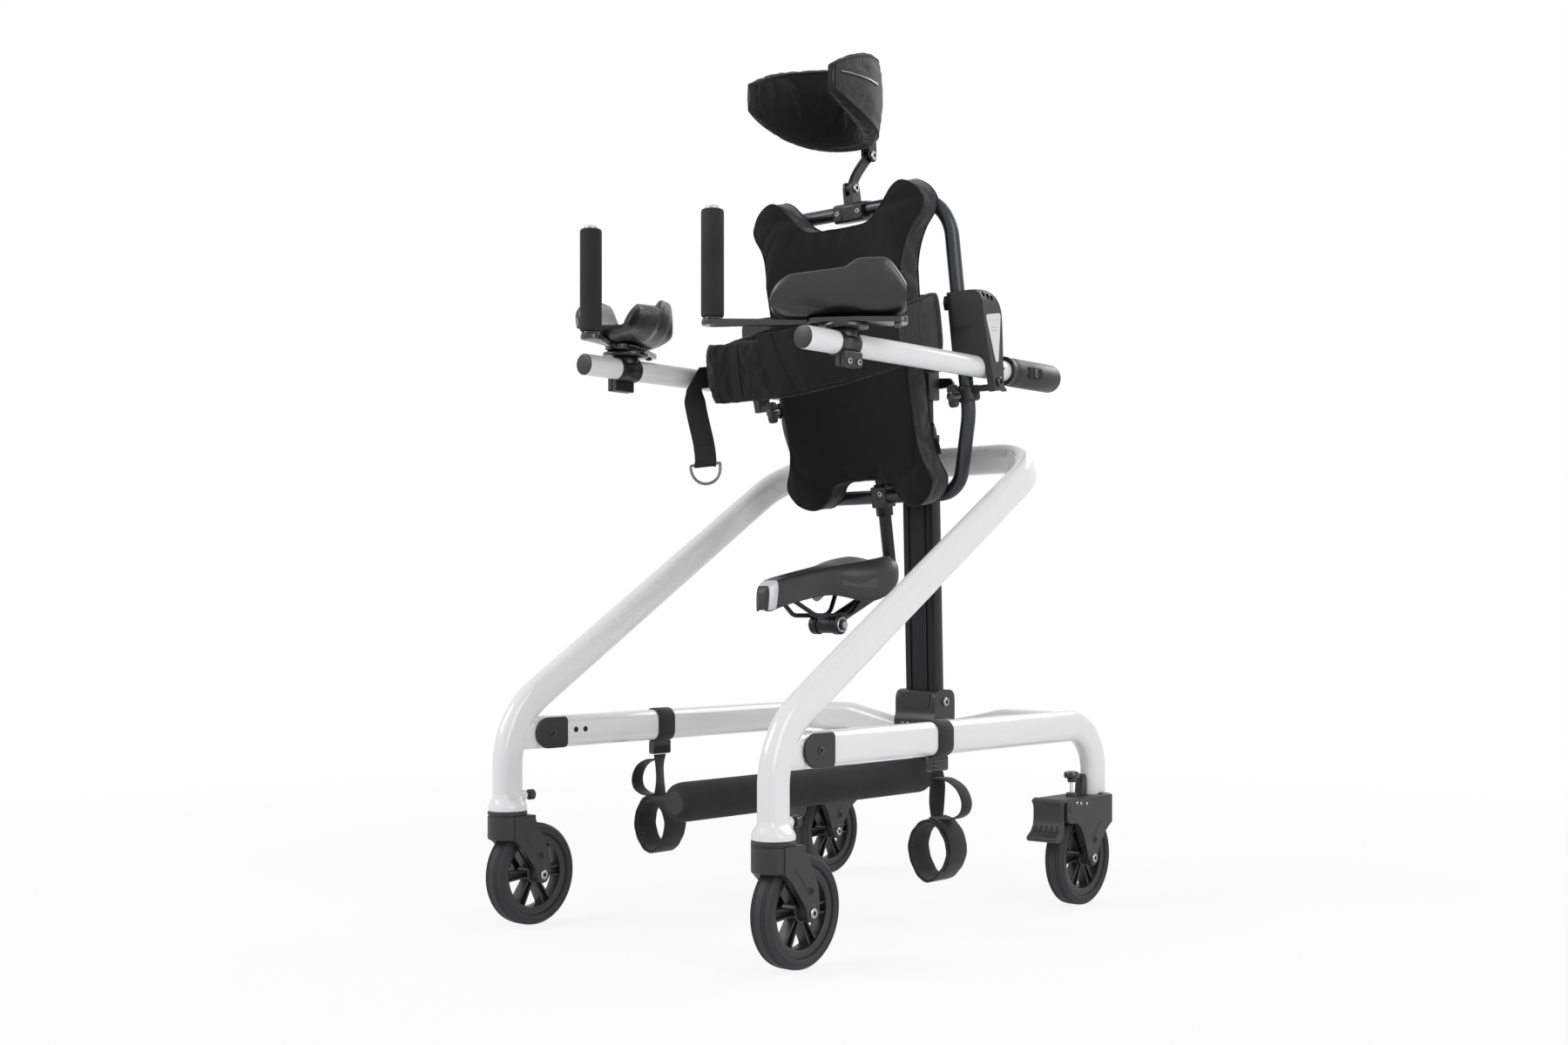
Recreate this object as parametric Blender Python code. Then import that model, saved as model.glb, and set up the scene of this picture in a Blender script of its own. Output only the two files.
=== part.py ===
"""A gait trainer: a wheeled frame with a column that carries trunk, arm, head and saddle supports.

Metres. +X is the user's left, +Y is behind the user, +Z is up.
The origin is on the floor, in the middle of the wheels.
"""
import math

import bmesh
import bpy
from mathutils import Matrix, Vector

# Clearances
GAP = 0.0003
RUNNING = 0.0003
SIDES = 16

# Wheels and casters
WHEELBASE = 0.680
TRACK = 0.512
WHEEL_RADIUS = 0.075
TYRE_WIDTH = 0.032
TYRE_DEPTH = 0.015
TREAD_HALF = 0.008
SHOULDER_DROP = 0.003
BEAD_INSET = 0.003
RIM_WALL = 0.012
WEB_HALF = 0.007
HUB_RADIUS = 0.0145
AXLE_RADIUS = 0.005
AXLE_HEAD_RADIUS = 0.008
AXLE_HEAD_HEIGHT = 0.004
SPOKES = 6
SPOKE_WIDTH = 0.011
WHEEL_SIDES = 24
WHEEL_CLEARANCE = 0.006
WHEEL_SIDE_CLEARANCE = 0.0035
FRONT_TRAIL = 0.043
REAR_TRAIL = 0.045
FORK_TOP = 0.170
FORK_HEAD_RADIUS = 0.0285
FORK_HEAD_HEIGHT = 0.040
FORK_ARM = 0.010
STEM_RADIUS = 0.006
STEM_HEIGHT = 0.028
PEDAL_HALF = 0.026
REAR_HOUSING_REACH = 0.122
LOCK_REACH = 0.063
LOCK_STEM_RADIUS = 0.0025
LOCK_KNOB_RADIUS = 0.012
LOCK_KNOB_Z = 0.192
PLUNGER_Z = 0.190
PLUNGER_BOSS_REACH = 0.033
PLUNGER_BOSS_RADIUS = 0.007
PLUNGER_PIN_RADIUS = 0.003
PLUNGER_KNOB_RADIUS = 0.008

# Frame tubes, a flat oval section
TUBE_LONG = 0.048
TUBE_SHORT = 0.029
TUBE_SIDES = 12
COLLAR_HEIGHT = 0.027
COLLAR_FLARE = 0.018
HOOP_KNEE_Z = 0.301
HOOP_KNEE_RADIUS = 0.120
HOOP_SLOPE = math.radians(32.2)
HOOP_BACK_Y = 0.242
HOOP_CORNER_RADIUS = 0.080
RAIL_Z = 0.280
RAIL_BEND_RADIUS = 0.072
JOINT_Y = -0.3125
JOINT_SEAM = 0.0175
COVER_LENGTH = 0.061
COVER_HEIGHT = 0.046
COVER_THICKNESS = 0.005
COVER_PIN_RADIUS = 0.004
CROSS_Y = 0.286
CROSS_DIP = 0.020
CROSS_DIP_START = 0.155
CROSS_DIP_END = 0.060
CROSS_BEND_RADIUS = 0.060

# Column, its bracket and the mast that slides in it
BRACKET_HALF_WIDTH = 0.040
BRACKET_DEPTH = 0.054
BRACKET_TOP = 0.331
BRACKET_SKIRT = 0.024
BRACKET_FLOOR = 0.0135
BRACKET_ROUND = 0.016
PIVOT_Z = 0.311
PIVOT_RADIUS = 0.004
PIVOT_HEAD_RADIUS = 0.008
PIVOT_HEAD_HEIGHT = 0.005
COLUMN_WIDTH = 0.060
COLUMN_DEPTH = 0.024
COLUMN_LEAN = math.radians(1.7)
COLUMN_FOOT = 0.011
COLUMN_TOP = 0.430
COLUMN_FLOOR = 0.030
COLUMN_GROOVE_WIDTH = 0.007
COLUMN_GROOVE_DEPTH = 0.002
COLUMN_GROOVE_X = 0.016
CHEEK_CLEARANCE = 0.0005
FOOT_CLEARANCE = 0.0025
MAST_WIDTH = 0.046
MAST_DEPTH = 0.015
MAST_BOTTOM = 0.220
MAST_TOP = 0.560

# Trunk support, in a plane that leans forward
TRUNK_Y = 0.174
TRUNK_Z = 0.640
TRUNK_LEAN = math.radians(9.5)
LOOP_RADIUS = 0.011
LOOP_SIDES = 10
LOOP_HALF_WIDTH = 0.180
LOOP_FOOT_HALF = 0.148
LOOP_HEIGHT = 0.447
LOOP_FLARE_Z = 0.120
LOOP_TOP_BEND = 0.060
LOOP_FOOT_BEND = 0.045
LOOP_SIDE_BEND = 0.120
CROSSBAR_RADIUS = 0.0085
CROSSBAR_Z = 0.195
SLEEVE_RADIUS = 0.0135
SLEEVE_LOW = -0.022
SLEEVE_HIGH = 0.020
CARRIER_HALF_WIDTH = 0.020
CARRIER_PLATE = 0.006
CARRIER_CLAMP_WALL = 0.008
CARRIER_HEIGHT = 0.060
CARRIER_Z = 0.800
PAD_THICKNESS = 0.0355
PAD_BOW = 0.027
PAD_BOW_WIDTH = 0.128
PAD_BOW_RUN = 0.100
BELT_HEIGHT = 0.0935
BELT_THICKNESS = 0.018
BELT_ROOT_Z = 0.261
BELT_ROOT_Y = -0.026
BELT_DROP = 0.218
STRAP_WIDTH = 0.030
STRAP_THICKNESS = 0.0025
STRAP_CLEARANCE = 0.0005
STRAP_START = -0.135
STRAP_LOWERING = 0.020
STRAP_REACH = 0.094
STRAP_SWAY = 0.025
STRAP_TWIST = math.radians(38)
STRAP_DROP = 0.115
RING_CLEARANCE = 0.0012
RING_WIDTH = 0.046
RING_HEIGHT = 0.034
RING_WIRE = 0.002

# Head support
HEAD_CLAMP_WIDTH = 0.056
HEAD_CLAMP_DEPTH = 0.034
HEAD_CLAMP_HEIGHT = 0.026
HEAD_JOINT_SHIFT = -0.0015
HEAD_JOINT_RISE = 0.035
HEAD_LINK_RUN = 0.045
HEAD_LINK_RISE = 0.059
HEAD_STEM_HEIGHT = 0.032
HEAD_PLATE_HALF = 0.022
HEAD_PLATE_THICKNESS = 0.010
LINK_THICKNESS = 0.008
LINK_RADIUS = 0.010
HEAD_PAD_RISE = 0.069
HEAD_PAD_SETBACK = 0.014
HEAD_PAD_HALF_WIDTH = 0.080
HEAD_PAD_DEPTH = 0.132
HEAD_PAD_HEIGHT = 0.132
HEAD_PAD_THICKNESS = 0.036
HEAD_PAD_SWEEP = math.radians(101)

# Arm supports
ARM_X = 0.212
ARM_Z = 0.824
ARM_RADIUS = 0.016
ARM_FRONT = -0.282
ARM_BACK = 0.300
SLEEVE_START = 0.197
SLEEVE_END = 0.330
SLEEVE_WALL = 0.0057
HOUSING_DEPTH = 0.046
HOUSING_INNER = 0.014
HOUSING_TOP = 0.302
HOUSING_MID = 0.212
HOUSING_LOW = 0.150
HOUSING_PLATE = 0.010
HOUSING_TAIL_HALF = 0.013
CLAMP_FOOT_RADIUS = 0.019
CLAMP_FOOT_LOW = 0.138
CLAMP_FOOT_HIGH = 0.160
KNOB_Z = 0.149
KNOB_SHAFT = 0.011
KNOB_HALF = 0.017
KNOB_THICKNESS = 0.013
FOREARM_Y = -0.188
FOREARM_CLAMP_HALF = 0.020
FOREARM_CLAMP_WALL = 0.0020
FOREARM_EAR_DROP = 0.034
TURNTABLE_RADIUS = 0.035
TURNTABLE_THICKNESS = 0.008
TURNTABLE_RISE = 0.0185
BAR_THICKNESS = 0.008
BAR_HALF_WIDTH = 0.015
BAR_TAIL = 0.090
GRIP_RADIUS = 0.0158
GRIP_LENGTH = 0.156
TROUGH_WALL = 0.007
TROUGH_FRONT = -0.098
TROUGH_BACK = 0.086
REACH = {"left": 0.179, "right": 0.140}
YAW = {"left": math.radians(-52.8), "right": math.radians(25.0)}

# Saddle
POST_RADIUS = 0.010
POST_TOP = 0.110
POST_ELBOW_Y = 0.203
POST_ELBOW_Z = 0.497
POST_BEND = 0.040
SEAT_PIVOT_Y = 0.036
SEAT_PIVOT_Z = 0.438
SEAT_FRONT = -0.119
SEAT_BACK = 0.146
SEAT_HALF_WIDTH = 0.076
SEAT_NOSE_HALF = 0.019
SEAT_RISE = 0.063
SEAT_SHELL = 0.019
SEAT_RAIL_RADIUS = 0.0035
SEAT_RAIL_X = 0.022
SEAT_CHEEK_RADIUS = 0.013

# Leg divider and ankle straps
DIVIDER_RADIUS = 0.028
DIVIDER_Z = 0.192
DIVIDER_FRONT = -0.300
DIVIDER_BACK = 0.275
DIVIDER_BRACKET_HALF = 0.018
ANKLE_Y = {"left": -0.032, "right": -0.070}
WEBBING = 0.0025
WEBBING_WIDTH = 0.035
CUFF_WIDTH = 0.048
CUFF_HALF_X = 0.034
CUFF_HALF_Z = 0.0435
CUFF_Z = 0.1235
BUCKLE_HEIGHT = 0.018
CUFF_PLAY = 0.0012
CURL_REACH = 0.052
CURL_DROP = 0.008

HALF_TRACK = TRACK / 2
FRONT_LEG_Y = -WHEELBASE / 2 - FRONT_TRAIL
REAR_LEG_Y = WHEELBASE / 2 + REAR_TRAIL
LEG_FOOT = FORK_TOP + GAP
FORK_HALF = TYRE_WIDTH / 2 + WHEEL_SIDE_CLEARANCE + FORK_ARM
RAIL_SIDE = TUBE_SHORT / 2
TURNTABLE_Z = ARM_Z + TURNTABLE_RISE
BAR_LOW = TURNTABLE_Z + TURNTABLE_THICKNESS - 0.0005
BAR_TOP = BAR_LOW + BAR_THICKNESS
GRIP_TOP = BAR_TOP + GRIP_LENGTH
TRUNK_FRAME = Matrix.Translation((0, TRUNK_Y, TRUNK_Z)) @ Matrix.Rotation(TRUNK_LEAN, 4, "X")
HEAD_JOINT = TRUNK_FRAME @ Vector((0, HEAD_JOINT_SHIFT, LOOP_HEIGHT + HEAD_JOINT_RISE))
HEAD_ELBOW = HEAD_JOINT + Vector((0, HEAD_LINK_RUN, HEAD_LINK_RISE))


def clear_scene():
    for thing in list(bpy.data.objects):
        bpy.data.objects.remove(thing, do_unlink=True)


def material(name, colour, roughness, metallic=0.0):
    made = bpy.data.materials.new(name)
    made.use_nodes = True
    shader = made.node_tree.nodes["Principled BSDF"]
    shader.inputs["Base Color"].default_value = (*colour, 1.0)
    shader.inputs["Roughness"].default_value = roughness
    shader.inputs["Metallic"].default_value = metallic
    return made


def add_empty(name, matrix, parent=None):
    holder = bpy.data.objects.new(name, None)
    bpy.context.collection.objects.link(holder)
    holder.parent = parent
    holder.matrix_basis = matrix
    return holder


def add_mesh(name, shape, finish, parent=None, matrix=None):
    """Links a closed mesh of (points, faces) with its faces pointing out."""
    points, faces = shape
    mesh = bpy.data.meshes.new(name)
    mesh.from_pydata([tuple(p) for p in points], [], faces)
    work = bmesh.new()
    work.from_mesh(mesh)
    bmesh.ops.recalc_face_normals(work, faces=work.faces)
    work.to_mesh(mesh)
    work.free()
    mesh.shade_smooth()
    mesh.set_sharp_from_angle(angle=math.radians(35))
    if finish:
        mesh.materials.append(finish)
    made = bpy.data.objects.new(name, mesh)
    bpy.context.collection.objects.link(made)
    made.parent = parent
    if matrix is not None:
        made.matrix_basis = matrix
    return made


def combine(target, operation, shape, matrix=None):
    """Adds a Boolean with a hidden operand in the target's own space."""
    count = len(target.modifiers)
    operand = add_mesh(f"{target.name}_guide_{count}", shape, None, target, matrix)
    operand.hide_render = True
    operand.display_type = "WIRE"
    step = target.modifiers.new(f"{operation.lower()}_{count}", "BOOLEAN")
    step.operation = operation
    step.solver = "EXACT"
    step.object = operand


def unite(target, shape, matrix=None):
    combine(target, "UNION", shape, matrix)


def cut(target, shape, matrix=None):
    combine(target, "DIFFERENCE", shape, matrix)


def merge_shapes(shapes):
    """Puts several separate closed shapes into one operand."""
    points, faces = [], []
    for part_points, part_faces in shapes:
        start = len(points)
        points += part_points
        faces += [[index + start for index in face] for face in part_faces]
    return points, faces


def loft(rings, closed=False):
    """Skins rings of equal length, with flat ends unless the row of rings is closed."""
    count = len(rings[0])
    points = [Vector(p) for ring in rings for p in ring]
    faces = []
    spans = len(rings) if closed else len(rings) - 1
    for row in range(spans):
        low = row * count
        high = (row + 1) % len(rings) * count
        for i in range(count):
            j = (i + 1) % count
            faces.append([low + i, low + j, high + j, high + i])
    if not closed:
        faces.append(list(range(count)))
        faces.append(list(range(len(points) - count, len(points))))
    return points, faces


def inset(outline, distance):
    """Moves each side of an anticlockwise outline inwards."""
    moved = []
    count = len(outline)
    for i in range(count):
        here = Vector(outline[i])
        before = (here - Vector(outline[i - 1])).normalized()
        after = (Vector(outline[(i + 1) % count]) - here).normalized()
        first = Vector((-before.y, before.x))
        second = Vector((-after.y, after.x))
        moved.append(here + (first + second) * (distance / (1 + first.dot(second))))
    return moved


def anticlockwise(outline):
    area = sum(a[0] * b[1] - b[0] * a[1] for a, b in zip(outline, outline[1:] + outline[:1]))
    return list(outline) if area > 0 else list(reversed(outline))


def prism(outline, axis, low, high, edge=0.0):
    """Extrudes an outline along X (of y, z), Y (of x, z) or Z (of x, y), with chamfered rims."""
    outline = anticlockwise([tuple(p) for p in outline])

    def place(pair, level):
        if axis == "X":
            return Vector((level, pair[0], pair[1]))
        if axis == "Y":
            return Vector((pair[0], level, pair[1]))
        return Vector((pair[0], pair[1], level))

    levels = [(low, 0.0), (high, 0.0)]
    if edge:
        levels = [(low, edge), (low + edge, 0.0), (high - edge, 0.0), (high, edge)]
    rings = []
    for level, shrink in levels:
        pairs = inset(outline, shrink) if shrink else outline
        rings.append([place(pair, level) for pair in pairs])
    return loft(rings)


def block(low, high, edge=0.0):
    return prism([(low[0], low[1]), (high[0], low[1]), (high[0], high[1]), (low[0], high[1])],
                 "Z", low[2], high[2], edge)


def turn(profile, axis="Z", centre=(0, 0, 0), sides=SIDES, phase=0.0):
    """Turns a profile of (radius, height) about an axis. Its ends close on the axis."""
    points, faces, rows = [], [], []
    for radius, height in profile:
        if radius <= 0:
            rows.append([len(points)])
            points.append((0.0, 0.0, height))
            continue
        rows.append(list(range(len(points), len(points) + sides)))
        for i in range(sides):
            angle = 2 * math.pi * (i + phase) / sides
            points.append((radius * math.cos(angle), radius * math.sin(angle), height))
    for low, high in zip(rows, rows[1:]):
        for i in range(sides):
            j = (i + 1) % sides
            if len(low) == 1:
                faces.append([low[0], high[j], high[i]])
            elif len(high) == 1:
                faces.append([low[i], low[j], high[0]])
            else:
                faces.append([low[i], low[j], high[j], high[i]])
    turned = {"X": lambda p: (p[2], p[0], p[1]), "Y": lambda p: (p[1], p[2], p[0]), "Z": lambda p: p}[axis]
    return [Vector(turned(p)) + Vector(centre) for p in points], faces


def rod(radius, low, high, axis="Z", centre=(0, 0, 0), sides=SIDES, edge=0.0):
    if edge:
        profile = [(0, low), (radius - edge, low), (radius, low + edge),
                   (radius, high - edge), (radius - edge, high), (0, high)]
    else:
        profile = [(0, low), (radius, low), (radius, high), (0, high)]
    return turn(profile, axis, centre, sides)


def turned_ring(profile, axis, centre=(0, 0, 0), sides=SIDES, phase=0.0):
    """Turns a closed profile of (radius, height) that stays off the axis."""
    rings = []
    for i in range(sides):
        angle = 2 * math.pi * (i + phase) / sides
        ring = []
        for radius, height in profile:
            a, b = radius * math.cos(angle), radius * math.sin(angle)
            ring.append({"X": (height, a, b), "Y": (b, height, a), "Z": (a, b, height)}[axis])
        rings.append([Vector(p) + Vector(centre) for p in ring])
    return loft(rings, closed=True)


def flat_oval(long, short, sides=TUBE_SIDES):
    """Outline of (short way, long way) pairs, with an even number of points on each end."""
    pairs = []
    for i in range(sides):
        angle = 2 * math.pi * (i + 0.5) / sides
        side = math.copysign((long - short) / 2, math.sin(angle))
        pairs.append((short / 2 * math.cos(angle), side + short / 2 * math.sin(angle)))
    return pairs


def circle(radius, sides=TUBE_SIDES):
    return flat_oval(2 * radius, 2 * radius, sides)


def blended(first, second, share):
    return [tuple(Vector(a).lerp(Vector(b), share)) for a, b in zip(first, second)]


def bent(corners, radii, steps=6):
    """A path through corners, with an arc of the given radius at each inner corner."""
    corners = [Vector(c) for c in corners]
    path = [corners[0]]
    for i, radius in enumerate(radii, start=1):
        before = (corners[i - 1] - corners[i]).normalized()
        after = (corners[i + 1] - corners[i]).normalized()
        half = before.angle(after) / 2
        reach = radius / math.tan(half)
        centre = corners[i] + (before + after).normalized() * (radius / math.sin(half))
        start = corners[i] + before * reach - centre
        end = corners[i] + after * reach - centre
        sweep_angle = start.angle(end)
        for k in range(steps + 1):
            share = k / steps
            a = math.sin((1 - share) * sweep_angle) / math.sin(sweep_angle)
            b = math.sin(share * sweep_angle) / math.sin(sweep_angle)
            path.append(centre + start * a + end * b)
    path.append(corners[-1])
    return path


def sweep(path, outlines, across, closed=False):
    """Carries an outline along a path without twist. across is the first outline's first axis."""
    count = len(path)
    if not isinstance(outlines[0], list):
        outlines = [outlines] * count
    tangents = []
    for i in range(count):
        before = path[i] - path[i - 1] if i or closed else path[1] - path[0]
        after = path[(i + 1) % count] - path[i] if i < count - 1 or closed else path[-1] - path[-2]
        tangents.append((before.normalized() + after.normalized()).normalized())
    first = Vector(across)
    rings = []
    for i in range(count):
        if i:
            first = tangents[i - 1].rotation_difference(tangents[i]) @ first
        first = (first - tangents[i] * first.dot(tangents[i])).normalized()
        second = tangents[i].cross(first)
        rings.append([path[i] + first * a + second * b for a, b in outlines[i]])
    return loft(rings, closed)


def wheel_spokes(inner, outer):
    """The spokes as separate bars that reach into the hub and into the rim's ring."""
    spokes = []
    for k in range(SPOKES):
        angle = 2 * math.pi * k / SPOKES
        along = Vector((math.cos(angle), math.sin(angle)))
        across = Vector((-along.y, along.x)) * (SPOKE_WIDTH / 2)
        outline = [along * inner - across, along * outer - across, along * outer + across, along * inner + across]
        spokes.append(prism(outline, "X", -WEB_HALF, WEB_HALF))
    return merge_shapes(spokes)


def add_wheel(tag, holder, finishes):
    """A spoked rim and its tyre round the holder's X axis. Flats face down, ahead and behind."""
    apothem = 1 / math.cos(math.pi / WHEEL_SIDES)
    half = TYRE_WIDTH / 2
    bead = (WHEEL_RADIUS - TYRE_DEPTH) * apothem
    lip = half - BEAD_INSET
    hub_half = half + WHEEL_SIDE_CLEARANCE - 0.001
    bore = AXLE_RADIUS + RUNNING
    inner = bead - RIM_WALL * apothem
    rim_half = lip - GAP
    ring = [(inner, -WEB_HALF), (inner + 0.004, -rim_half), (bead - GAP, -rim_half), (bead - GAP, rim_half),
            (inner + 0.004, rim_half), (inner, WEB_HALF)]
    made = add_mesh(f"rim_{tag}", turned_ring(ring, "X", sides=WHEEL_SIDES, phase=0.5), finishes["rim"], holder)
    unite(made, wheel_spokes(HUB_RADIUS - 0.003, inner + 0.003))
    hub = [(bore, -hub_half), (HUB_RADIUS, -hub_half), (HUB_RADIUS, hub_half), (bore, hub_half)]
    unite(made, turned_ring(hub, "X", sides=12))
    top = WHEEL_RADIUS * apothem
    shoulder = top - SHOULDER_DROP
    belly = top - TYRE_DEPTH * 0.62
    tyre = [(bead + GAP, -lip), (belly, -half), (shoulder, -half * 0.8), (top, -TREAD_HALF),
            (top, TREAD_HALF), (shoulder, half * 0.8), (belly, half), (bead + GAP, lip)]
    add_mesh(f"tyre_{tag}", turned_ring(tyre, "X", sides=WHEEL_SIDES, phase=0.5), finishes["tyre"], holder)


def front_fork_outline():
    """Side view of the arms as (distance along the trail, height)."""
    trail, axle = FRONT_TRAIL, WHEEL_RADIUS
    return [(-0.010, FORK_TOP - 0.045), (-0.002, axle + 0.044), (trail - 0.025, axle + 0.028),
            (trail - 0.014, axle + 0.008), (trail - 0.010, axle - 0.006), (trail, axle - 0.0125),
            (trail + 0.010, axle - 0.007), (trail + 0.0125, axle + 0.002), (trail + 0.013, axle + 0.018),
            (trail + 0.008, axle + 0.040), (trail + 0.001, axle + 0.057), (trail - 0.009, axle + 0.073),
            (0.022, FORK_TOP - 0.012), (-0.010, FORK_TOP - 0.012)]


def rear_fork_outline():
    trail, axle = REAR_TRAIL, WHEEL_RADIUS
    reach = REAR_HOUSING_REACH
    return [(-0.010, FORK_TOP - 0.045), (0.011, axle + 0.040), (trail - 0.012, axle + 0.014),
            (trail - 0.010, axle - 0.006), (trail, axle - 0.0125), (trail + 0.011, axle - 0.006),
            (trail + 0.017, axle + 0.002), (trail + 0.028, axle + 0.034), (trail + 0.040, axle + 0.053),
            (reach - 0.004, axle + 0.057), (reach, axle + 0.065), (reach, FORK_TOP - 0.006),
            (reach - 0.008, FORK_TOP), (-0.010, FORK_TOP)]


def add_fork(tag, holder, outline, trail, facing, finish):
    """A swivel fork with its stem and axle. facing is the way the wheel trails along Y."""
    half = FORK_HALF
    arms = prism([(facing * t, z) for t, z in outline], "X", -half, half)
    made = add_mesh(f"fork_{tag}", arms, finish, holder)
    low = FORK_TOP - FORK_HEAD_HEIGHT
    radius = FORK_HEAD_RADIUS
    head = [(0, low), (radius - 0.002, low), (radius, low + 0.003), (radius, FORK_TOP), (STEM_RADIUS, FORK_TOP),
            (STEM_RADIUS, FORK_TOP + STEM_HEIGHT), (0, FORK_TOP + STEM_HEIGHT)]
    unite(made, turn(head))
    slot = TYRE_WIDTH / 2 + WHEEL_SIDE_CLEARANCE
    wheel = (0, facing * trail, WHEEL_RADIUS)
    cut(made, rod(WHEEL_RADIUS + WHEEL_CLEARANCE, -slot, slot, "X", wheel, 28))
    head_end = half + AXLE_HEAD_HEIGHT
    axle = [(0, -head_end), (AXLE_HEAD_RADIUS, -head_end), (AXLE_HEAD_RADIUS, 0.002 - half),
            (AXLE_RADIUS, 0.002 - half), (AXLE_RADIUS, half - 0.002), (AXLE_HEAD_RADIUS, half - 0.002),
            (AXLE_HEAD_RADIUS, head_end), (0, head_end)]
    unite(made, turn(axle, "X", wheel, 12))
    return made


def add_front_caster(side, finishes):
    tag = f"front_{side}"
    x = HALF_TRACK if side == "left" else -HALF_TRACK
    swivel = add_empty(f"swivel_{tag}", Matrix.Translation((x, FRONT_LEG_Y, 0)))
    add_fork(tag, swivel, front_fork_outline(), FRONT_TRAIL, 1, finishes["fork"])
    hub = add_empty(f"hub_{tag}", Matrix.Translation((0, FRONT_TRAIL, WHEEL_RADIUS)), swivel)
    add_wheel(tag, hub, finishes)
    reach = PLUNGER_BOSS_REACH + GAP
    knob = [(0, reach), (PLUNGER_PIN_RADIUS, reach), (PLUNGER_PIN_RADIUS, reach + 0.005),
            (PLUNGER_KNOB_RADIUS - 0.001, reach + 0.006), (PLUNGER_KNOB_RADIUS, reach + 0.009),
            (PLUNGER_KNOB_RADIUS, reach + 0.014), (PLUNGER_KNOB_RADIUS - 0.002, reach + 0.016), (0, reach + 0.016)]
    boss = add_empty(f"boss_{tag}", Matrix.Translation((x, FRONT_LEG_Y, PLUNGER_Z)))
    add_mesh(f"lock_plunger_{tag}", turn(knob, "Y", sides=12), finishes["knob"], boss)


def add_rear_caster(side, finishes):
    tag = f"rear_{side}"
    x = HALF_TRACK if side == "left" else -HALF_TRACK
    swivel = add_empty(f"swivel_{tag}", Matrix.Translation((x, REAR_LEG_Y, 0)))
    fork = add_fork(tag, swivel, rear_fork_outline(), REAR_TRAIL, -1, finishes["fork"])
    latch_y = -TUBE_LONG / 2 - 0.004
    latch = [(latch_y, FORK_TOP - 0.002), (latch_y, FORK_TOP + 0.024), (latch_y - 0.004, FORK_TOP + 0.034),
             (latch_y - 0.010, FORK_TOP + 0.033), (latch_y - 0.014, FORK_TOP + 0.016),
             (latch_y - 0.016, FORK_TOP - 0.002)]
    unite(fork, prism(latch, "X", -0.007, 0.007))
    hub = add_empty(f"hub_{tag}", Matrix.Translation((0, -REAR_TRAIL, WHEEL_RADIUS)), swivel)
    add_wheel(tag, hub, finishes)
    back = -REAR_HOUSING_REACH - 0.0015
    pivot = FORK_TOP - 0.004
    pedal = [(0.0, 0.003), (-0.006, 0.006), (-0.013, 0.002), (-0.009, -0.006), (-0.008, -0.026),
             (-0.016, -0.041), (-0.027, -0.050), (-0.026, -0.058), (-0.015, -0.060), (-0.005, -0.055),
             (0.0, -0.041)]
    hinge = add_empty(f"pedal_pivot_{tag}", Matrix.Translation((0, back, pivot)), swivel)
    add_mesh(f"brake_pedal_{side}", prism(pedal, "X", -PEDAL_HALF, PEDAL_HALF, 0.0015), finishes["pedal"], hinge)
    foot = FORK_TOP + GAP
    stem, cap = LOCK_STEM_RADIUS, LOCK_KNOB_RADIUS
    knob = [(0, foot), (stem, foot), (stem, LOCK_KNOB_Z), (cap * 0.5, LOCK_KNOB_Z), (cap * 0.5, LOCK_KNOB_Z + 0.006),
            (cap - 0.001, LOCK_KNOB_Z + 0.007), (cap, LOCK_KNOB_Z + 0.012), (cap - 0.002, LOCK_KNOB_Z + 0.017),
            (0, LOCK_KNOB_Z + 0.018)]
    seat = add_empty(f"lock_seat_{tag}", Matrix.Translation((0, -LOCK_REACH, 0)), swivel)
    add_mesh(f"lock_knob_rear_{side}", turn(knob, sides=12), finishes["knob"], seat)


def add_hoop(finish):
    """The front legs and the hoop, one bent tube with flared collars and a stub to each rail."""
    rise = (HOOP_BACK_Y - FRONT_LEG_Y) * math.tan(HOOP_SLOPE)
    back_z = HOOP_KNEE_Z + rise
    x = HALF_TRACK
    neck = LEG_FOOT + COLLAR_HEIGHT
    corners = [(x, FRONT_LEG_Y, neck), (x, FRONT_LEG_Y, HOOP_KNEE_Z), (x, HOOP_BACK_Y, back_z),
               (-x, HOOP_BACK_Y, back_z), (-x, FRONT_LEG_Y, HOOP_KNEE_Z), (-x, FRONT_LEG_Y, neck)]
    radii = [HOOP_KNEE_RADIUS, HOOP_CORNER_RADIUS, HOOP_CORNER_RADIUS, HOOP_KNEE_RADIUS]
    tube = bent(corners, radii, 4)
    oval = flat_oval(TUBE_LONG, TUBE_SHORT)
    wide = circle(FORK_HEAD_RADIUS)
    foot = [(LEG_FOOT, wide), (LEG_FOOT + 0.005, wide),
            (LEG_FOOT + COLLAR_FLARE, blended(wide, oval, 0.75)),
            (LEG_FOOT + COLLAR_FLARE + 0.002, blended(wide, oval, 0.7))]
    first = [Vector((x, FRONT_LEG_Y, z)) for z, _ in foot]
    last = [Vector((-x, FRONT_LEG_Y, z)) for z, _ in reversed(foot)]
    outlines = [o for _, o in foot] + [oval] * len(tube) + [o for _, o in reversed(foot)]
    made = add_mesh("hoop_frame", sweep(first + tube + last, outlines, (1, 0, 0)), finish)
    seam = JOINT_Y - JOINT_SEAM - GAP
    for side in (x, -x):
        stub = [Vector((side, FRONT_LEG_Y, RAIL_Z)), Vector((side, seam, RAIL_Z))]
        unite(made, sweep(stub, oval, (1, 0, 0)))
        boss = rod(PLUNGER_BOSS_RADIUS, 0, PLUNGER_BOSS_REACH, "Y", (side, FRONT_LEG_Y, PLUNGER_Z), 12)
        unite(made, boss)
        bore = rod(STEM_RADIUS + RUNNING, -0.01, STEM_HEIGHT + 0.002, "Z", (side, FRONT_LEG_Y, FORK_TOP))
        cut(made, bore)


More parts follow.
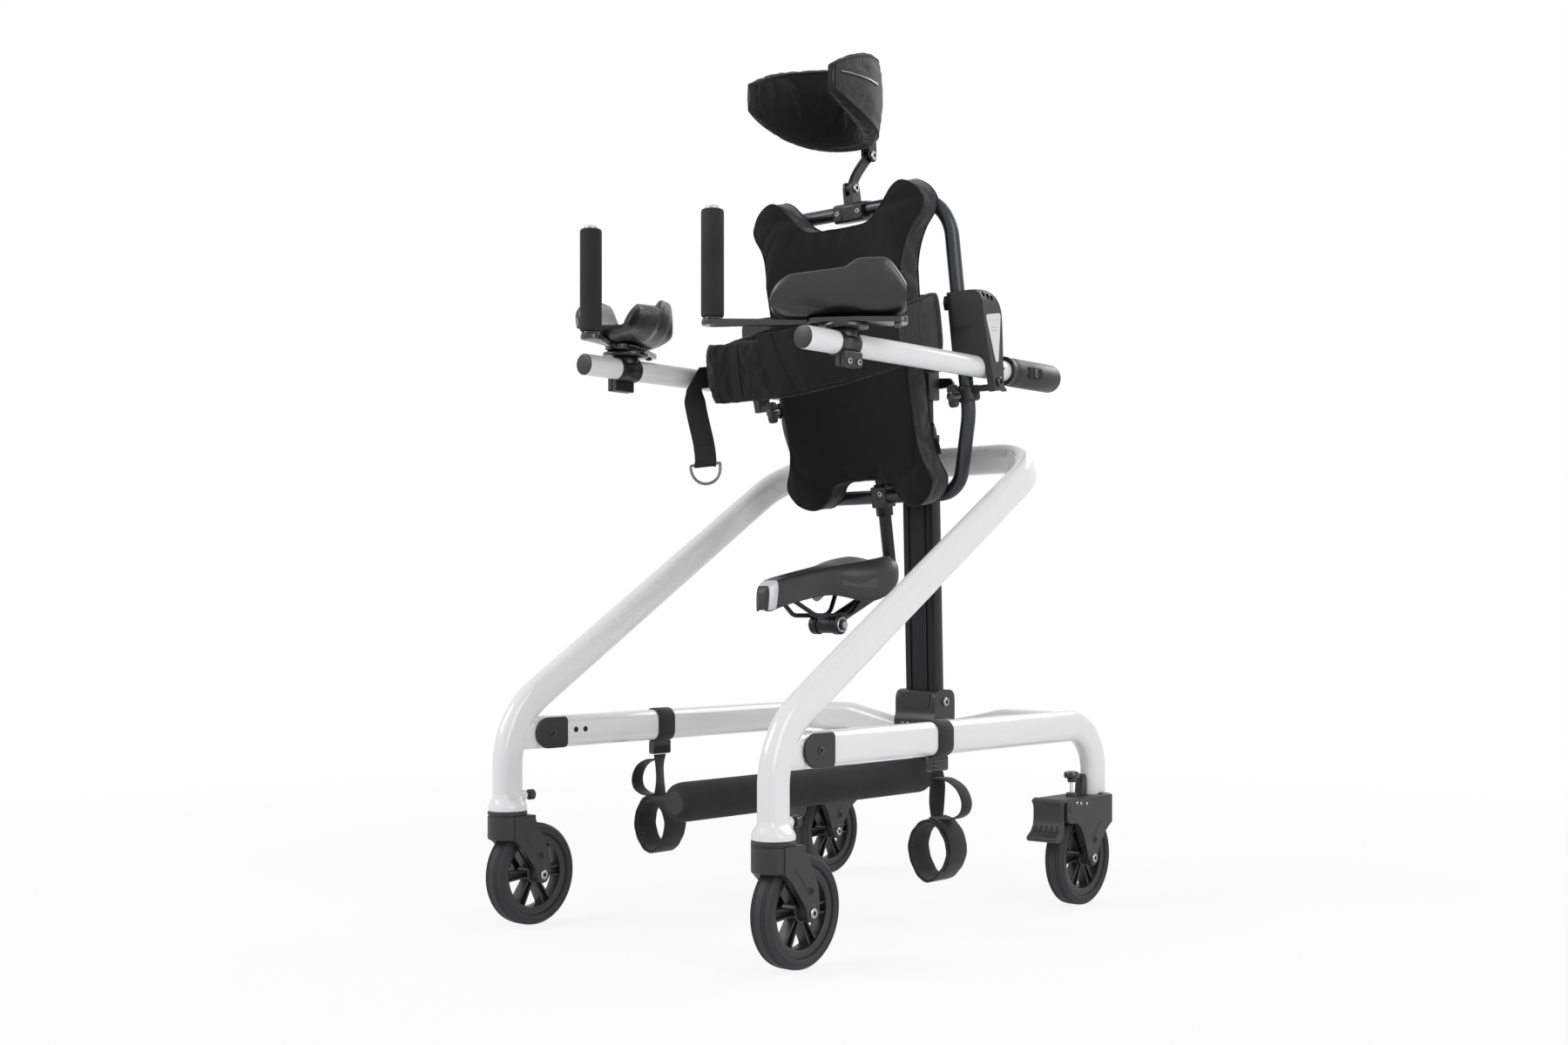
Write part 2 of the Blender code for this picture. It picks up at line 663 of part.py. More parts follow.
def add_rail(side, finish):
    x = HALF_TRACK if side == "left" else -HALF_TRACK
    seam = JOINT_Y - JOINT_SEAM
    corners = [(x, seam, RAIL_Z), (x, REAR_LEG_Y, RAIL_Z), (x, REAR_LEG_Y, LEG_FOOT)]
    oval = flat_oval(TUBE_LONG, TUBE_SHORT)
    made = add_mesh(f"rail_{side}", sweep(bent(corners, [RAIL_BEND_RADIUS], 7), oval, (1, 0, 0)), finish)
    cut(made, rod(COVER_PIN_RADIUS + GAP, -0.03, 0.03, "X", (x, JOINT_Y, RAIL_Z), 16))
    cut(made, rod(STEM_RADIUS + RUNNING, -0.01, STEM_HEIGHT + 0.002, "Z", (x, REAR_LEG_Y, FORK_TOP)))


def add_joint_cover(side, finish):
    """D-shaped plates on both faces of the rail, with the bolt that runs through it."""
    x = HALF_TRACK if side == "left" else -HALF_TRACK
    half_h, half_l = COVER_HEIGHT / 2, COVER_LENGTH / 2
    outline = []
    for k in range(9):
        angle = math.pi / 2 + math.pi * k / 8
        outline.append((JOINT_Y - half_l + half_h + half_h * math.cos(angle), RAIL_Z + half_h * math.sin(angle)))
    back = JOINT_Y + half_l
    outline += [(back - 0.006, RAIL_Z - half_h), (back, RAIL_Z - half_h + 0.007),
                (back, RAIL_Z + half_h - 0.007), (back - 0.006, RAIL_Z + half_h)]
    near = RAIL_SIDE + GAP
    far = near + COVER_THICKNESS
    made = add_mesh(f"joint_cover_{side}", prism(outline, "X", x + near, x + far, 0.0015), finish)
    unite(made, prism(outline, "X", x - far, x - near, 0.0015))
    unite(made, rod(COVER_PIN_RADIUS, x - near - 0.002, x + near + 0.002, "X", (0, JOINT_Y, RAIL_Z), 16))


def add_cross_tube(finish):
    end = HALF_TRACK - RAIL_SIDE - GAP
    low = RAIL_Z - CROSS_DIP
    corners = [(-end, RAIL_Z), (-CROSS_DIP_START, RAIL_Z), (-CROSS_DIP_END, low),
               (CROSS_DIP_END, low), (CROSS_DIP_START, RAIL_Z), (end, RAIL_Z)]
    path = bent([(x, CROSS_Y, z) for x, z in corners], [CROSS_BEND_RADIUS] * 4, 2)
    add_mesh("cross_tube", sweep(path, flat_oval(TUBE_LONG, TUBE_SHORT), (0, 1, 0)), finish)


def add_column_bracket(finish):
    """A cradle that wraps the cross tube and holds the column's foot between two cheeks."""
    tube_top = RAIL_Z - CROSS_DIP + TUBE_LONG / 2
    low = tube_top - BRACKET_SKIRT
    front, back = CROSS_Y - BRACKET_DEPTH / 2, CROSS_Y + BRACKET_DEPTH / 2
    half = BRACKET_HALF_WIDTH
    outline = [(front - 0.004, low), (back, low), (back, BRACKET_TOP - BRACKET_ROUND),
               (back - BRACKET_ROUND * 0.3, BRACKET_TOP - BRACKET_ROUND * 0.3), (back - BRACKET_ROUND, BRACKET_TOP),
               (front + BRACKET_ROUND, BRACKET_TOP), (front + BRACKET_ROUND * 0.3, BRACKET_TOP - BRACKET_ROUND * 0.3),
               (front, BRACKET_TOP - BRACKET_ROUND), (front, tube_top + 0.006)]
    made = add_mesh("column_bracket", prism(outline, "X", -half, half, 0.003), finish)
    floor = tube_top + BRACKET_FLOOR
    wall = CROSS_Y - COLUMN_DEPTH / 2 - FOOT_CLEARANCE
    cheek = COLUMN_WIDTH / 2 + CHEEK_CLEARANCE
    cut(made, block((-cheek, wall, floor), (cheek, back + 0.01, BRACKET_TOP + 0.01)))
    level = [Vector((-half - 0.01, CROSS_Y, RAIL_Z - CROSS_DIP)), Vector((half + 0.01, CROSS_Y, RAIL_Z - CROSS_DIP))]
    wide = flat_oval(TUBE_LONG + 2 * GAP, TUBE_SHORT + 2 * GAP)
    cut(made, sweep(level, wide, (0, 1, 0)))
    cut(made, block((-half - 0.01, CROSS_Y - TUBE_SHORT / 2 - GAP, low - 0.01),
                    (half + 0.01, CROSS_Y + TUBE_SHORT / 2 + GAP, RAIL_Z - CROSS_DIP)))
    end = half + PIVOT_HEAD_HEIGHT
    bolt = [(0, -end), (PIVOT_HEAD_RADIUS, -end), (PIVOT_HEAD_RADIUS, 0.002 - half), (PIVOT_RADIUS, 0.002 - half),
            (PIVOT_RADIUS, half - 0.002), (PIVOT_HEAD_RADIUS, half - 0.002), (PIVOT_HEAD_RADIUS, end), (0, end)]
    unite(made, turn(bolt, "X", (0, CROSS_Y, PIVOT_Z), 16))
    tube_low = RAIL_Z - CROSS_DIP - TUBE_LONG / 2 - GAP
    tube_back = CROSS_Y + TUBE_SHORT / 2 + GAP
    hanger_front = DIVIDER_BACK + GAP
    hanger_low = DIVIDER_Z - 0.020
    hanger = [(hanger_front, hanger_low), (back - 0.001, hanger_low), (back - 0.001, low + 0.006),
              (tube_back, low + 0.006), (tube_back, tube_low), (hanger_front, tube_low)]
    unite(made, prism(hanger, "X", -DIVIDER_BRACKET_HALF, DIVIDER_BRACKET_HALF))


def column_section():
    half_w, half_d, corner = COLUMN_WIDTH / 2, COLUMN_DEPTH / 2, 0.003
    near, far = COLUMN_GROOVE_X - COLUMN_GROOVE_WIDTH / 2, COLUMN_GROOVE_X + COLUMN_GROOVE_WIDTH / 2
    sunk = half_d - COLUMN_GROOVE_DEPTH
    face = [(half_w, half_d - corner), (half_w - corner, half_d), (far, half_d), (far, sunk), (near, sunk),
            (near, half_d)]
    mirrored = [(-x, y) for x, y in reversed(face)]
    back = face + mirrored
    return back + [(x, -y) for x, y in reversed(back)]


def add_column(holder, finish):
    made = add_mesh("column", prism(column_section(), "Z", -COLUMN_FOOT, COLUMN_TOP), finish, holder)
    half_w, half_d = MAST_WIDTH / 2 + GAP, MAST_DEPTH / 2 + GAP
    cut(made, block((-half_w, -half_d, COLUMN_FLOOR), (half_w, half_d, COLUMN_TOP + 0.01)))
    cut(made, rod(PIVOT_RADIUS + RUNNING, -COLUMN_WIDTH, COLUMN_WIDTH, "X", sides=16))


def add_trunk_frame(holder, finish):
    """The round-tube loop with its crossbar and the sleeve for the saddle post."""
    foot, half, top = LOOP_FOOT_HALF, LOOP_HALF_WIDTH, LOOP_HEIGHT
    corners = [(0, 0), (foot, 0), (half, LOOP_FLARE_Z), (half, top), (-half, top),
               (-half, LOOP_FLARE_Z), (-foot, 0), (0, 0)]
    radii = [LOOP_FOOT_BEND, LOOP_SIDE_BEND, LOOP_TOP_BEND, LOOP_TOP_BEND, LOOP_SIDE_BEND, LOOP_FOOT_BEND]
    path = bent([(x, 0, z) for x, z in corners], radii, 4)[:-1]
    made = add_mesh("trunk_frame", sweep(path, circle(LOOP_RADIUS, LOOP_SIDES), (0, 1, 0), closed=True), finish, holder)
    unite(made, rod(CROSSBAR_RADIUS, -half, half, "X", (0, 0, CROSSBAR_Z), 12))
    unite(made, rod(SLEEVE_RADIUS, SLEEVE_LOW, SLEEVE_HIGH))
    cut(made, rod(POST_RADIUS + RUNNING, SLEEVE_LOW - 0.01, SLEEVE_HIGH + 0.01))


def add_mast(trunk, mast_frame, finish):
    """The telescopic mast with its carrier: a collar, an arm and an upright plate on the trunk loop."""
    to_trunk = trunk.matrix_basis.inverted()
    near = LOOP_RADIUS + GAP
    far = near + 0.0045 + CARRIER_PLATE
    half = CARRIER_HALF_WIDTH
    high = CROSSBAR_Z + 0.030
    plate = block((-half, near + 0.0045, 0.036), (half, far, high), 0.001)
    made = add_mesh("mast", plate, finish, trunk)
    rest = CROSSBAR_RADIUS + GAP
    unite(made, block((-half, rest, CROSSBAR_Z - 0.006), (half, far - 0.001, CROSSBAR_Z + 0.006)))
    foot = near + 0.003
    unite(made, block((-half - 0.002, foot, -0.010), (half + 0.002, far, 0.040), 0.001))
    for side in (-1, 1):
        middle = side * (half - 0.002)
        unite(made, block((middle - 0.003, near, -0.006), (middle + 0.003, foot + 0.002, 0.006)))
    level = to_trunk @ mast_frame
    wall = CARRIER_CLAMP_WALL
    half_w, half_d = MAST_WIDTH / 2, MAST_DEPTH / 2
    low = CARRIER_Z - PIVOT_Z
    unite(made, block((-half_w, -half_d, MAST_BOTTOM), (half_w, half_d, MAST_TOP), 0.0015), level)
    clamp = block((-half_w - wall, -half_d - wall, low), (half_w + wall, half_d + wall, low + CARRIER_HEIGHT), 0.002)
    unite(made, clamp, level)
    bridge_front = far - 0.002
    unite(made, block((-half * 0.8, bridge_front, CROSSBAR_Z - 0.020),
                      (half * 0.8, bridge_front + 0.112, CROSSBAR_Z + 0.022)))


def mirrored_outline(right_half):
    """Completes an outline from its right half, listed from bottom to top."""
    return right_half + [(-x, z) for x, z in reversed(right_half)]


def pad_outline():
    top = LOOP_HEIGHT
    return mirrored_outline([(0.045, 0.025), (0.066, 0.002), (0.088, -0.014), (0.112, -0.014), (0.135, 0.000),
                             (0.148, 0.026), (0.136, 0.058), (0.130, 0.090), (0.130, 0.160), (0.132, 0.240),
                             (0.135, top - 0.127), (0.139, top - 0.079), (0.150, top - 0.047), (0.166, top - 0.025),
                             (0.172, top - 0.005), (0.158, top + 0.019), (0.131, top + 0.033),
                             (0.109, top + 0.026), (0.088, top + 0.005), (0.065, top - 0.016),
                             (0.040, top - 0.022)])


def pad_bow(x, z, share):
    """How far the back pad's sides curl forward: fully at mid-height, half as much at the foot, not at the ears."""
    height = max(0.0, min(1.0, 0.5 + z / 0.32, (LOOP_HEIGHT - z) / PAD_BOW_RUN))
    return PAD_BOW * (0.7 + 0.3 * share) * height * min(1.0, abs(x) / PAD_BOW_WIDTH) ** 2


def add_back_pad(holder, finish):
    """A crowned cushion: its sides curl forward and draw in towards the front and back faces."""
    back = -LOOP_RADIUS - GAP
    levels = [(0.0, 0.005), (0.1, 0.0), (0.5, -0.0015), (0.86, 0.002), (0.97, 0.008), (1.0, 0.018)]
    outline = anticlockwise(pad_outline())
    rings = []
    for share, shrink in levels:
        y = back - PAD_THICKNESS * share
        rings.append([Vector((x, y - pad_bow(x, z, share), z)) for x, z in inset(outline, shrink)])
    crown = [Vector((x, back - PAD_THICKNESS - 0.003 - pad_bow(x, z, 1), z)) for x, z in inset(outline, 0.034)]
    add_mesh("back_pad", loft(rings + [crown]), finish, holder)


def belt_corners():
    """Corners of the belt's route in the trunk plane's (x, y), from one end behind the back pad to the other."""
    behind = -LOOP_RADIUS + GAP + BELT_THICKNESS / 2
    return [(0.070, behind), (0.1435, behind), (0.149, -0.070), (0.085, -0.172), (0.020, -0.2185),
            (-0.135, -0.2185), (-0.170, -0.170), (-0.166, -0.085), (-0.1435, behind), (-0.070, behind)]


def add_belt(holder, finish):
    """The padded band round the user's chest, which drops towards the front."""
    turns = [0.012, 0.060, 0.080, 0.080, 0.045, 0.045, 0.060, 0.012]
    path = bent([(x, y, 0) for x, y in belt_corners()], turns, 2)
    half_t, half_h = BELT_THICKNESS / 2, BELT_HEIGHT / 2
    section = [(0.5, -1), (0.9, -0.85), (1, 0), (0.9, 0.85), (0.5, 1), (-0.5, 1), (-0.9, 0.85), (-0.9, -0.85),
               (-0.5, -1)]
    section = [(half_t * a, half_h * b) for a, b in section]
    rings = []
    for i, here in enumerate(path):
        ahead = path[min(i + 1, len(path) - 1)] - path[max(i - 1, 0)]
        out = Vector((ahead.y, -ahead.x, 0)).normalized()
        z = BELT_ROOT_Z + min(0.0, here.y - BELT_ROOT_Y) * BELT_DROP
        rings.append([here + out * a + Vector((0, 0, z + b)) for a, b in section])
    add_mesh("trunk_belt", loft(rings), finish, holder)


def add_strap_and_ring(holder, finishes):
    """A loose strap along the belt's side that folds over its front, then twists as it hangs, with a ring at its end."""
    behind, ahead = (Vector(corner) for corner in (belt_corners()[7], belt_corners()[6]))
    forward = (ahead - behind).normalized().to_3d()
    outward = Vector((forward.y, -forward.x, 0))
    start = behind.lerp(ahead, (STRAP_START - behind.y) / (ahead.y - behind.y)).to_3d()
    start += outward * (BELT_THICKNESS / 2 + STRAP_CLEARANCE + STRAP_THICKNESS / 2)
    start.z = BELT_ROOT_Z + (STRAP_START - BELT_ROOT_Y) * BELT_DROP - STRAP_LOWERING - STRAP_WIDTH / 2
    high, corner = Vector((0, 0, STRAP_WIDTH)), 0.001
    inner = forward * (STRAP_REACH - STRAP_WIDTH)
    edges = [(start + high, start), (start + inner + high, start + inner - forward * corner)]
    stations = [(first, second, outward) for first, second in edges]
    down = Vector((0, -math.sin(TRUNK_LEAN), -math.cos(TRUNK_LEAN)))
    hung = start + forward * (STRAP_REACH - STRAP_WIDTH / 2) + down * corner
    first_turn = math.atan2(forward.y, forward.x) % (2 * math.pi)
    last_turn = STRAP_TWIST + math.pi
    steps = 10
    for k in range(steps + 1):
        share = k / steps
        turn = min(1.0, share * 2.5)
        angle = first_turn + (last_turn - first_turn) * turn * turn * (3 - 2 * turn)
        across = Vector((math.cos(angle), math.sin(angle), 0))
        end = hung + down * (STRAP_DROP * share) + Vector((STRAP_SWAY * share * share * (3 - 2 * share), 0, 0))
        half = across * (STRAP_WIDTH / 2)
        stations.append((end + half, end - half, Vector((across.y, -across.x, 0))))
    rings = []
    for first, second, out in stations:
        half = out * (STRAP_THICKNESS / 2)
        rings.append([first - half, second - half, second + half, first + half])
    add_mesh("belt_strap", loft(rings), finishes["webbing"], holder)
    tangent = Vector((math.cos(STRAP_TWIST), math.sin(STRAP_TWIST), 0))
    upward = (tangent * down.dot(tangent) - down).normalized()
    axes = Matrix((tangent, upward.cross(tangent), upward)).transposed().to_4x4()
    pivot = Matrix.Translation(end + down * (RING_WIRE + RING_CLEARANCE))
    ring_frame = add_empty("ring_pivot", pivot @ axes, holder)
    half_w = RING_WIDTH / 2
    arc = []
    for k in range(13):
        angle = math.pi * k / 12
        arc.append(Vector((half_w * math.cos(angle), 0, -(RING_HEIGHT - 2 * RING_WIRE) * math.sin(angle) ** 0.8)))
    arc += [Vector((-half_w * share, 0, 0)) for share in (0.5, 0.0, -0.5)]
    wire = sweep(arc, circle(RING_WIRE, 6), (0, 1, 0), closed=True)
    add_mesh("d_ring", wire, finishes["chrome"], ring_frame)


def add_head_support(trunk, finishes):
    top = LOOP_HEIGHT
    half = HEAD_CLAMP_WIDTH / 2
    clamp_low, clamp_high = top - HEAD_CLAMP_HEIGHT / 2 - 0.003, top + HEAD_CLAMP_HEIGHT / 2
    clamp = block((-half, -HEAD_CLAMP_DEPTH / 2, clamp_low), (half, HEAD_CLAMP_DEPTH / 2, clamp_high), 0.003)
    made = add_mesh("head_clamp", clamp, finishes["bracket"], trunk)
    joint = Vector((0, HEAD_JOINT_SHIFT, LOOP_HEIGHT + HEAD_JOINT_RISE))
    post = prism([(joint.y - 0.011, clamp_high - 0.004), (joint.y + 0.012, clamp_high - 0.004),
                  (joint.y + LINK_RADIUS, joint.z), (joint.y + 0.005, joint.z + LINK_RADIUS - 0.001),
                  (joint.y - 0.005, joint.z + LINK_RADIUS - 0.001), (joint.y - LINK_RADIUS, joint.z)],
                 "X", -LINK_THICKNESS, LINK_THICKNESS)
    unite(made, post)
    cut(made, block((-LINK_THICKNESS / 2 - GAP, joint.y - 0.03, joint.z - LINK_RADIUS - 0.002),
                    (LINK_THICKNESS / 2 + GAP, joint.y + 0.03, joint.z + 0.03)))
    wide = circle(LOOP_RADIUS + GAP, LOOP_SIDES)
    cut(made, sweep([Vector((-half - 0.01, 0, top)), Vector((half + 0.01, 0, top))], wide, (0, 1, 0)))

    lower = add_empty("head_joint", Matrix.Translation(HEAD_JOINT))
    link = capsule(Vector((0, 0)), Vector((HEAD_LINK_RUN, HEAD_LINK_RISE)), LINK_RADIUS - 0.0015)
    made = add_mesh("head_link", prism(link, "X", -LINK_THICKNESS / 2, LINK_THICKNESS / 2), finishes["bracket"], lower)

    elbow = add_empty("head_elbow", Matrix.Translation(HEAD_ELBOW))
    outer = LINK_THICKNESS
    inner = LINK_THICKNESS / 2 + GAP
    fork = capsule(Vector((0, 0)), Vector((0, HEAD_STEM_HEIGHT)), LINK_RADIUS)
    made = add_mesh("head_stem", prism(fork, "X", -outer, outer), finishes["bracket"], elbow)
    half, front = HEAD_PLATE_HALF, GAP - HEAD_PAD_SETBACK
    unite(made, block((-half, front, HEAD_STEM_HEIGHT / 2),
                      (half, front + HEAD_PLATE_THICKNESS, HEAD_PAD_RISE + half), 0.001))
    cut(made, block((-inner, -0.03, -0.03), (inner, 0.03, LINK_RADIUS + 0.002)))


def capsule(first, second, radius, steps=6):
    """Outline of a bar with round ends between two points."""
    along = (second - first).normalized()
    base = math.atan2(along.y, along.x)
    outline = []
    for centre, start in ((second, base - math.pi / 2), (first, base + math.pi / 2)):
        for k in range(steps + 1):
            angle = start + math.pi * k / steps
            outline.append((centre.x + radius * math.cos(angle), centre.y + radius * math.sin(angle)))
    return outline


def add_head_pad(finish):
    """A deep curved cushion whose wings taper towards their tips."""
    elbow = bpy.data.objects["head_elbow"]
    middle_y = -HEAD_PAD_SETBACK - HEAD_PAD_THICKNESS / 2 - HEAD_PAD_DEPTH
    steps = 14
    rings = []
    for k in range(steps + 1):
        share = 2 * k / steps - 1
        angle = share * HEAD_PAD_SWEEP
        centre = Vector((HEAD_PAD_HALF_WIDTH * math.sin(angle), middle_y + HEAD_PAD_DEPTH * math.cos(angle),
                         HEAD_PAD_RISE))
        out = Vector((HEAD_PAD_DEPTH * math.sin(angle), HEAD_PAD_HALF_WIDTH * math.cos(angle), 0)).normalized()
        tip = 1 - abs(share) ** 3.2
        half_h = HEAD_PAD_HEIGHT / 2 * (0.36 + 0.64 * tip)
        half_t = HEAD_PAD_THICKNESS / 2 * (0.62 + 0.38 * tip)
        section = [(0.55, -1.0), (0.9, -0.72), (1.0, 0.0), (0.9, 0.72), (0.55, 1.0),
                   (-0.55, 1.0), (-0.9, 0.72), (-1.0, 0.0), (-0.9, -0.72), (-0.55, -1.0)]
        rings.append([centre + out * (a * half_t) + Vector((0, 0, b * half_h)) for a, b in section])
    add_mesh("head_pad", loft(rings), finish, elbow)


def add_arm_housing(side, trunk, finish):
    """Grips the loop's side tube and the arm tube, with a tapered outer plate."""
    sign = 1 if side == "left" else -1
    half = HOUSING_DEPTH / 2
    inner = LOOP_HALF_WIDTH - HOUSING_INNER
    outer = ARM_X + ARM_RADIUS + HOUSING_PLATE
    split = ARM_X + 0.002
    into = trunk.matrix_basis.inverted()
    arm = into @ Vector((sign * ARM_X, 0, ARM_Z))

    def between(low, high):
        return (low, high) if sign > 0 else (-high, -low)

    top = [(-half, HOUSING_MID), (half, HOUSING_MID), (half, HOUSING_TOP - 0.006), (half - 0.006, HOUSING_TOP),
           (0.006 - half, HOUSING_TOP), (-half, HOUSING_TOP - 0.006)]
    low_x, high_x = between(inner, outer - 0.004)
    made = add_mesh(f"arm_housing_{side}", prism(top, "X", low_x, high_x, 0.002), finish, trunk)
    tail = HOUSING_TAIL_HALF
    plate = [(-tail, HOUSING_LOW + 0.006), (0.006 - tail, HOUSING_LOW), (tail - 0.006, HOUSING_LOW),
             (tail, HOUSING_LOW + 0.006), (half, HOUSING_MID + 0.030), (half, HOUSING_TOP - 0.018),
             (half - 0.010, HOUSING_TOP - 0.008), (0.010 - half, HOUSING_TOP - 0.008), (-half, HOUSING_TOP - 0.018),
             (-half, HOUSING_MID + 0.030)]
    low_x, high_x = between(split, outer)
    unite(made, prism(plate, "X", low_x, high_x, 0.0025))
    foot_x = sign * LOOP_HALF_WIDTH
    unite(made, rod(CLAMP_FOOT_RADIUS, CLAMP_FOOT_LOW, CLAMP_FOOT_HIGH, "Z", (foot_x, 0, 0)))
    low_x, high_x = between(LOOP_HALF_WIDTH, outer - 0.003)
    unite(made, block((low_x, -tail + 0.002, HOUSING_LOW + 0.001), (high_x, tail - 0.002, CLAMP_FOOT_HIGH)))
    lean = Matrix.Translation(arm) @ Matrix.Rotation(-TRUNK_LEAN, 4, "X")
    cut(made, rod(ARM_RADIUS + GAP, -0.10, 0.35, "Y"), lean)
    cut(made, rod(LOOP_RADIUS + GAP, 0.10, HOUSING_TOP + 0.02, "Z", (foot_x, 0, 0)))


def add_wing_knob(side, trunk, finish):
    sign = 1 if side == "left" else -1
    axis = add_empty(f"knob_axis_{side}", Matrix.Translation((sign * LOOP_HALF_WIDTH, 0, KNOB_Z)), trunk)
    start = -CLAMP_FOOT_RADIUS - GAP
    end = start - KNOB_SHAFT
    wing = [(0.006, -0.006), (0.0075, 0.010), (0.005, KNOB_HALF), (-0.005, KNOB_HALF), (-0.0075, 0.010),
            (-0.006, -0.006), (-0.005, -KNOB_HALF), (0.005, -KNOB_HALF)]
    made = add_mesh(f"wing_knob_{side}", prism(wing, "Y", end - KNOB_THICKNESS, end + 0.001, 0.0015), finish, axis)
    unite(made, rod(0.004, end, start, "Y", sides=12))


def add_arm_tube(side, finishes):
    sign = 1 if side == "left" else -1
    line = add_empty(f"arm_line_{side}", Matrix.Translation((sign * ARM_X, 0, ARM_Z)))
    add_mesh(f"arm_tube_{side}", rod(ARM_RADIUS, ARM_FRONT, ARM_BACK, "Y", edge=0.002), finishes["arm"], line)
    bore = ARM_RADIUS + GAP
    outer = ARM_RADIUS + SLEEVE_WALL
    sleeve = [(0, SLEEVE_END), (outer - 0.004, SLEEVE_END), (outer, SLEEVE_END - 0.005), (outer, SLEEVE_START + 0.002),
              (outer - 0.002, SLEEVE_START), (bore, SLEEVE_START), (bore, ARM_BACK + GAP), (0, ARM_BACK + GAP)]
    add_mesh(f"arm_sleeve_{side}", turn(sleeve, "Y"), finishes["bracket"], line)

    clamp = add_empty(f"clamp_line_{side}", Matrix.Translation((0, FOREARM_Y, 0)), line)
    half = FOREARM_CLAMP_HALF
    outer = ARM_RADIUS + FOREARM_CLAMP_WALL
    made = add_mesh(f"forearm_clamp_{side}", rod(outer, -half, half, "Y"), finishes["bracket"], clamp)
    boss_top = TURNTABLE_Z - GAP - ARM_Z
    unite(made, rod(0.019, 0.008, boss_top, "Z", sides=12))
    ear = [(sign * 0.001, -0.010), (sign * 0.001, -FOREARM_EAR_DROP), (sign * 0.017, -FOREARM_EAR_DROP + 0.004),
           (sign * 0.021, -0.008)]
    unite(made, prism(ear, "Y", -half, half))
    cut(made, rod(bore, -half - 0.01, half + 0.01, "Y"))


def trough_ring(y, half_w, height, lift):
    """A U-shaped band across the trough at one station."""
    outer, inner = [], []
    count = 8
    wall = TROUGH_WALL
    for k in range(count + 1):
        angle = math.pi * k / count
        bend = math.sin(angle) ** 0.75
        outer.append((-half_w * math.cos(angle), height * (1 - bend) + lift * bend))
        inner.append((-(half_w - wall) * math.cos(angle), height * (1 - bend) + (lift + wall) * bend))
    pairs = outer + list(reversed(inner))
    return [Vector((x, y, BAR_TOP + GAP + z)) for x, z in pairs]


def add_forearm(side, finishes):
    sign = 1 if side == "left" else -1
    swing = Matrix.Translation((sign * ARM_X, FOREARM_Y, 0)) @ Matrix.Rotation(YAW[side], 4, "Z")
    pivot = add_empty(f"forearm_pivot_{side}", swing)
    reach = REACH[side]
    table = rod(TURNTABLE_RADIUS, TURNTABLE_Z, TURNTABLE_Z + TURNTABLE_THICKNESS, edge=0.002)
    made = add_mesh(f"forearm_bar_{side}", table, finishes["bracket"], pivot)
    tip = [(BAR_HALF_WIDTH * math.sin(a), -reach - BAR_HALF_WIDTH * math.cos(a))
           for a in [math.pi * (k / 8 - 0.5) for k in range(9)]]
    bar = tip + [(0.021, -0.03), (0.024, 0.02), (0.020, BAR_TAIL - 0.008), (0.012, BAR_TAIL), (-0.012, BAR_TAIL),
                 (-0.020, BAR_TAIL - 0.008), (-0.024, 0.02), (-0.021, -0.03)]
    unite(made, prism(bar, "Z", BAR_LOW, BAR_TOP, 0.001))
    foot = BAR_TOP + GAP
    radius = GRIP_RADIUS
    grip = [(0, foot), (radius - 0.004, foot), (radius - 0.003, foot + 0.003), (radius, foot + 0.005),
            (radius, GRIP_TOP - 0.006), (radius - 0.002, GRIP_TOP - 0.004), (radius - 0.005, GRIP_TOP - 0.004),
            (radius - 0.006, GRIP_TOP), (0, GRIP_TOP)]
    add_mesh(f"hand_grip_{side}", turn(grip, centre=(0, -reach, 0)), finishes["foam"], pivot)
    front, back = TROUGH_FRONT, TROUGH_BACK
    span = back - front
    stations = [(0.0, 0.040, 0.024, 0.012), (0.05, 0.045, 0.038, 0.003), (0.14, 0.048, 0.049, 0.0),
                (0.45, 0.050, 0.0555, 0.0), (0.58, 0.051, 0.064, 0.0), (0.68, 0.052, 0.0705, 0.0),
                (0.84, 0.052, 0.0705, 0.0), (0.93, 0.049, 0.056, 0.003), (1.0, 0.046, 0.036, 0.010)]
    rings = [trough_ring(front + span * share, w, h, lift) for share, w, h, lift in stations]
    add_mesh(f"trough_{side}", loft(rings), finishes["trough"], pivot)


def add_saddle_post(trunk, finish):
    """The post hangs in the trunk loop's sleeve and turns forward under the saddle."""
    into = trunk.matrix_basis.inverted()
    elbow = into @ Vector((0, POST_ELBOW_Y, POST_ELBOW_Z))
    elbow.y = 0
    pivot = into @ Vector((0, SEAT_PIVOT_Y, SEAT_PIVOT_Z))
    path = bent([Vector((0, 0, POST_TOP)), elbow, pivot], [POST_BEND], 6)
    made = add_mesh("saddle_post", sweep(path, circle(POST_RADIUS), (1, 0, 0)), finish, trunk)
    eye = SEAT_CHEEK_RADIUS
    inner = SEAT_RAIL_X - 0.008
    unite(made, rod(eye, -inner, inner, "X", pivot))
    cut(made, rod(0.0043, -0.03, 0.03, "X", pivot, 12))


def seat_height(share):
    """Top of the saddle on its middle line, from the pivot up."""
    return SEAT_RISE + 0.056 * share - 0.014 * share * share - 0.008 * math.exp(-share * 22)


def seat_depth(share):
    """How far the saddle's sides reach down."""
    lobe = math.exp(-((share - 0.74) / 0.16) ** 2)
    return 0.040 + 0.020 * lobe - 0.012 * max(0.0, share - 0.86) / 0.14


def seat_half_width(share):
    flare = 1 / (1 + math.exp(-(share - 0.66) * 13))
    width = SEAT_NOSE_HALF + 0.006 * share + (SEAT_HALF_WIDTH - SEAT_NOSE_HALF - 0.006) * flare
    return width * math.sqrt(max(0.0, 1 - ((share - 0.5) / 0.515) ** 12))


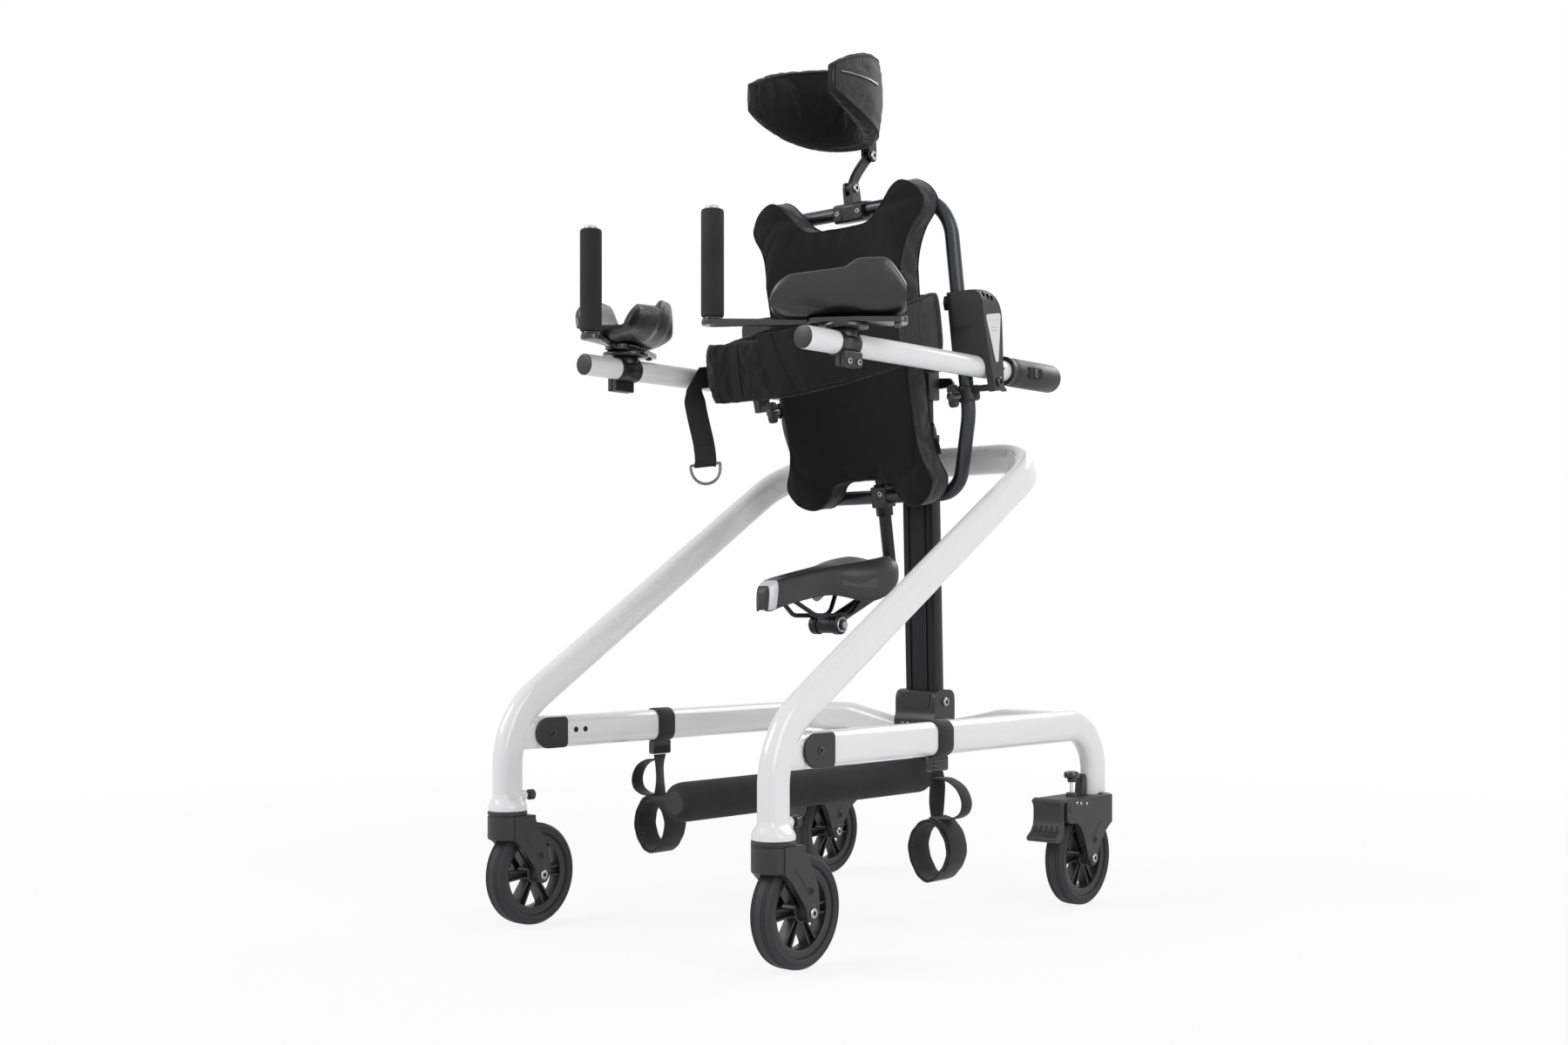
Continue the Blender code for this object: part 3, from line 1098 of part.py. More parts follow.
def add_saddle(finishes):
    pivot = Vector((0, SEAT_PIVOT_Y, SEAT_PIVOT_Z))
    holder = add_empty("saddle_pivot", Matrix.Translation(pivot))
    rings = []
    shares = [0.0, 0.03, 0.1, 0.22, 0.36, 0.5, 0.6, 0.7, 0.8, 0.9, 0.965, 1.0]
    for share in shares:
        y = SEAT_FRONT + (SEAT_BACK - SEAT_FRONT) * share - SEAT_PIVOT_Y
        top = seat_height(share)
        width = max(seat_half_width(share), 0.010)
        end = 0.6 if share in (0.0, 1.0) else 1.0
        depth, shell = seat_depth(share) * end, SEAT_SHELL * end
        groove = 0.007 * max(0.0, math.sin(math.pi * min(1.0, max(0.0, (share - 0.15) / 0.85))))
        section = [(0.0, -groove), (0.16, -groove * 0.4), (0.45, 0.001), (0.8, -0.08 * depth), (0.97, -0.3 * depth),
                   (1.0, -0.7 * depth), (0.95, -depth), (0.84, -0.97 * depth), (0.74, -shell - 0.3 * (depth - shell)),
                   (0.55, -shell), (0.0, -shell)]
        right = [(width * a, top + b) for a, b in section]
        pairs = right + [(-x, z) for x, z in reversed(right[1:-1])]
        rings.append([Vector((x, y, z)) for x, z in pairs])
    add_mesh("saddle", loft(rings), finishes["saddle"], holder)

    x = SEAT_RAIL_X
    bottom = SEAT_CHEEK_RADIUS + 0.001
    under = SEAT_SHELL + SEAT_RAIL_RADIUS + 0.002
    length = SEAT_BACK - SEAT_FRONT
    run = [(x * 0.36, SEAT_FRONT + 0.16 * length - SEAT_PIVOT_Y, seat_height(0.16) - under), (x, -0.055, bottom),
           (x, 0.030, bottom), (x * 1.5, SEAT_FRONT + 0.86 * length - SEAT_PIVOT_Y, seat_height(0.86) - under)]
    run = [Vector(p) for p in run]
    rail = sweep(bent(run, [0.03, 0.03], 2), circle(SEAT_RAIL_RADIUS, 6), (0, 0, 1))
    made = add_mesh("saddle_clamp", rail, finishes["steel"], holder)
    other = [Vector((-p.x, p.y, p.z)) for p in run]
    unite(made, sweep(bent(other, [0.03, 0.03], 2), circle(SEAT_RAIL_RADIUS, 6), (0, 0, 1)))
    for side in (-1, 1):
        low, high = sorted((side * (x - 0.0075), side * (x + 0.007)))
        unite(made, rod(SEAT_CHEEK_RADIUS + 0.002, low, high, "X", sides=12))
    unite(made, rod(0.004, -x - 0.014, x + 0.014, "X", sides=12))


def add_divider(finishes):
    radius = DIVIDER_RADIUS
    profile = [(0, DIVIDER_FRONT), (radius - 0.009, DIVIDER_FRONT), (radius - 0.003, DIVIDER_FRONT + 0.003),
               (radius, DIVIDER_FRONT + 0.010), (radius, DIVIDER_BACK - 0.006), (radius - 0.004, DIVIDER_BACK),
               (0, DIVIDER_BACK)]
    add_mesh("divider_bar", turn(profile, "Y", (0, 0, DIVIDER_Z)), finishes["foam"])


def band(outline, y, width, thickness):
    """A closed strap along an outline of (x, z), extruded along Y."""
    inner = anticlockwise(outline)
    outer = inset(inner, -thickness)
    half = width / 2
    rings = []
    for a, b in zip(inner, outer):
        rings.append([Vector((a[0], y - half, a[1])), Vector((b[0], y - half, b[1])),
                      Vector((b[0], y + half, b[1])), Vector((a[0], y + half, a[1]))])
    return loft(rings, closed=True)


def add_ankle_strap(side, finishes):
    """A webbing loop on the rail with its buckle, and the cuff that hangs from it."""
    sign = 1 if side == "left" else -1
    y = ANKLE_Y[side]
    x = sign * HALF_TRACK
    rail = [(x + a, RAIL_Z + b) for a, b in flat_oval(TUBE_LONG + 2 * GAP, TUBE_SHORT + 2 * GAP)]
    made = add_mesh(f"ankle_strap_{side}", band(rail, y, WEBBING_WIDTH, WEBBING), finishes["webbing"])
    under = RAIL_Z - TUBE_LONG / 2 - GAP
    buckle_low = under - 0.004 - BUCKLE_HEIGHT
    unite(made, block((x - 0.006, y - WEBBING_WIDTH / 2 - 0.002, buckle_low),
                      (x + 0.006, y + WEBBING_WIDTH / 2 + 0.002, under - 0.0005), 0.002))

    top = buckle_low - CUFF_PLAY
    pivot = Vector((x, y, top))
    holder = add_empty(f"cuff_pivot_{side}", Matrix.Translation(pivot))
    oval = []
    for k in range(20):
        angle = 2 * math.pi * k / 20
        oval.append(((CUFF_HALF_X - WEBBING) * math.cos(angle), CUFF_Z - top + (CUFF_HALF_Z - WEBBING) * math.sin(angle)))
    made = add_mesh(f"ankle_cuff_{side}", band(oval, 0, CUFF_WIDTH, WEBBING), finishes["webbing"], holder)
    cuff_top = CUFF_Z + CUFF_HALF_Z - top
    unite(made, block((-0.0025, -0.014, cuff_top - 0.0015), (0.0025, 0.014, 0.0)))
    middle = (cuff_top - CURL_DROP) / 2
    curl = []
    for reach, rise, order in ((CURL_REACH, -CURL_DROP - middle, 1), (CURL_REACH - WEBBING, -CURL_DROP - middle - WEBBING, -1)):
        row = []
        for k in range(13):
            angle = math.pi * (0.5 - k / 12)
            row.append((sign * (0.0012 + reach * max(0.0, math.cos(angle)) ** 0.8), middle + rise * math.sin(angle)))
        curl += row[::order]
    unite(made, prism(curl, "Y", -0.012, 0.012))


def make_finishes():
    return {
        "white": material("white_powder_coat", (0.86, 0.86, 0.87), 0.28),
        "fork": material("charcoal_nylon", (0.035, 0.035, 0.038), 0.48),
        "rim": material("rim_nylon", (0.030, 0.030, 0.033), 0.45),
        "tyre": material("tyre_rubber", (0.045, 0.045, 0.050), 0.75),
        "pedal": material("pedal_nylon", (0.025, 0.025, 0.027), 0.50),
        "knob": material("knob_plastic", (0.015, 0.015, 0.016), 0.40),
        "bracket": material("black_plastic", (0.020, 0.020, 0.022), 0.42),
        "column": material("black_anodised", (0.022, 0.022, 0.024), 0.32, 0.7),
        "trunk": material("gunmetal_tube", (0.060, 0.062, 0.066), 0.30, 0.8),
        "steel": material("black_steel", (0.030, 0.030, 0.032), 0.35, 0.8),
        "chrome": material("chrome", (0.80, 0.80, 0.82), 0.12, 1.0),
        "arm": material("white_tube", (0.86, 0.86, 0.87), 0.25),
        "pad": material("pad_fabric", (0.018, 0.018, 0.020), 0.90),
        "belt": material("belt_fabric", (0.025, 0.025, 0.028), 0.88),
        "webbing": material("webbing", (0.020, 0.020, 0.021), 0.80),
        "foam": material("foam_rubber", (0.020, 0.020, 0.021), 0.85),
        "trough": material("trough_skin", (0.028, 0.028, 0.030), 0.38),
        "saddle": material("saddle_skin", (0.025, 0.025, 0.027), 0.42),
    }


def main():
    clear_scene()
    finishes = make_finishes()
    add_hoop(finishes["white"])
    for side in ("left", "right"):
        add_rail(side, finishes["white"])
        add_joint_cover(side, finishes["bracket"])
        add_front_caster(side, finishes)
        add_rear_caster(side, finishes)
        add_ankle_strap(side, finishes)
    add_cross_tube(finishes["white"])
    add_column_bracket(finishes["bracket"])
    add_divider(finishes)

    upright = Matrix.Translation((0, CROSS_Y, PIVOT_Z)) @ Matrix.Rotation(COLUMN_LEAN, 4, "X")
    column_holder = add_empty("column_pivot", upright)
    add_column(column_holder, finishes["column"])

    trunk = add_empty("trunk_plane", TRUNK_FRAME)
    add_trunk_frame(trunk, finishes["trunk"])
    add_mast(trunk, upright, finishes["column"])
    add_back_pad(trunk, finishes["pad"])
    add_belt(trunk, finishes["belt"])
    add_strap_and_ring(trunk, finishes)
    add_head_support(trunk, finishes)
    add_head_pad(finishes["pad"])
    add_saddle_post(trunk, finishes["steel"])
    add_saddle(finishes)
    for side in ("left", "right"):
        add_arm_housing(side, trunk, finishes["bracket"])
        add_wing_knob(side, trunk, finishes["knob"])
        add_arm_tube(side, finishes)
        add_forearm(side, finishes)


main()
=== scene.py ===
import math
from functools import partial
import bmesh
import bpy
from mathutils import Matrix, Vector, kdtree, noise


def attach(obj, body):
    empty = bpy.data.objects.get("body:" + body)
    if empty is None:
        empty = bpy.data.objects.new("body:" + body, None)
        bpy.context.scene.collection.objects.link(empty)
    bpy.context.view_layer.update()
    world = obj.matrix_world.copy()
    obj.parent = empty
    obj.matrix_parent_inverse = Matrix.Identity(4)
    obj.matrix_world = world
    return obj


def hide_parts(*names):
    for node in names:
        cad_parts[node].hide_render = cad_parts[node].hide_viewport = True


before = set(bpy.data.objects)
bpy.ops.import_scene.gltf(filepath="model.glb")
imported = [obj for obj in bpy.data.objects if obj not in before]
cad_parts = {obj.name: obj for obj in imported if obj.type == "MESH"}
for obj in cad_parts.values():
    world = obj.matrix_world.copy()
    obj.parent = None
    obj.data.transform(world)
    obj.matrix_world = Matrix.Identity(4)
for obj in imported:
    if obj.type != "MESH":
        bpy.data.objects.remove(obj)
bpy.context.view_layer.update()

SIGN = {"left": 1, "right": -1}
BOTH = (("right", -1), ("left", 1))
HALF_TRACK = 0.256
FRONT_LEG_Y = -0.383
REAR_LEG_Y = 0.385
FORK_TOP = 0.170
WHEEL_R = 0.075
RAIL_Z = 0.280
CROSS_Y = 0.286
TRUNK_LEAN = math.radians(9.5)
TRUNK = Matrix.Translation((0, 0.174, 0.640)) @ Matrix.Rotation(TRUNK_LEAN, 4, "X")
UPRIGHT = Matrix.Translation((0, CROSS_Y, 0.311)) @ Matrix.Rotation(math.radians(1.7), 4, "X")
LOOP_X = 0.180
LOOP_TOP = 0.447
ARM_X = 0.212
ARM_Z = 0.824
FOREARM_Y = -0.188
BAR_TOP = 0.858
REACH = {"left": 0.179, "right": 0.140}
YAW = {"left": math.radians(-52.8), "right": math.radians(25.0)}
SADDLE_PIVOT = Vector((0, 0.036, 0.438))
HEAD_JOINT = Vector((0, 0.093, 1.115))
HEAD_ELBOW = Vector((0, 0.138, 1.174))


# Materials


def new_material(name, colour, roughness, metallic=0.0, coat=0.0, sheen=0.0, specular=0.5):
    made = bpy.data.materials.new(name)
    made.use_nodes = True
    shader = made.node_tree.nodes["Principled BSDF"]
    values = {"Base Color": (*colour, 1), "Roughness": roughness, "Metallic": metallic, "Coat Weight": coat,
              "Sheen Weight": sheen, "Sheen Roughness": 0.4, "Specular IOR Level": specular}
    for key, value in values.items():
        shader.inputs[key].default_value = value
    return made, shader, made.node_tree


def add(tree, kind, **values):
    node = tree.nodes.new(kind)
    for key, value in values.items():
        if key in node.inputs:
            node.inputs[key].default_value = value
        else:
            setattr(node, key, value)
    return node


def coordinates(tree, scale=(1, 1, 1)):
    source = add(tree, "ShaderNodeTexCoord")
    mapping = add(tree, "ShaderNodeMapping", Scale=scale)
    tree.links.new(source.outputs["Object"], mapping.inputs["Vector"])
    return mapping.outputs["Vector"]


def math_node(tree, operation, *values):
    node = add(tree, "ShaderNodeMath", operation=operation)
    for socket, value in zip(node.inputs, values):
        if isinstance(value, (int, float)):
            socket.default_value = value
        else:
            tree.links.new(value, socket)
    return node.outputs[0]


def remap(tree, value, low, high, to_low, to_high):
    node = add(tree, "ShaderNodeMapRange")
    tree.links.new(value, node.inputs["Value"])
    for key, number in (("From Min", low), ("From Max", high), ("To Min", to_low), ("To Max", to_high)):
        node.inputs[key].default_value = number
    return node.outputs["Result"]


def mix_colour(tree, factor, first, second):
    node = add(tree, "ShaderNodeMix", data_type="RGBA")
    tree.links.new(factor, node.inputs[0])
    node.inputs[6].default_value = (*first, 1)
    node.inputs[7].default_value = (*second, 1)
    return node.outputs[2]


def times(colour, factor):
    return tuple(c * factor for c in colour)


def bump(tree, shader, height, distance):
    node = add(tree, "ShaderNodeBump", Strength=1.0, Distance=distance)
    tree.links.new(height, node.inputs["Height"])
    earlier = shader.inputs["Normal"].links
    if earlier:
        tree.links.new(earlier[0].from_socket, node.inputs["Normal"])
    tree.links.new(node.outputs["Normal"], shader.inputs["Normal"])


def noise_of(tree, scale, detail, stretch=(1, 1, 1)):
    node = add(tree, "ShaderNodeTexNoise", Scale=scale, Detail=detail)
    tree.links.new(coordinates(tree, stretch), node.inputs["Vector"])
    return node.outputs["Fac"]


def cells_of(tree, size, **values):
    node = add(tree, "ShaderNodeTexVoronoi", Scale=1 / size, **values)
    tree.links.new(coordinates(tree), node.inputs["Vector"])
    return node.outputs["Distance"]


def grained(name, colour, roughness, scale, depth, metallic=0.0, coat=0.0, spread=0.08, shade=0.15,
            stretch=(1, 1, 1)):
    """Paint, plastic, rubber or metal: a fine grain, uneven gloss and a little variation of colour."""
    made, shader, tree = new_material(name, colour, roughness, metallic, coat)
    fine = noise_of(tree, scale, 2.0, stretch)
    broad = noise_of(tree, 14.0, 4.0, stretch)
    uneven = remap(tree, broad, 0.3, 0.7, roughness - spread, roughness + spread)
    tree.links.new(uneven, shader.inputs["Roughness"])
    tone = mix_colour(tree, remap(tree, broad, 0.25, 0.75, 0.0, 1.0), times(colour, 1 - shade), colour)
    tree.links.new(tone, shader.inputs["Base Color"])
    bump(tree, shader, fine, depth)
    return made


def leather(name, colour, roughness, cell, depth, coat=0.15):
    """Skin made in a mould: small cells with creases between them, the creases darkened as painted shade."""
    made, shader, tree = new_material(name, colour, roughness, 0.0, coat)
    crease = remap(tree, cells_of(tree, cell, feature="DISTANCE_TO_EDGE"), 0.0, 0.25, 0.0, 1.0)
    uneven = remap(tree, noise_of(tree, 22.0, 4.0), 0.3, 0.7, roughness - 0.07, roughness + 0.09)
    tree.links.new(uneven, shader.inputs["Roughness"])
    # painted shade: the colour darkens to 0.7 of itself in the creases between the cells
    tree.links.new(mix_colour(tree, crease, times(colour, 0.7), colour), shader.inputs["Base Color"])
    bump(tree, shader, crease, depth)
    return made


def woven(name, colour, pitch, depth, roughness=0.9, rib=1.0, sheen=0.25):
    """Woven or knitted cloth: two crossing sets of threads with painted highlights on their crowns, fuzz and
    slow random changes in the strength of that highlight.
    """
    made, shader, tree = new_material(name, colour, roughness, 0.0, 0.0, sheen, 0.3)
    split = add(tree, "ShaderNodeSeparateXYZ")
    tree.links.new(coordinates(tree, (1 / pitch,) * 3), split.inputs["Vector"])
    flat = math_node(tree, "ADD", split.outputs["X"], math_node(tree, "MULTIPLY", split.outputs["Y"], 0.83))
    warp = math_node(tree, "SINE", math_node(tree, "MULTIPLY", flat, 2 * math.pi))
    weft = math_node(tree, "SINE", math_node(tree, "MULTIPLY", split.outputs["Z"], 2 * math.pi * rib))
    height = remap(tree, math_node(tree, "MULTIPLY", warp, weft), -1.0, 1.0, 0.0, 1.0)
    broad = noise_of(tree, 9.0, 5.0)
    fuzz = noise_of(tree, 1400.0, 1.0)
    # painted highlight: the crowns of the threads are coloured up to 1.6 times lighter, more in some slow
    # random patches than in others
    tone = math_node(tree, "MULTIPLY", height, remap(tree, broad, 0.3, 0.7, 0.3, 0.9))
    tree.links.new(mix_colour(tree, tone, colour, times(colour, 1.6)), shader.inputs["Base Color"])
    bump(tree, shader, height, depth)
    bump(tree, shader, fuzz, depth * 0.4)
    return made


def mesh_cloth(name, colour, pitch, depth):
    """Spacer mesh: rows of small round openings, coloured dark as painted shade."""
    made, shader, tree = new_material(name, colour, 0.85, 0.0, 0.0, 0.3, 0.3)
    hole = remap(tree, cells_of(tree, pitch, feature="F1", Randomness=0.12), 0.2, 0.42, 0.0, 1.0)
    # painted shade: the openings are coloured at a quarter of the cloth colour, the threads round them at 2.2
    # times
    tone = mix_colour(tree, hole, times(colour, 0.25), times(colour, 2.2))
    tree.links.new(tone, shader.inputs["Base Color"])
    bump(tree, shader, hole, depth)
    return made


M = {
    "white": grained("white_coat", (0.80, 0.80, 0.81), 0.22, 620.0, 0.00004, 0.0, 0.4, 0.05, 0.02),
    "charcoal": grained("charcoal_plastic", (0.020, 0.020, 0.022), 0.46, 900.0, 0.00009, spread=0.08),
    "rim": grained("rim_plastic", (0.016, 0.016, 0.017), 0.42, 900.0, 0.00006),
    "tyre": grained("tyre_rubber", (0.028, 0.028, 0.031), 0.72, 500.0, 0.00012, shade=0.3),
    "plastic": grained("black_plastic", (0.013, 0.013, 0.014), 0.38, 1100.0, 0.00006),
    # black plastic coloured darker than the plain black plastic: painted shade on the clamp foot, clamp neck,
    # wing knob and arm sleeve
    "moulded": grained("painted_shade_black_plastic", (0.0070, 0.0070, 0.0076), 0.48, 900.0, 0.00005),
    "gloss": grained("gloss_plastic", (0.010, 0.010, 0.011), 0.22, 500.0, 0.00003, coat=0.3, spread=0.05),
    "column": grained("anodised", (0.016, 0.016, 0.018), 0.34, 260.0, 0.00002, 0.6, stretch=(1, 1, 0.02)),
    "gunmetal": grained("gunmetal", (0.055, 0.056, 0.060), 0.33, 700.0, 0.00003, 0.75),
    "steel": grained("black_steel", (0.030, 0.030, 0.032), 0.36, 600.0, 0.00003, 0.8),
    "chrome": grained("chrome", (0.72, 0.72, 0.74), 0.14, 300.0, 0.00001, 1.0, spread=0.05, shade=0.05),
    "nickel": grained("nickel", (0.20, 0.20, 0.21), 0.32, 300.0, 0.00001, 1.0, spread=0.05, shade=0.15),
    "bolt": grained("bolt_steel", (0.42, 0.42, 0.43), 0.30, 500.0, 0.00002, 1.0),
    "satin": grained("satin_tube", (0.56, 0.56, 0.57), 0.34, 400.0, 0.00002, 0.35, spread=0.06, shade=0.06),
    "foam": grained("foam_grip", (0.014, 0.014, 0.015), 0.86, 1500.0, 0.00022, shade=0.35),
    "trough": leather("trough_skin", (0.0085, 0.0085, 0.0092), 0.34, 0.0012, 0.00005, 0.3),
    "saddle": leather("saddle_skin", (0.016, 0.016, 0.017), 0.44, 0.0010, 0.00005),
    "pad": woven("pad_cloth", (0.0045, 0.0045, 0.0050), 0.0011, 0.00012, 0.95, sheen=0.15),
    "gusset": mesh_cloth("pad_mesh", (0.014, 0.014, 0.015), 0.0026, 0.0003),
    "belt": woven("belt_cloth", (0.0108, 0.0108, 0.0116), 0.0012, 0.00012, 0.92),
    "webbing": woven("webbing", (0.0125, 0.0125, 0.0137), 0.0022, 0.00025, 0.75, rib=0.7),
    "piping": woven("edge_tape", (0.006, 0.006, 0.007), 0.0016, 0.0002, 0.85),
    "panel": grained("white_panel", (0.70, 0.70, 0.71), 0.30, 500.0, 0.00002, spread=0.04, shade=0.02),
    "mark": grained("grey_mark", (0.14, 0.14, 0.15), 0.45, 500.0, 0.00001),
    "bar": grained("bar_coat", (0.030, 0.030, 0.032), 0.20, 500.0, 0.00002, 0.3, coat=0.5, spread=0.05),
    # near black, painted shade at the floors of holes, sockets, slots, splits and windows; the rail screws
    # are drawn in it too
    "dark": grained("dark_hole", (0.003, 0.003, 0.003), 0.8, 400.0, 0.00001),
    "patch": grained("silver_patch", (0.62, 0.62, 0.63), 0.35, 700.0, 0.00003, 0.2),
    "headcloth": woven("head_cloth", (0.0085, 0.0085, 0.0092), 0.0010, 0.0001, 0.92),
    "sidemesh": mesh_cloth("head_mesh", (0.022, 0.022, 0.023), 0.0024, 0.00025),
    "bandcloth": woven("band_cloth", (0.0055, 0.0055, 0.0060), 0.0019, 0.0002, 0.85, rib=0.7),
    "thread": grained("sewing_thread", (0.020, 0.020, 0.021), 0.7, 900.0, 0.00003),
    "zip": grained("zip_teeth", (0.24, 0.24, 0.25), 0.35, 900.0, 0.00003, 0.6),
}


# Pieces


def moved(shape, place):
    points, faces = shape
    return [place @ p for p in points], faces


def mesh_of(name, shape, place, weld):
    points, faces = moved(shape, place) if place is not None else shape
    mesh = bpy.data.meshes.new(name)
    mesh.from_pydata([tuple(p) for p in points], [], faces)
    work = bmesh.new()
    work.from_mesh(mesh)
    if weld:
        bmesh.ops.remove_doubles(work, verts=work.verts, dist=1e-6)
    bmesh.ops.recalc_face_normals(work, faces=work.faces)
    work.to_mesh(mesh)
    work.free()
    return mesh


def smoothed(mesh, angle):
    mesh.shade_smooth()
    mesh.set_sharp_from_angle(angle=math.radians(angle))


def soften(obj, width, segments, angle):
    step = obj.modifiers.new("edges", "BEVEL")
    step.width = width
    step.segments = segments
    step.limit_method = "ANGLE"
    step.angle_limit = math.radians(angle)
    step.harden_normals = True


def carve(obj, shape, place):
    """Cuts a shape out of obj for good."""
    tool = bpy.data.objects.new("cut", mesh_of("cut", shape, place, False))
    bpy.context.scene.collection.objects.link(tool)
    step = obj.modifiers.new("cut", "BOOLEAN")
    step.operation = "DIFFERENCE"
    step.solver = "EXACT"
    step.object = tool
    bpy.context.view_layer.update()
    done = bpy.data.meshes.new_from_object(obj.evaluated_get(bpy.context.evaluated_depsgraph_get()))
    obj.modifiers.clear()
    old = obj.data
    obj.data = done
    bpy.data.meshes.remove(old)
    bpy.data.objects.remove(tool, do_unlink=True)
    smoothed(done, 38)


def piece(name, shape, finish, body, place=None, smooth=38, cuts=(), edge=0, steps=3, bend=32, node=None):
    """A visible piece that rides a body. It is cut, gets bevels of width edge and replaces the solid node."""
    mesh = mesh_of(name, shape, place, True)
    smoothed(mesh, smooth)
    mesh.materials.append(M[finish])
    made = bpy.data.objects.new(name, mesh)
    bpy.context.scene.collection.objects.link(made)
    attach(made, body)
    for cut in cuts:
        carve(made, cut, place)
    if edge:
        soften(made, edge, steps, bend)
    if node:
        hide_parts(node)
    return made


on_base = partial(piece, body="base")
on_trunk = partial(piece, body="trunk", place=TRUNK)


# Outlines, paths and shapes


def ease(share):
    return share * share * (3 - 2 * share)


def way(sign):
    return "+X" if sign > 0 else "-X"


def loft(rings, closed=False):
    count = len(rings[0])
    points = [Vector(p) for ring in rings for p in ring]
    faces = []
    for row in range(len(rings) if closed else len(rings) - 1):
        low, high = row * count, (row + 1) % len(rings) * count
        for i in range(count):
            j = (i + 1) % count
            faces.append([low + i, low + j, high + j, high + i])
    if not closed:
        faces.append(list(range(count)))
        faces.append(list(range(len(points) - count, len(points))))
    return points, faces


def join(shapes):
    points, faces = [], []
    for new_points, new_faces in shapes:
        start = len(points)
        points += new_points
        faces += [[i + start for i in face] for face in new_faces]
    return points, faces


def prism(outline, axis, low, high):
    order = {"X": (2, 0, 1), "Y": (0, 2, 1), "Z": (0, 1, 2)}[axis]
    rings = []
    for level in sorted((low, high)):
        rings.append([Vector([(a, b, level)[i] for i in order]) for a, b in outline])
    return loft(rings)


def block(low, high):
    corners = [(low[0], low[1]), (high[0], low[1]), (high[0], high[1]), (low[0], high[1])]
    return prism(corners, "Z", low[2], high[2])


def turned(profile, axis="Z", centre=(0, 0, 0), sides=48, closed=False):
    """Turns (radius, height) pairs about an axis, open at the ends unless they reach the axis."""
    order = {"X": (2, 0, 1), "Y": (1, 2, 0), "Z": (0, 1, 2)}[axis]
    count, points = len(profile), []
    for side in range(sides):
        angle = 2 * math.pi * side / sides
        for radius, height in profile:
            values = (radius * math.cos(angle), radius * math.sin(angle), height)
            points.append(Vector([values[i] for i in order]) + Vector(centre))
    faces = []
    for row in range(sides):
        low, high = row * count, (row + 1) % sides * count
        for i in range(count if closed else count - 1):
            j = (i + 1) % count
            faces.append([low + i, high + i, high + j, low + j])
    return points, faces


def rod(radius, low, high, axis="Z", centre=(0, 0, 0), sides=32, edge=0.0006):
    rim = radius - edge
    profile = [(0, low), (rim, low), (radius, low + edge), (radius, high - edge), (rim, high), (0, high)]
    return turned(profile, axis, centre, sides)


def mirrored(half):
    """A profile with its other half, which runs back at the opposite heights."""
    return half + toward(half[::-1], -1)


def toward(profile, sign):
    return [(radius, sign * height) for radius, height in profile]


def flat_oval(long, short, sides=36):
    pairs = []
    for i in range(sides):
        angle = 2 * math.pi * (i + 0.5) / sides
        side = math.copysign((long - short) / 2, math.sin(angle))
        pairs.append((short / 2 * math.cos(angle), side + short / 2 * math.sin(angle)))
    return pairs


def circle(radius, sides=24):
    return flat_oval(2 * radius, 2 * radius, sides)


def rounded(outline, radius, steps=6):
    """Rounds the corners of a closed outline. radius is one number, or one for each corner."""
    count = len(outline)
    radii = radius if isinstance(radius, list) else [radius] * count
    path = []
    for i in range(count):
        here = Vector(outline[i])
        before, after = Vector(outline[i - 1]) - here, Vector(outline[(i + 1) % count]) - here
        reach = min(radii[i], before.length * 0.49, after.length * 0.49)
        a, b = here + before.normalized() * reach, here + after.normalized() * reach
        for k in range(steps + 1):
            t = k / steps
            path.append(tuple(a * (1 - t) ** 2 + here * (2 * t * (1 - t)) + b * t * t))
    return path


def card(a, b, c, d, radius):
    """A rectangle from (a, b) to (c, d) with rounded corners."""
    return rounded([(a, b), (c, b), (c, d), (a, d)], radius)


def arc(a, b, radius, start, end, steps):
    """Points round the centre (a, b) from one angle in degrees to another."""
    angles = [math.radians(start + (end - start) * k / steps) for k in range(steps + 1)]
    return [(a + radius * math.cos(t), b + radius * math.sin(t)) for t in angles]


def bent(corners, radii, steps=14):
    """A path through corners with an arc of the given radius at each inner one."""
    corners = [Vector(c) for c in corners]
    path = [corners[0]]
    for i, radius in enumerate(radii, start=1):
        before = (corners[i - 1] - corners[i]).normalized()
        after = (corners[i + 1] - corners[i]).normalized()
        half = before.angle(after) / 2
        reach = radius / math.tan(half)
        centre = corners[i] + (before + after).normalized() * (radius / math.sin(half))
        start = corners[i] + before * reach - centre
        end = corners[i] + after * reach - centre
        whole = start.angle(end)
        for k in range(steps + 1):
            share = k / steps
            arc = start * math.sin((1 - share) * whole) + end * math.sin(share * whole)
            path.append(centre + arc / math.sin(whole))
    path.append(corners[-1])
    return path


def spline(points, steps, closed=False):
    """Points on a smooth curve through the given ones, which may be pairs."""
    points = [Vector(p).to_3d() for p in points]
    count = len(points)
    path = []
    for i in range(count if closed else count - 1):
        if closed:
            a, b, c, d = (points[(i + k) % count] for k in (-1, 0, 1, 2))
        else:
            b, c = points[i], points[i + 1]
            a = points[i - 1] if i else b * 2 - c
            d = points[i + 2] if i + 2 < count else c * 2 - b
        for k in range(steps):
            t = k / steps
            path.append(0.5 * (2 * b + (c - a) * t + (2 * a - 5 * b + 4 * c - d) * t * t
                               + (3 * b - a - 3 * c + d) * t ** 3))
    if not closed:
        path.append(points[-1])
    return path


def flat(path):
    return [(p.x, p.y) for p in path]


def sweep(path, outlines, across, closed=False):
    """Carries one outline, or one for each point, along a path."""
    count = len(path)
    if not isinstance(outlines[0], list):
        outlines = [outlines] * count
    tangents = []
    for i in range(count):
        before = path[i] - path[i - 1] if i or closed else path[1] - path[0]
        after = path[(i + 1) % count] - path[i] if i < count - 1 or closed else path[-1] - path[-2]
        tangents.append((before.normalized() + after.normalized()).normalized())
    first = Vector(across)
    rings = []
    for i in range(count):
        if i:
            first = tangents[i - 1].rotation_difference(tangents[i]) @ first
        first = (first - tangents[i] * first.dot(tangents[i])).normalized()
        second = tangents[i].cross(first)
        rings.append([path[i] + first * a + second * b for a, b in outlines[i]])
    return loft(rings, closed)


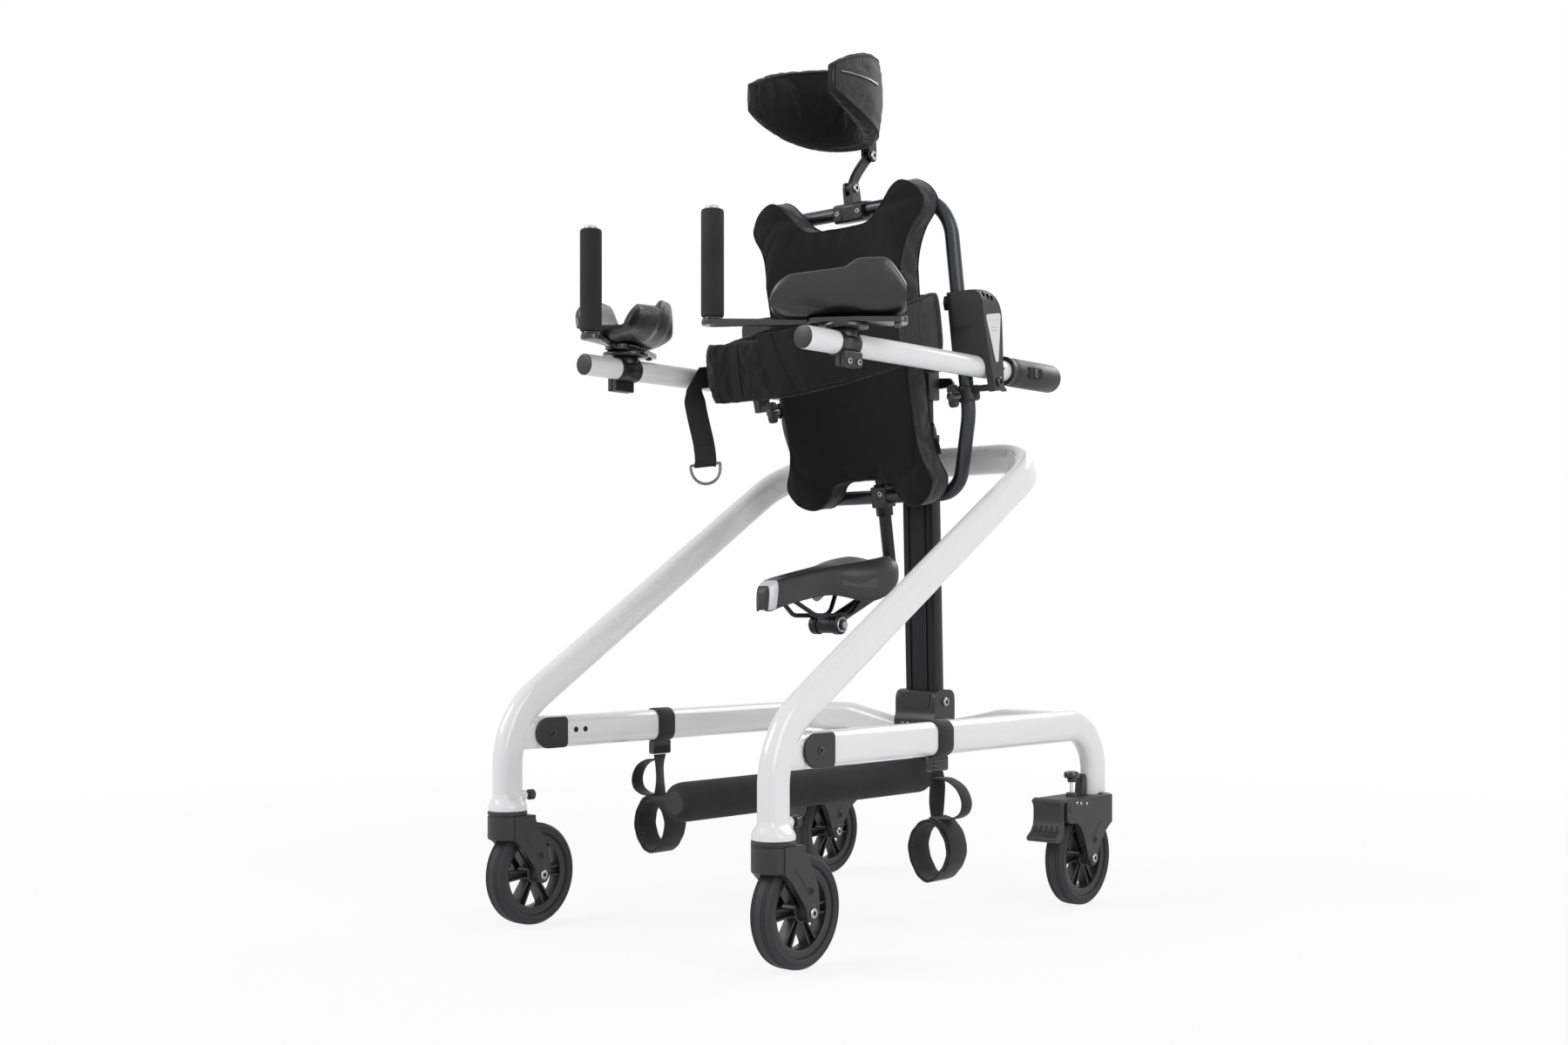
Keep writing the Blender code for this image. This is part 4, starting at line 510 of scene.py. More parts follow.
def ribbon(path, width, thickness, across=(0, 1, 0)):
    """A flat strap along a path, its width along the given direction, or along one for each point."""
    path = [Vector(p) for p in path]
    wide = across if isinstance(across, list) else [Vector(across)] * len(path)
    half = [(-0.5, -0.35), (-0.47, -0.5), (0.47, -0.5), (0.5, -0.35)]
    section = half + [(-a, -b) for a, b in half]
    rings = []
    for i, here in enumerate(path):
        ahead = (path[min(i + 1, len(path) - 1)] - path[max(i - 1, 0)]).normalized()
        side = (wide[i] - ahead * wide[i].dot(ahead)).normalized()
        out = ahead.cross(side)
        rings.append([here + side * (a * width) + out * (b * thickness) for a, b in section])
    return loft(rings)


def screw(name, centre, axis, radius, body, height=0.0025, finish="bolt", place=None):
    """A round screw head with a hexagon socket, facing along axis ("+X", "-Y" and so on)."""
    rise = height if axis[0] == "+" else -height
    profile = [(radius * 0.42, rise * 0.35), (radius * 0.45, rise * 0.98), (radius * 0.8, rise),
               (radius, rise * 0.6), (radius, -math.copysign(0.001, rise))]
    piece(name, turned(profile, axis[1], centre, 24), finish, body, place, 30)
    # painted shade: a near-black hexagon sits at the bottom of the socket
    dip = [(0, rise * 0.3), (radius * 0.46, rise * 0.3)]
    piece(name + "_socket", turned(dip, axis[1], centre, 6), "dark", body, place, 30)


# White frame


TUBE = flat_oval(0.048, 0.029)


def make_hoop():
    foot, knee, x, back = FORK_TOP + 0.0003, 0.301, HALF_TRACK, 0.242
    neck, top = foot + 0.027, knee + (back - FRONT_LEG_Y) * math.tan(math.radians(32.2))
    tube = bent([(x, FRONT_LEG_Y, neck), (x, FRONT_LEG_Y, knee), (x, back, top), (-x, back, top),
                 (-x, FRONT_LEG_Y, knee), (-x, FRONT_LEG_Y, neck)], [0.12, 0.08, 0.08, 0.12])
    wide = circle(0.0285, 36)
    flare = [(0, [(a * 0.97, b * 0.97) for a, b in wide]), (0.0008, wide), (0.005, wide)]
    for step in range(1, 9):
        share = ease(step / 8)
        outline = [tuple(Vector(a).lerp(Vector(b), share)) for a, b in zip(wide, TUBE)]
        flare.append((0.005 + 0.018 * step / 8, outline))
    flare += [(0.0245, [(a * 0.975, b * 0.985) for a, b in TUBE]), (0.0262, TUBE)]
    first, last = ([Vector((s, FRONT_LEG_Y, foot + z)) for z, _ in flare] for s in (x, -x))
    ends = [outline for _, outline in flare]
    shape = sweep(first + tube + last[::-1], ends + [TUBE] * len(tube) + ends[::-1], (1, 0, 0))
    on_base("hoop_tube", shape, "white", node="hoop_frame")
    for side, sign in SIGN.items():
        s = sign * x
        stub = [Vector((s, FRONT_LEG_Y, RAIL_Z)), Vector((s, -0.3303, RAIL_Z))]
        on_base(f"hoop_stub_{side}", sweep(stub, flat_oval(0.0474, 0.0284), (1, 0, 0)), "white")
        boss = [(0.0075, 0.010), (0.0075, 0.0315), (0.0065, 0.033), (0, 0.033)]
        on_base(f"plunger_boss_{side}", turned(boss, "Y", (s, FRONT_LEG_Y, 0.190)), "white")
        rail = bent([(s, -0.330, RAIL_Z), (s, REAR_LEG_Y, RAIL_Z), (s, REAR_LEG_Y, foot)], [0.072], 20)
        on_base(f"side_rail_{side}", sweep(rail, TUBE, (1, 0, 0)), "white", node=f"rail_{side}")
        ring = [(0.0165, foot), (0.0165, foot + 0.002)]
        on_base(f"leg_ring_{side}", turned(ring, "Z", (s, REAR_LEG_Y, 0)), "plastic")
        for letter, y in (("a", -0.262), ("b", -0.243)):
            centre = (s - sign * 0.0143, y, RAIL_Z + 0.002)
            screw(f"rail_screw_{side}_{letter}", centre, way(-sign), 0.0042, "base", 0.0012, "dark")
    half = [(x - 0.0148, RAIL_Z), (0.155, RAIL_Z), (0.060, 0.260)]
    corners = [(-a, b) for a, b in half] + half[::-1]
    cross = bent([(a, CROSS_Y, b) for a, b in corners], [0.06] * 4, 8)
    on_base("cross_bar", sweep(cross, TUBE, (0, 1, 0)), "white", node="cross_tube")


def make_covers():
    """D-shaped caps over the joints at the rails' front ends."""
    corner = [(-0.288, 0.023), (-0.284, 0.0215), (-0.282, 0.017)]
    outline = arc(-0.320, RAIL_Z, 0.023, 90, 270, 16)
    outline += [(a, RAIL_Z - b) for a, b in corner] + [(a, RAIL_Z + b) for a, b in reversed(corner)]
    for side, sign in SIGN.items():
        for face in (1, -1):
            tag = f"{side}_{'out' if face == sign else 'in'}"
            inner, outer = (sign * HALF_TRACK + face * a for a in (0.0148, 0.0198))
            on_base(f"cap_{tag}", prism(outline, "X", inner, outer), "plastic", edge=0.0016,
                    node=f"joint_cover_{side}" if face > 0 else None)
            screw(f"cap_screw_{tag}", (outer, -0.3125, RAIL_Z), way(face), 0.0058, "base", 0.0012, "gloss")


# Casters


def fork_outline(end):
    """Side view of a fork's arms as (distance along the trail, height)."""
    if end == "front":
        return [(-0.010, 0.1285), (-0.004, 0.1232), (0.004, 0.116), (0.013, 0.104), (0.022, 0.093),
                (0.029, 0.083), (0.0315, 0.072), (0.036, 0.065), (0.043, 0.0625), (0.050, 0.065),
                (0.0545, 0.0715), (0.0558, 0.080), (0.0560, 0.094), (0.0530, 0.110), (0.0475, 0.124),
                (0.041, 0.136), (0.034, 0.147), (0.0285, 0.157), (0.0285, 0.1635), (-0.010, 0.1635)]
    return [(-0.010, 0.1268), (0.000, 0.121), (0.012, 0.112), (0.022, 0.100), (0.030, 0.088), (0.0335, 0.073),
            (0.038, 0.066), (0.045, 0.0625), (0.053, 0.066), (0.060, 0.076), (0.066, 0.092), (0.073, 0.110),
            (0.083, 0.126), (0.092, 0.1325), (0.112, 0.1335), (0.1205, 0.138), (0.122, 0.146), (0.122, 0.160),
            (0.119, 0.167), (0.112, 0.170), (-0.010, 0.170)]


def make_wheel(tag, centre):
    """A tyre with fine grooves on a rim with six pairs of ribs."""
    half, body = 0.016, f"wheel_{tag}"
    flank = [(0.0600, 0.003 - half), (0.0618, 0.0008 - half), (0.0655, -half), (0.0690, 0.0006 - half),
             (0.0722, 0.0026 - half), (0.0738, 0.0046 - half)]
    tread = list(flank)
    for g in (-0.0105, -0.0065, 0.0065, 0.0105):
        edge = WHEEL_R - 0.0011 * (abs(g) / 0.0115) ** 2
        deep = edge - 0.0010
        tread += [(edge, g - 0.0009), (deep, g - 0.0004), (deep, g + 0.0004), (edge, g + 0.0009)]
    tread += toward(flank[::-1], -1)
    piece(f"tread_{tag}", turned(tread, "X", centre, 96, True), "tyre", body, smooth=50, node=f"tyre_{tag}")
    for letter, face in (("b", -1), ("a", 1)):
        line = toward([(0.0672, half - 0.0002), (0.0676, half + 0.0004), (0.0680, half - 0.0002)], face)
        piece(f"tyre_line_{tag}_{letter}", turned(line, "X", centre, 96), "tyre", body, smooth=60)
    rim = [(0.0478, -0.0040), (0.0490, -0.0105), (0.0520, -0.0122), (0.0575, -0.0125), (0.0600, -0.0118)]
    shape = turned(mirrored(rim), "X", centre, 96, True)
    piece(f"wheel_rim_{tag}", shape, "rim", body, smooth=35, node=f"rim_{tag}")
    hub = [(0.0055, -0.0180), (0.0095, -0.0184), (0.0110, -0.0178), (0.0125, -0.0120), (0.0145, -0.0110)]
    piece(f"hub_{tag}", turned(mirrored(hub), "X", centre, 48, True), "rim", body, smooth=30)
    ribs, webs = [], []
    for k in range(6):
        angle = 2 * math.pi * k / 6
        along = Vector((math.cos(angle), math.sin(angle)))
        across = Vector((-along.y, along.x))
        near, far = along * 0.012, along * 0.0492
        for side in (-1, 1):
            a, b = near + across * (side * 0.0036), far + across * (side * 0.0068)
            edge = across * 0.00155
            ribs.append(prism([a - edge, b - edge, b + edge, a + edge], "X", -0.0085, 0.0085))
        a, b = across * 0.0036, across * 0.0066
        webs.append(prism([near - a, far - b, far + b, near + a], "X", -0.0022, 0.0022))
    place = Matrix.Translation(centre)
    piece(f"ribs_{tag}", join(ribs), "rim", body, place, 30, edge=0.0006, steps=2)
    piece(f"webs_{tag}", join(webs), "rim", body, place, 30)


def make_caster(end, side):
    front = end == "front"
    tag, x, outer = f"{end}_{side}", SIGN[side] * HALF_TRACK, 0.0295
    leg, facing, trail = (FRONT_LEG_Y, 1, 0.043) if front else (REAR_LEG_Y, -1, 0.045)
    body, wheel = f"caster_{tag}", (x, leg + facing * trail, WHEEL_R)
    well = turned([(0, -0.0193), (0.0812, -0.0193), (0.0812, 0.0193), (0, 0.0193)], "X", wheel, 96)
    arms = prism([(facing * t, z) for t, z in fork_outline(end)], "X", -outer, outer)
    piece(f"yoke_{tag}", moved(arms, Matrix.Translation((x, leg, 0))), "charcoal", body, cuts=[well],
          edge=0.0026, bend=34, node=f"fork_{tag}")
    head = [(0, 0.1285), (0.0262, 0.1285), (0.0283, 0.1300), (0.0286, 0.1325), (0.0286, 0.1622),
            (0.0274, 0.1630), (0.0274, 0.1642), (0.0286, 0.1650), (0.0286, 0.1688), (0.0278, 0.1698),
            (0, 0.1698)]
    piece(f"swivel_head_{tag}", turned(head, "Z", (x, leg, 0), 64), "charcoal", body, smooth=32)
    ridge = [(0.010, 0.1330), (0.024, 0.1180), (0.036, 0.0985)]
    if not front:
        ridge = [(0.020, 0.1300), (0.036, 0.1180), (0.044, 0.1050)]
    for face in (-1, 1):
        end_tag = f"{tag}_{'in' if face * x < 0 else 'out'}"
        boss = [(0, outer + 0.0008), (0.0105, outer + 0.0008), (0.0118, outer - 0.0004),
                (0.0118, outer - 0.003)]
        piece(f"axle_boss_{end_tag}", turned(toward(boss, face), "X", wheel, 48), "charcoal", body, smooth=30)
        bolt = (x + face * (outer + 0.0006), wheel[1], WHEEL_R)
        screw(f"axle_bolt_{end_tag}", bolt, way(face), 0.0066, body, 0.0026)
        up = (x, wheel[1] - facing * 0.004, WHEEL_R + 0.028)
        # painted shade: the hole is a near-black disc laid on the arm, with a raised rim round it
        hole = toward([(0, outer + 0.00025), (0.0042, outer + 0.00025), (0.0050, outer - 0.0008)], face)
        piece(f"arm_hole_{end_tag}", turned(hole, "X", up, 32), "dark", body, smooth=30)
        ring = [(0.0043, outer + 0.0002), (0.0049, outer + 0.0009), (0.0057, outer + 0.0009),
                (0.0062, outer - 0.0005)]
        piece(f"arm_hole_rim_{end_tag}", turned(toward(ring, face), "X", up, 32), "charcoal", body, smooth=40)
        line = spline([(x + face * (outer - 0.0004), leg + facing * t, z) for t, z in ridge], 8)
        piece(f"arm_ridge_{end_tag}", sweep(line, circle(0.0014, 12), (1, 0, 0)), "charcoal", body, smooth=60)
    make_wheel(tag, wheel)
    if front:
        make_plunger(side, (x, leg, 0.190))
    else:
        make_brake(side, x, leg, body)


def make_plunger(side, centre):
    """The swivel lock of a front leg."""
    body = f"plunger_{side}"
    knob = [(0, 0.0333), (0.0028, 0.0333), (0.0028, 0.0385), (0.0065, 0.0390), (0.0078, 0.0405),
            (0.0078, 0.0420), (0.0068, 0.0432), (0.0068, 0.0450), (0.0078, 0.0462), (0.0078, 0.0478),
            (0.0062, 0.0492), (0, 0.0494)]
    piece(body, turned(knob, "Y", centre, 32), "gloss", body, smooth=30, node=f"lock_plunger_front_{side}")
    stem = [(0.0031, 0.0332), (0.0031, 0.0388)]
    piece(f"plunger_stem_{side}", turned(stem, "Y", centre, 24), "chrome", body)


def make_brake(side, x, leg, body):
    """Pedal, lock knob and latch of a rear caster."""
    back, top, on_pedal = leg - 0.1235, FORK_TOP, partial(piece, finish="charcoal", body=f"pedal_{side}")
    pedal = [(-0.0002, 0.1690), (-0.0035, 0.1722), (-0.0080, 0.1712), (-0.0124, 0.1690), (-0.0130, 0.1660),
             (-0.0098, 0.1620), (-0.0082, 0.1560), (-0.0082, 0.1400), (-0.0102, 0.1300), (-0.0160, 0.1215),
             (-0.0232, 0.1165), (-0.0272, 0.1135), (-0.0276, 0.1092), (-0.0240, 0.1068), (-0.0150, 0.1060),
             (-0.0070, 0.1090), (-0.0020, 0.1170), (-0.0002, 0.1280)]
    shape = prism([(back + a, b) for a, b in pedal], "X", x - 0.026, x + 0.026)
    on_pedal(f"pedal_plate_{side}", shape, smooth=30, edge=0.0016, bend=40, node=f"brake_pedal_{side}")
    rib = [(back - 0.0102, 0.131), (back - 0.0116, 0.130), (back - 0.0174, 0.1222), (back - 0.0160, 0.1212)]
    for k in range(5):
        off = x + (k - 2) * 0.0095
        on_pedal(f"pedal_rib_{side}_{k}", prism(rib, "X", off - 0.0016, off + 0.0016), edge=0.0004, steps=2)
    seat = (x, leg - 0.063, 0)
    knob = [(0.0032, 0.1920), (0.0062, 0.1922), (0.0066, 0.1975), (0.0110, 0.1988), (0.0120, 0.2010),
            (0.0120, 0.2050), (0.0108, 0.2082), (0.0060, 0.2096), (0, 0.2100)]
    piece(f"lock_cap_{side}", turned(knob, "Z", seat, 40), "gloss", f"lock_{side}", smooth=30,
          node=f"lock_knob_rear_{side}")
    stem = [(0.0026, top + 0.0004), (0.0026, 0.1925)]
    piece(f"lock_stem_{side}", turned(stem, "Z", seat, 24), "chrome", f"lock_{side}")
    on_fork = partial(piece, body=body, smooth=30)
    collar = [(0.0090, top - 0.001), (0.0086, top + 0.0045), (0.0072, top + 0.0060), (0.0036, top + 0.0062),
              (0.0036, top)]
    on_fork(f"lock_collar_{side}", turned(collar, "Z", seat, 40), "charcoal")
    for face in (-1, 1):
        tag = f"{side}_{'in' if face * x < 0 else 'out'}"
        boss = toward([(0, 0.0305), (0.0068, 0.0305), (0.0078, 0.0298), (0.0078, 0.028)], face)
        on_fork(f"pedal_boss_{tag}", turned(boss, "X", (x, leg - 0.108, 0.157), 40), "charcoal")
        rivet = toward([(0, 0.0310), (0.0016, 0.0308), (0.0024, 0.0300), (0.0024, 0.0285)], face)
        for k, (t, z) in enumerate(((0.094, 0.1640), (0.083, 0.1625), (0.066, 0.1610))):
            on_fork(f"fork_rivet_{tag}_{k}", turned(rivet, "X", (x, leg - t, z), 20), "bolt")
    latch = [(-0.0280, -0.001), (-0.0280, 0.0235), (-0.0305, 0.0325), (-0.0345, 0.0340), (-0.0385, 0.0325),
             (-0.0410, 0.0240), (-0.0425, 0.0120), (-0.0440, -0.001)]
    shape = prism([(leg + a, top + b) for a, b in latch], "X", x - 0.007, x + 0.007)
    on_fork(f"latch_{side}", shape, "charcoal", edge=0.0018)


# Column, bracket and mast


def make_column():
    face = [(0.030, 0.0090), (0.0293, 0.0113), (0.0270, 0.012), (0.0190, 0.012), (0.0187, 0.0117),
            (0.0187, 0.0098), (0.0136, 0.0098), (0.0136, 0.0117), (0.0133, 0.012), (0.0060, 0.012),
            (0.0055, 0.0115), (0.0, 0.0115)]
    back = face + [(-a, b) for a, b in reversed(face[:-1])]
    section = mirrored(back)
    bore, top_bore = (block((-0.0234, -0.0079, z), (0.0234, 0.0079, 0.45)) for z in (0.03, 0.40))
    piece("column_profile", prism(section, "Z", -0.011, 0.4285), "column", "column", UPRIGHT, cuts=[bore],
          node="column")
    cap = prism(card(-0.0308, -0.0128, 0.0308, 0.0128, 0.004), "Z", 0.4215, 0.4330)
    piece("column_cap", cap, "plastic", "column", UPRIGHT, cuts=[top_bore, prism(section, "Z", 0.40, 0.4287)],
          edge=0.0007, steps=2)
    outline = card(-0.023, -0.0075, 0.023, 0.0075, 0.003)
    piece("mast_bar", prism(outline, "Z", 0.22, 0.56), "column", "trunk", UPRIGHT, 30, node="mast")
    end = prism([(a * 1.01, b * 1.01) for a, b in outline], "Z", 0.5595, 0.5635)
    piece("mast_end", end, "plastic", "trunk", UPRIGHT, 30, edge=0.001)


def make_bracket():
    outline = rounded([(0.255, 0.260), (0.313, 0.260), (0.313, 0.331), (0.259, 0.331), (0.259, 0.292),
                       (0.255, 0.284)], [0.003, 0.003, 0.017, 0.017, 0.006, 0.003])
    across = [Vector((-0.05, CROSS_Y, 0.260)), Vector((0.05, CROSS_Y, 0.260))]
    cuts = [block((-0.0305, 0.2715, 0.2975), (0.0305, 0.34, 0.36)),
            sweep(across, flat_oval(0.0484, 0.0294), (0, 1, 0)),
            block((-0.05, 0.2713, 0.25), (0.05, 0.3007, 0.2605))]
    on_base("bracket_cradle", prism(outline, "X", -0.040, 0.040), "plastic", cuts=cuts, edge=0.0022,
            node="column_bracket")
    rib = rounded([(-0.030, 0.312), (-0.026, 0.300), (0.026, 0.300), (0.030, 0.312), (0.030, 0.327),
                   (-0.030, 0.327)], 0.003)
    on_base("bracket_rib", prism(rib, "Y", 0.2578, 0.2596), "plastic", edge=0.0007, steps=2)
    for side, face in BOTH:
        screw(f"pivot_bolt_{side}", (face * 0.0398, CROSS_Y, 0.311), way(face), 0.0072, "base", 0.0045)
        for x in (0.012, 0.022):
            centre = (face * x, 0.2551, 0.2755)
            screw(f"bracket_screw_{side}_{round(x * 1000)}", centre, "-Y", 0.0032, "base", 0.0014)
    hanger = rounded([(0.2756, 0.172), (0.3115, 0.172), (0.3115, 0.264), (0.3009, 0.264), (0.3009, 0.2356),
                      (0.2756, 0.2356)], [0.006, 0.006, 0.001, 0.001, 0.001, 0.001])
    on_base("divider_hanger", prism(hanger, "X", -0.018, 0.018), "plastic", edge=0.0018)
    for z in (0.185, 0.215):
        screw(f"hanger_screw_{round(z * 1000)}", (0, 0.3113, z), "+Y", 0.0055, "base")
    profile = [(0, -0.2995), (0.0165, -0.2995), (0.0195, -0.2985), (0.0235, -0.2955), (0.0262, -0.2905),
               (0.0276, -0.284), (0.028, -0.276), (0.028, 0.262), (0.0275, 0.2675), (0.0260, 0.2715),
               (0.0235, 0.2743), (0.020, 0.2750), (0, 0.2750)]
    middle = (0, 0, 0.192)
    on_base("divider_foam", turned(profile, "Y", middle, 72), "foam", smooth=50, node="divider_bar")
    disc = [(0, -0.3000), (0.0155, -0.3000), (0.0163, -0.2993)]
    on_base("divider_end", turned(disc, "Y", middle, 48), "plastic")


def make_carrier():
    """What holds the trunk loop and the pad to the mast."""
    steel = partial(on_trunk, finish="steel", smooth=30)
    bolt = partial(screw, body="trunk", place=TRUNK)
    steel("carrier_plate", prism(card(-0.020, 0.036, 0.020, 0.225, 0.008), "Y", 0.0158, 0.0218), edge=0.0012)
    rest = prism(card(-0.020, 0.189, 0.020, 0.201, 0.002), "Y", 0.0088, 0.0170)
    steel("carrier_rest", rest, edge=0.0008, steps=2)
    steel("carrier_foot", prism(card(-0.022, -0.010, 0.022, 0.040, 0.005), "Y", 0.0143, 0.0218), edge=0.0012)
    for letter, side in BOTH:
        pad = card(side * 0.0148, -0.006, side * 0.0212, 0.006, 0.001)
        steel(f"carrier_saddle_{letter}", prism(pad, "Y", 0.0113, 0.0150))
        bolt(f"carrier_screw_{letter}", (side * 0.0135, 0.0216, 0.002), "+Y", 0.0052, height=0.003)
        bolt(f"carrier_screw_high_{letter}", (side * 0.012, 0.0216, 0.216), "+Y", 0.0045)
        bolt(f"pad_screw_{letter}", (side * 0.085, -0.0085, 0.0155), "-Y", 0.0055, height=0.003)
        tab = prism(card(side * 0.077, 0.0, side * 0.093, 0.024, 0.006), "Y", -0.0088, -0.0045)
        steel(f"pad_tab_{letter}", tab, edge=0.0008, steps=2)
    steel("carrier_bridge", prism(card(-0.016, 0.175, 0.016, 0.217, 0.006), "Y", 0.0198, 0.1318), edge=0.0015)
    collar = prism(card(-0.031, -0.0155, 0.031, 0.0155, 0.006), "Z", 0.489, 0.549)
    piece("mast_collar", collar, "plastic", "trunk", UPRIGHT, 30, edge=0.0018)
    for z in (0.503, 0.535):
        screw(f"collar_screw_{round(z * 1000)}", (0, 0.0153, z), "+Y", 0.0065, "trunk", 0.0035, place=UPRIGHT)
    lever = rounded([(0.006, 0.512), (0.028, 0.508), (0.052, 0.510), (0.055, 0.517), (0.050, 0.524),
                     (0.024, 0.526), (0.006, 0.524)], 0.004)
    piece("collar_lever", prism(lever, "Y", 0.0165, 0.0235), "gloss", "trunk", UPRIGHT, 30, edge=0.002)


# Trunk frame, saddle post and head support


def make_trunk_frame():
    half = [(0, 0), (0.148, 0), (LOOP_X, 0.120), (LOOP_X, LOOP_TOP)]
    corners = half + [(-a, b) for a, b in reversed(half)]
    path = bent([(a, 0, b) for a, b in corners], [0.045, 0.120, 0.060, 0.060, 0.120, 0.045], 22)[:-1]
    on_trunk("trunk_loop", sweep(path, circle(0.011, 32), (0, 1, 0), True), "gunmetal", node="trunk_frame")
    on_trunk("loop_crossbar", rod(0.0085, -0.178, 0.178, "X", (0, 0, 0.195)), "gunmetal")
    ring = [(0.0103, -0.0300), (0.0128, -0.0300), (0.0135, -0.0290), (0.0135, 0.0190), (0.0128, 0.0200),
            (0.0103, 0.0200)]
    on_trunk("post_sleeve", turned(ring, closed=True), "steel")
    clamp = prism(card(-0.0155, -0.0135, 0.0155, 0.0135, 0.005), "Z", -0.0165, 0.0165)
    on_trunk("sleeve_block", clamp, "plastic", cuts=[rod(0.0102, -0.05, 0.05)], edge=0.0015)
    screw("sleeve_screw", (0.006, -0.0133, 0.006), "-Y", 0.0046, "trunk", place=TRUNK)
    post = bent([(0, 0, 0.110), (0, 0, -0.1364), (0, -0.1694, -0.1765)], [0.040], 18)
    shape = sweep(post, circle(0.010, 28), (1, 0, 0))
    piece("saddle_tube", shape, "steel", "post", TRUNK, node="saddle_post")
    eye = rod(0.0130, -0.0139, 0.0139, "X", TRUNK.inverted() @ SADDLE_PIVOT, 40, 0.0012)
    piece("saddle_eye", eye, "steel", "post", TRUNK, 30)


def make_head_support():
    low, high = HEAD_JOINT, HEAD_ELBOW
    _, y, z = TRUNK.inverted() @ low
    clamp = rounded([(-0.016, 0.431), (0.016, 0.431), (0.017, 0.456), (0.012, 0.460), (-0.012, 0.460),
                     (-0.017, 0.456)], 0.004)
    bar = sweep([Vector((-0.04, 0, LOOP_TOP)), Vector((0.04, 0, LOOP_TOP))], circle(0.01105, 32), (0, 1, 0))
    on_trunk("head_clamp_body", prism(clamp, "X", -0.028, 0.028), "plastic", cuts=[bar], edge=0.0016,
             node="head_clamp")
    corners = [(y - 0.011, 0.455), (y + 0.012, 0.455), (y + 0.0105, z + 0.002), (y + 0.008, z + 0.010),
               (y - 0.008, z + 0.010), (y - 0.0105, z + 0.002)]
    boss = rounded(corners, [0.001, 0.001, 0.003, 0.006, 0.006, 0.003])
    gap = block((-0.0043, y - 0.03, z - 0.012), (0.0043, y + 0.03, z + 0.03))
    on_trunk("head_boss", prism(boss, "X", -0.0090, 0.0090), "plastic", cuts=[gap], edge=0.0013)
    for letter, side in BOTH:
        x = side * 0.020
        screw(f"head_clamp_screw_{letter}", (x, -0.0165, 0.446), "-Y", 0.0042, "trunk", 0.0022, place=TRUNK)
        cheek = prism(card(x - 0.008, 0.435, x + 0.008, 0.457, 0.004), "Y", -0.0180, -0.0140)
        on_trunk(f"head_clamp_pad_{letter}", cheek, "plastic", edge=0.001, steps=2)
    run = [low, low.lerp(high, 0.33) + Vector((0, -0.0035, 0.002)),
           low.lerp(high, 0.72) + Vector((0, -0.0025, 0.0015)), high]
    middle = spline([(p.y, p.z) for p in run], 6)
    edges = {1: [], -1: []}
    for i, p in enumerate(middle):
        ahead = (middle[min(i + 1, len(middle) - 1)] - middle[max(i - 1, 0)]).normalized()
        for side, edge in edges.items():
            edge.append((p.x - side * ahead.y * 0.0074, p.y + side * ahead.x * 0.0074))
    piece("head_lower_bar", prism(edges[1] + edges[-1][::-1], "X", -0.004, 0.004), "steel", "head_link",
          edge=0.0012, node="head_link")
    for name, centre in (("lower", low), ("upper", high)):
        disc = rod(0.0088, -0.00395, 0.00395, "X", centre, 40, 0.0008)
        piece(f"head_{name}_disc", disc, "steel", "head_link")
    for letter, face in BOTH:
        screw(f"head_joint_bolt_{letter}", (face * 0.0089, low.y, low.z), way(face), 0.0068, "trunk", 0.003)
        screw(f"head_elbow_bolt_{letter}", (face * 0.0085, high.y, high.z), way(face), 0.0070, "head", 0.003)
    lean = math.degrees(math.atan2(0.032, -0.002))
    stem = (arc(high.y - 0.002, high.z + 0.032, 0.010, lean - 90, lean + 90, 12)
            + arc(high.y, high.z, 0.010, lean + 90, lean + 270, 12))
    gap = block((-0.0043, high.y - 0.03, high.z - 0.03), (0.0043, high.y + 0.03, high.z + 0.012))
    piece("head_fork", prism(stem, "X", -0.0086, 0.0086), "steel", "head", cuts=[gap], edge=0.0015,
          node="head_stem")
    plate = prism(card(-0.022, 1.190, 0.022, 1.265, 0.007), "Y", 0.1250, 0.1310)
    piece("head_plate", plate, "steel", "head", edge=0.0012)
    for z in (1.255, 1.222):
        for letter, x in (("r", -0.014), ("l", 0.014)):
            screw(f"head_plate_screw_{letter}{round(z * 1000)}", (x, 0.1308, z), "+Y", 0.004, "head", 0.002)


# Arm supports


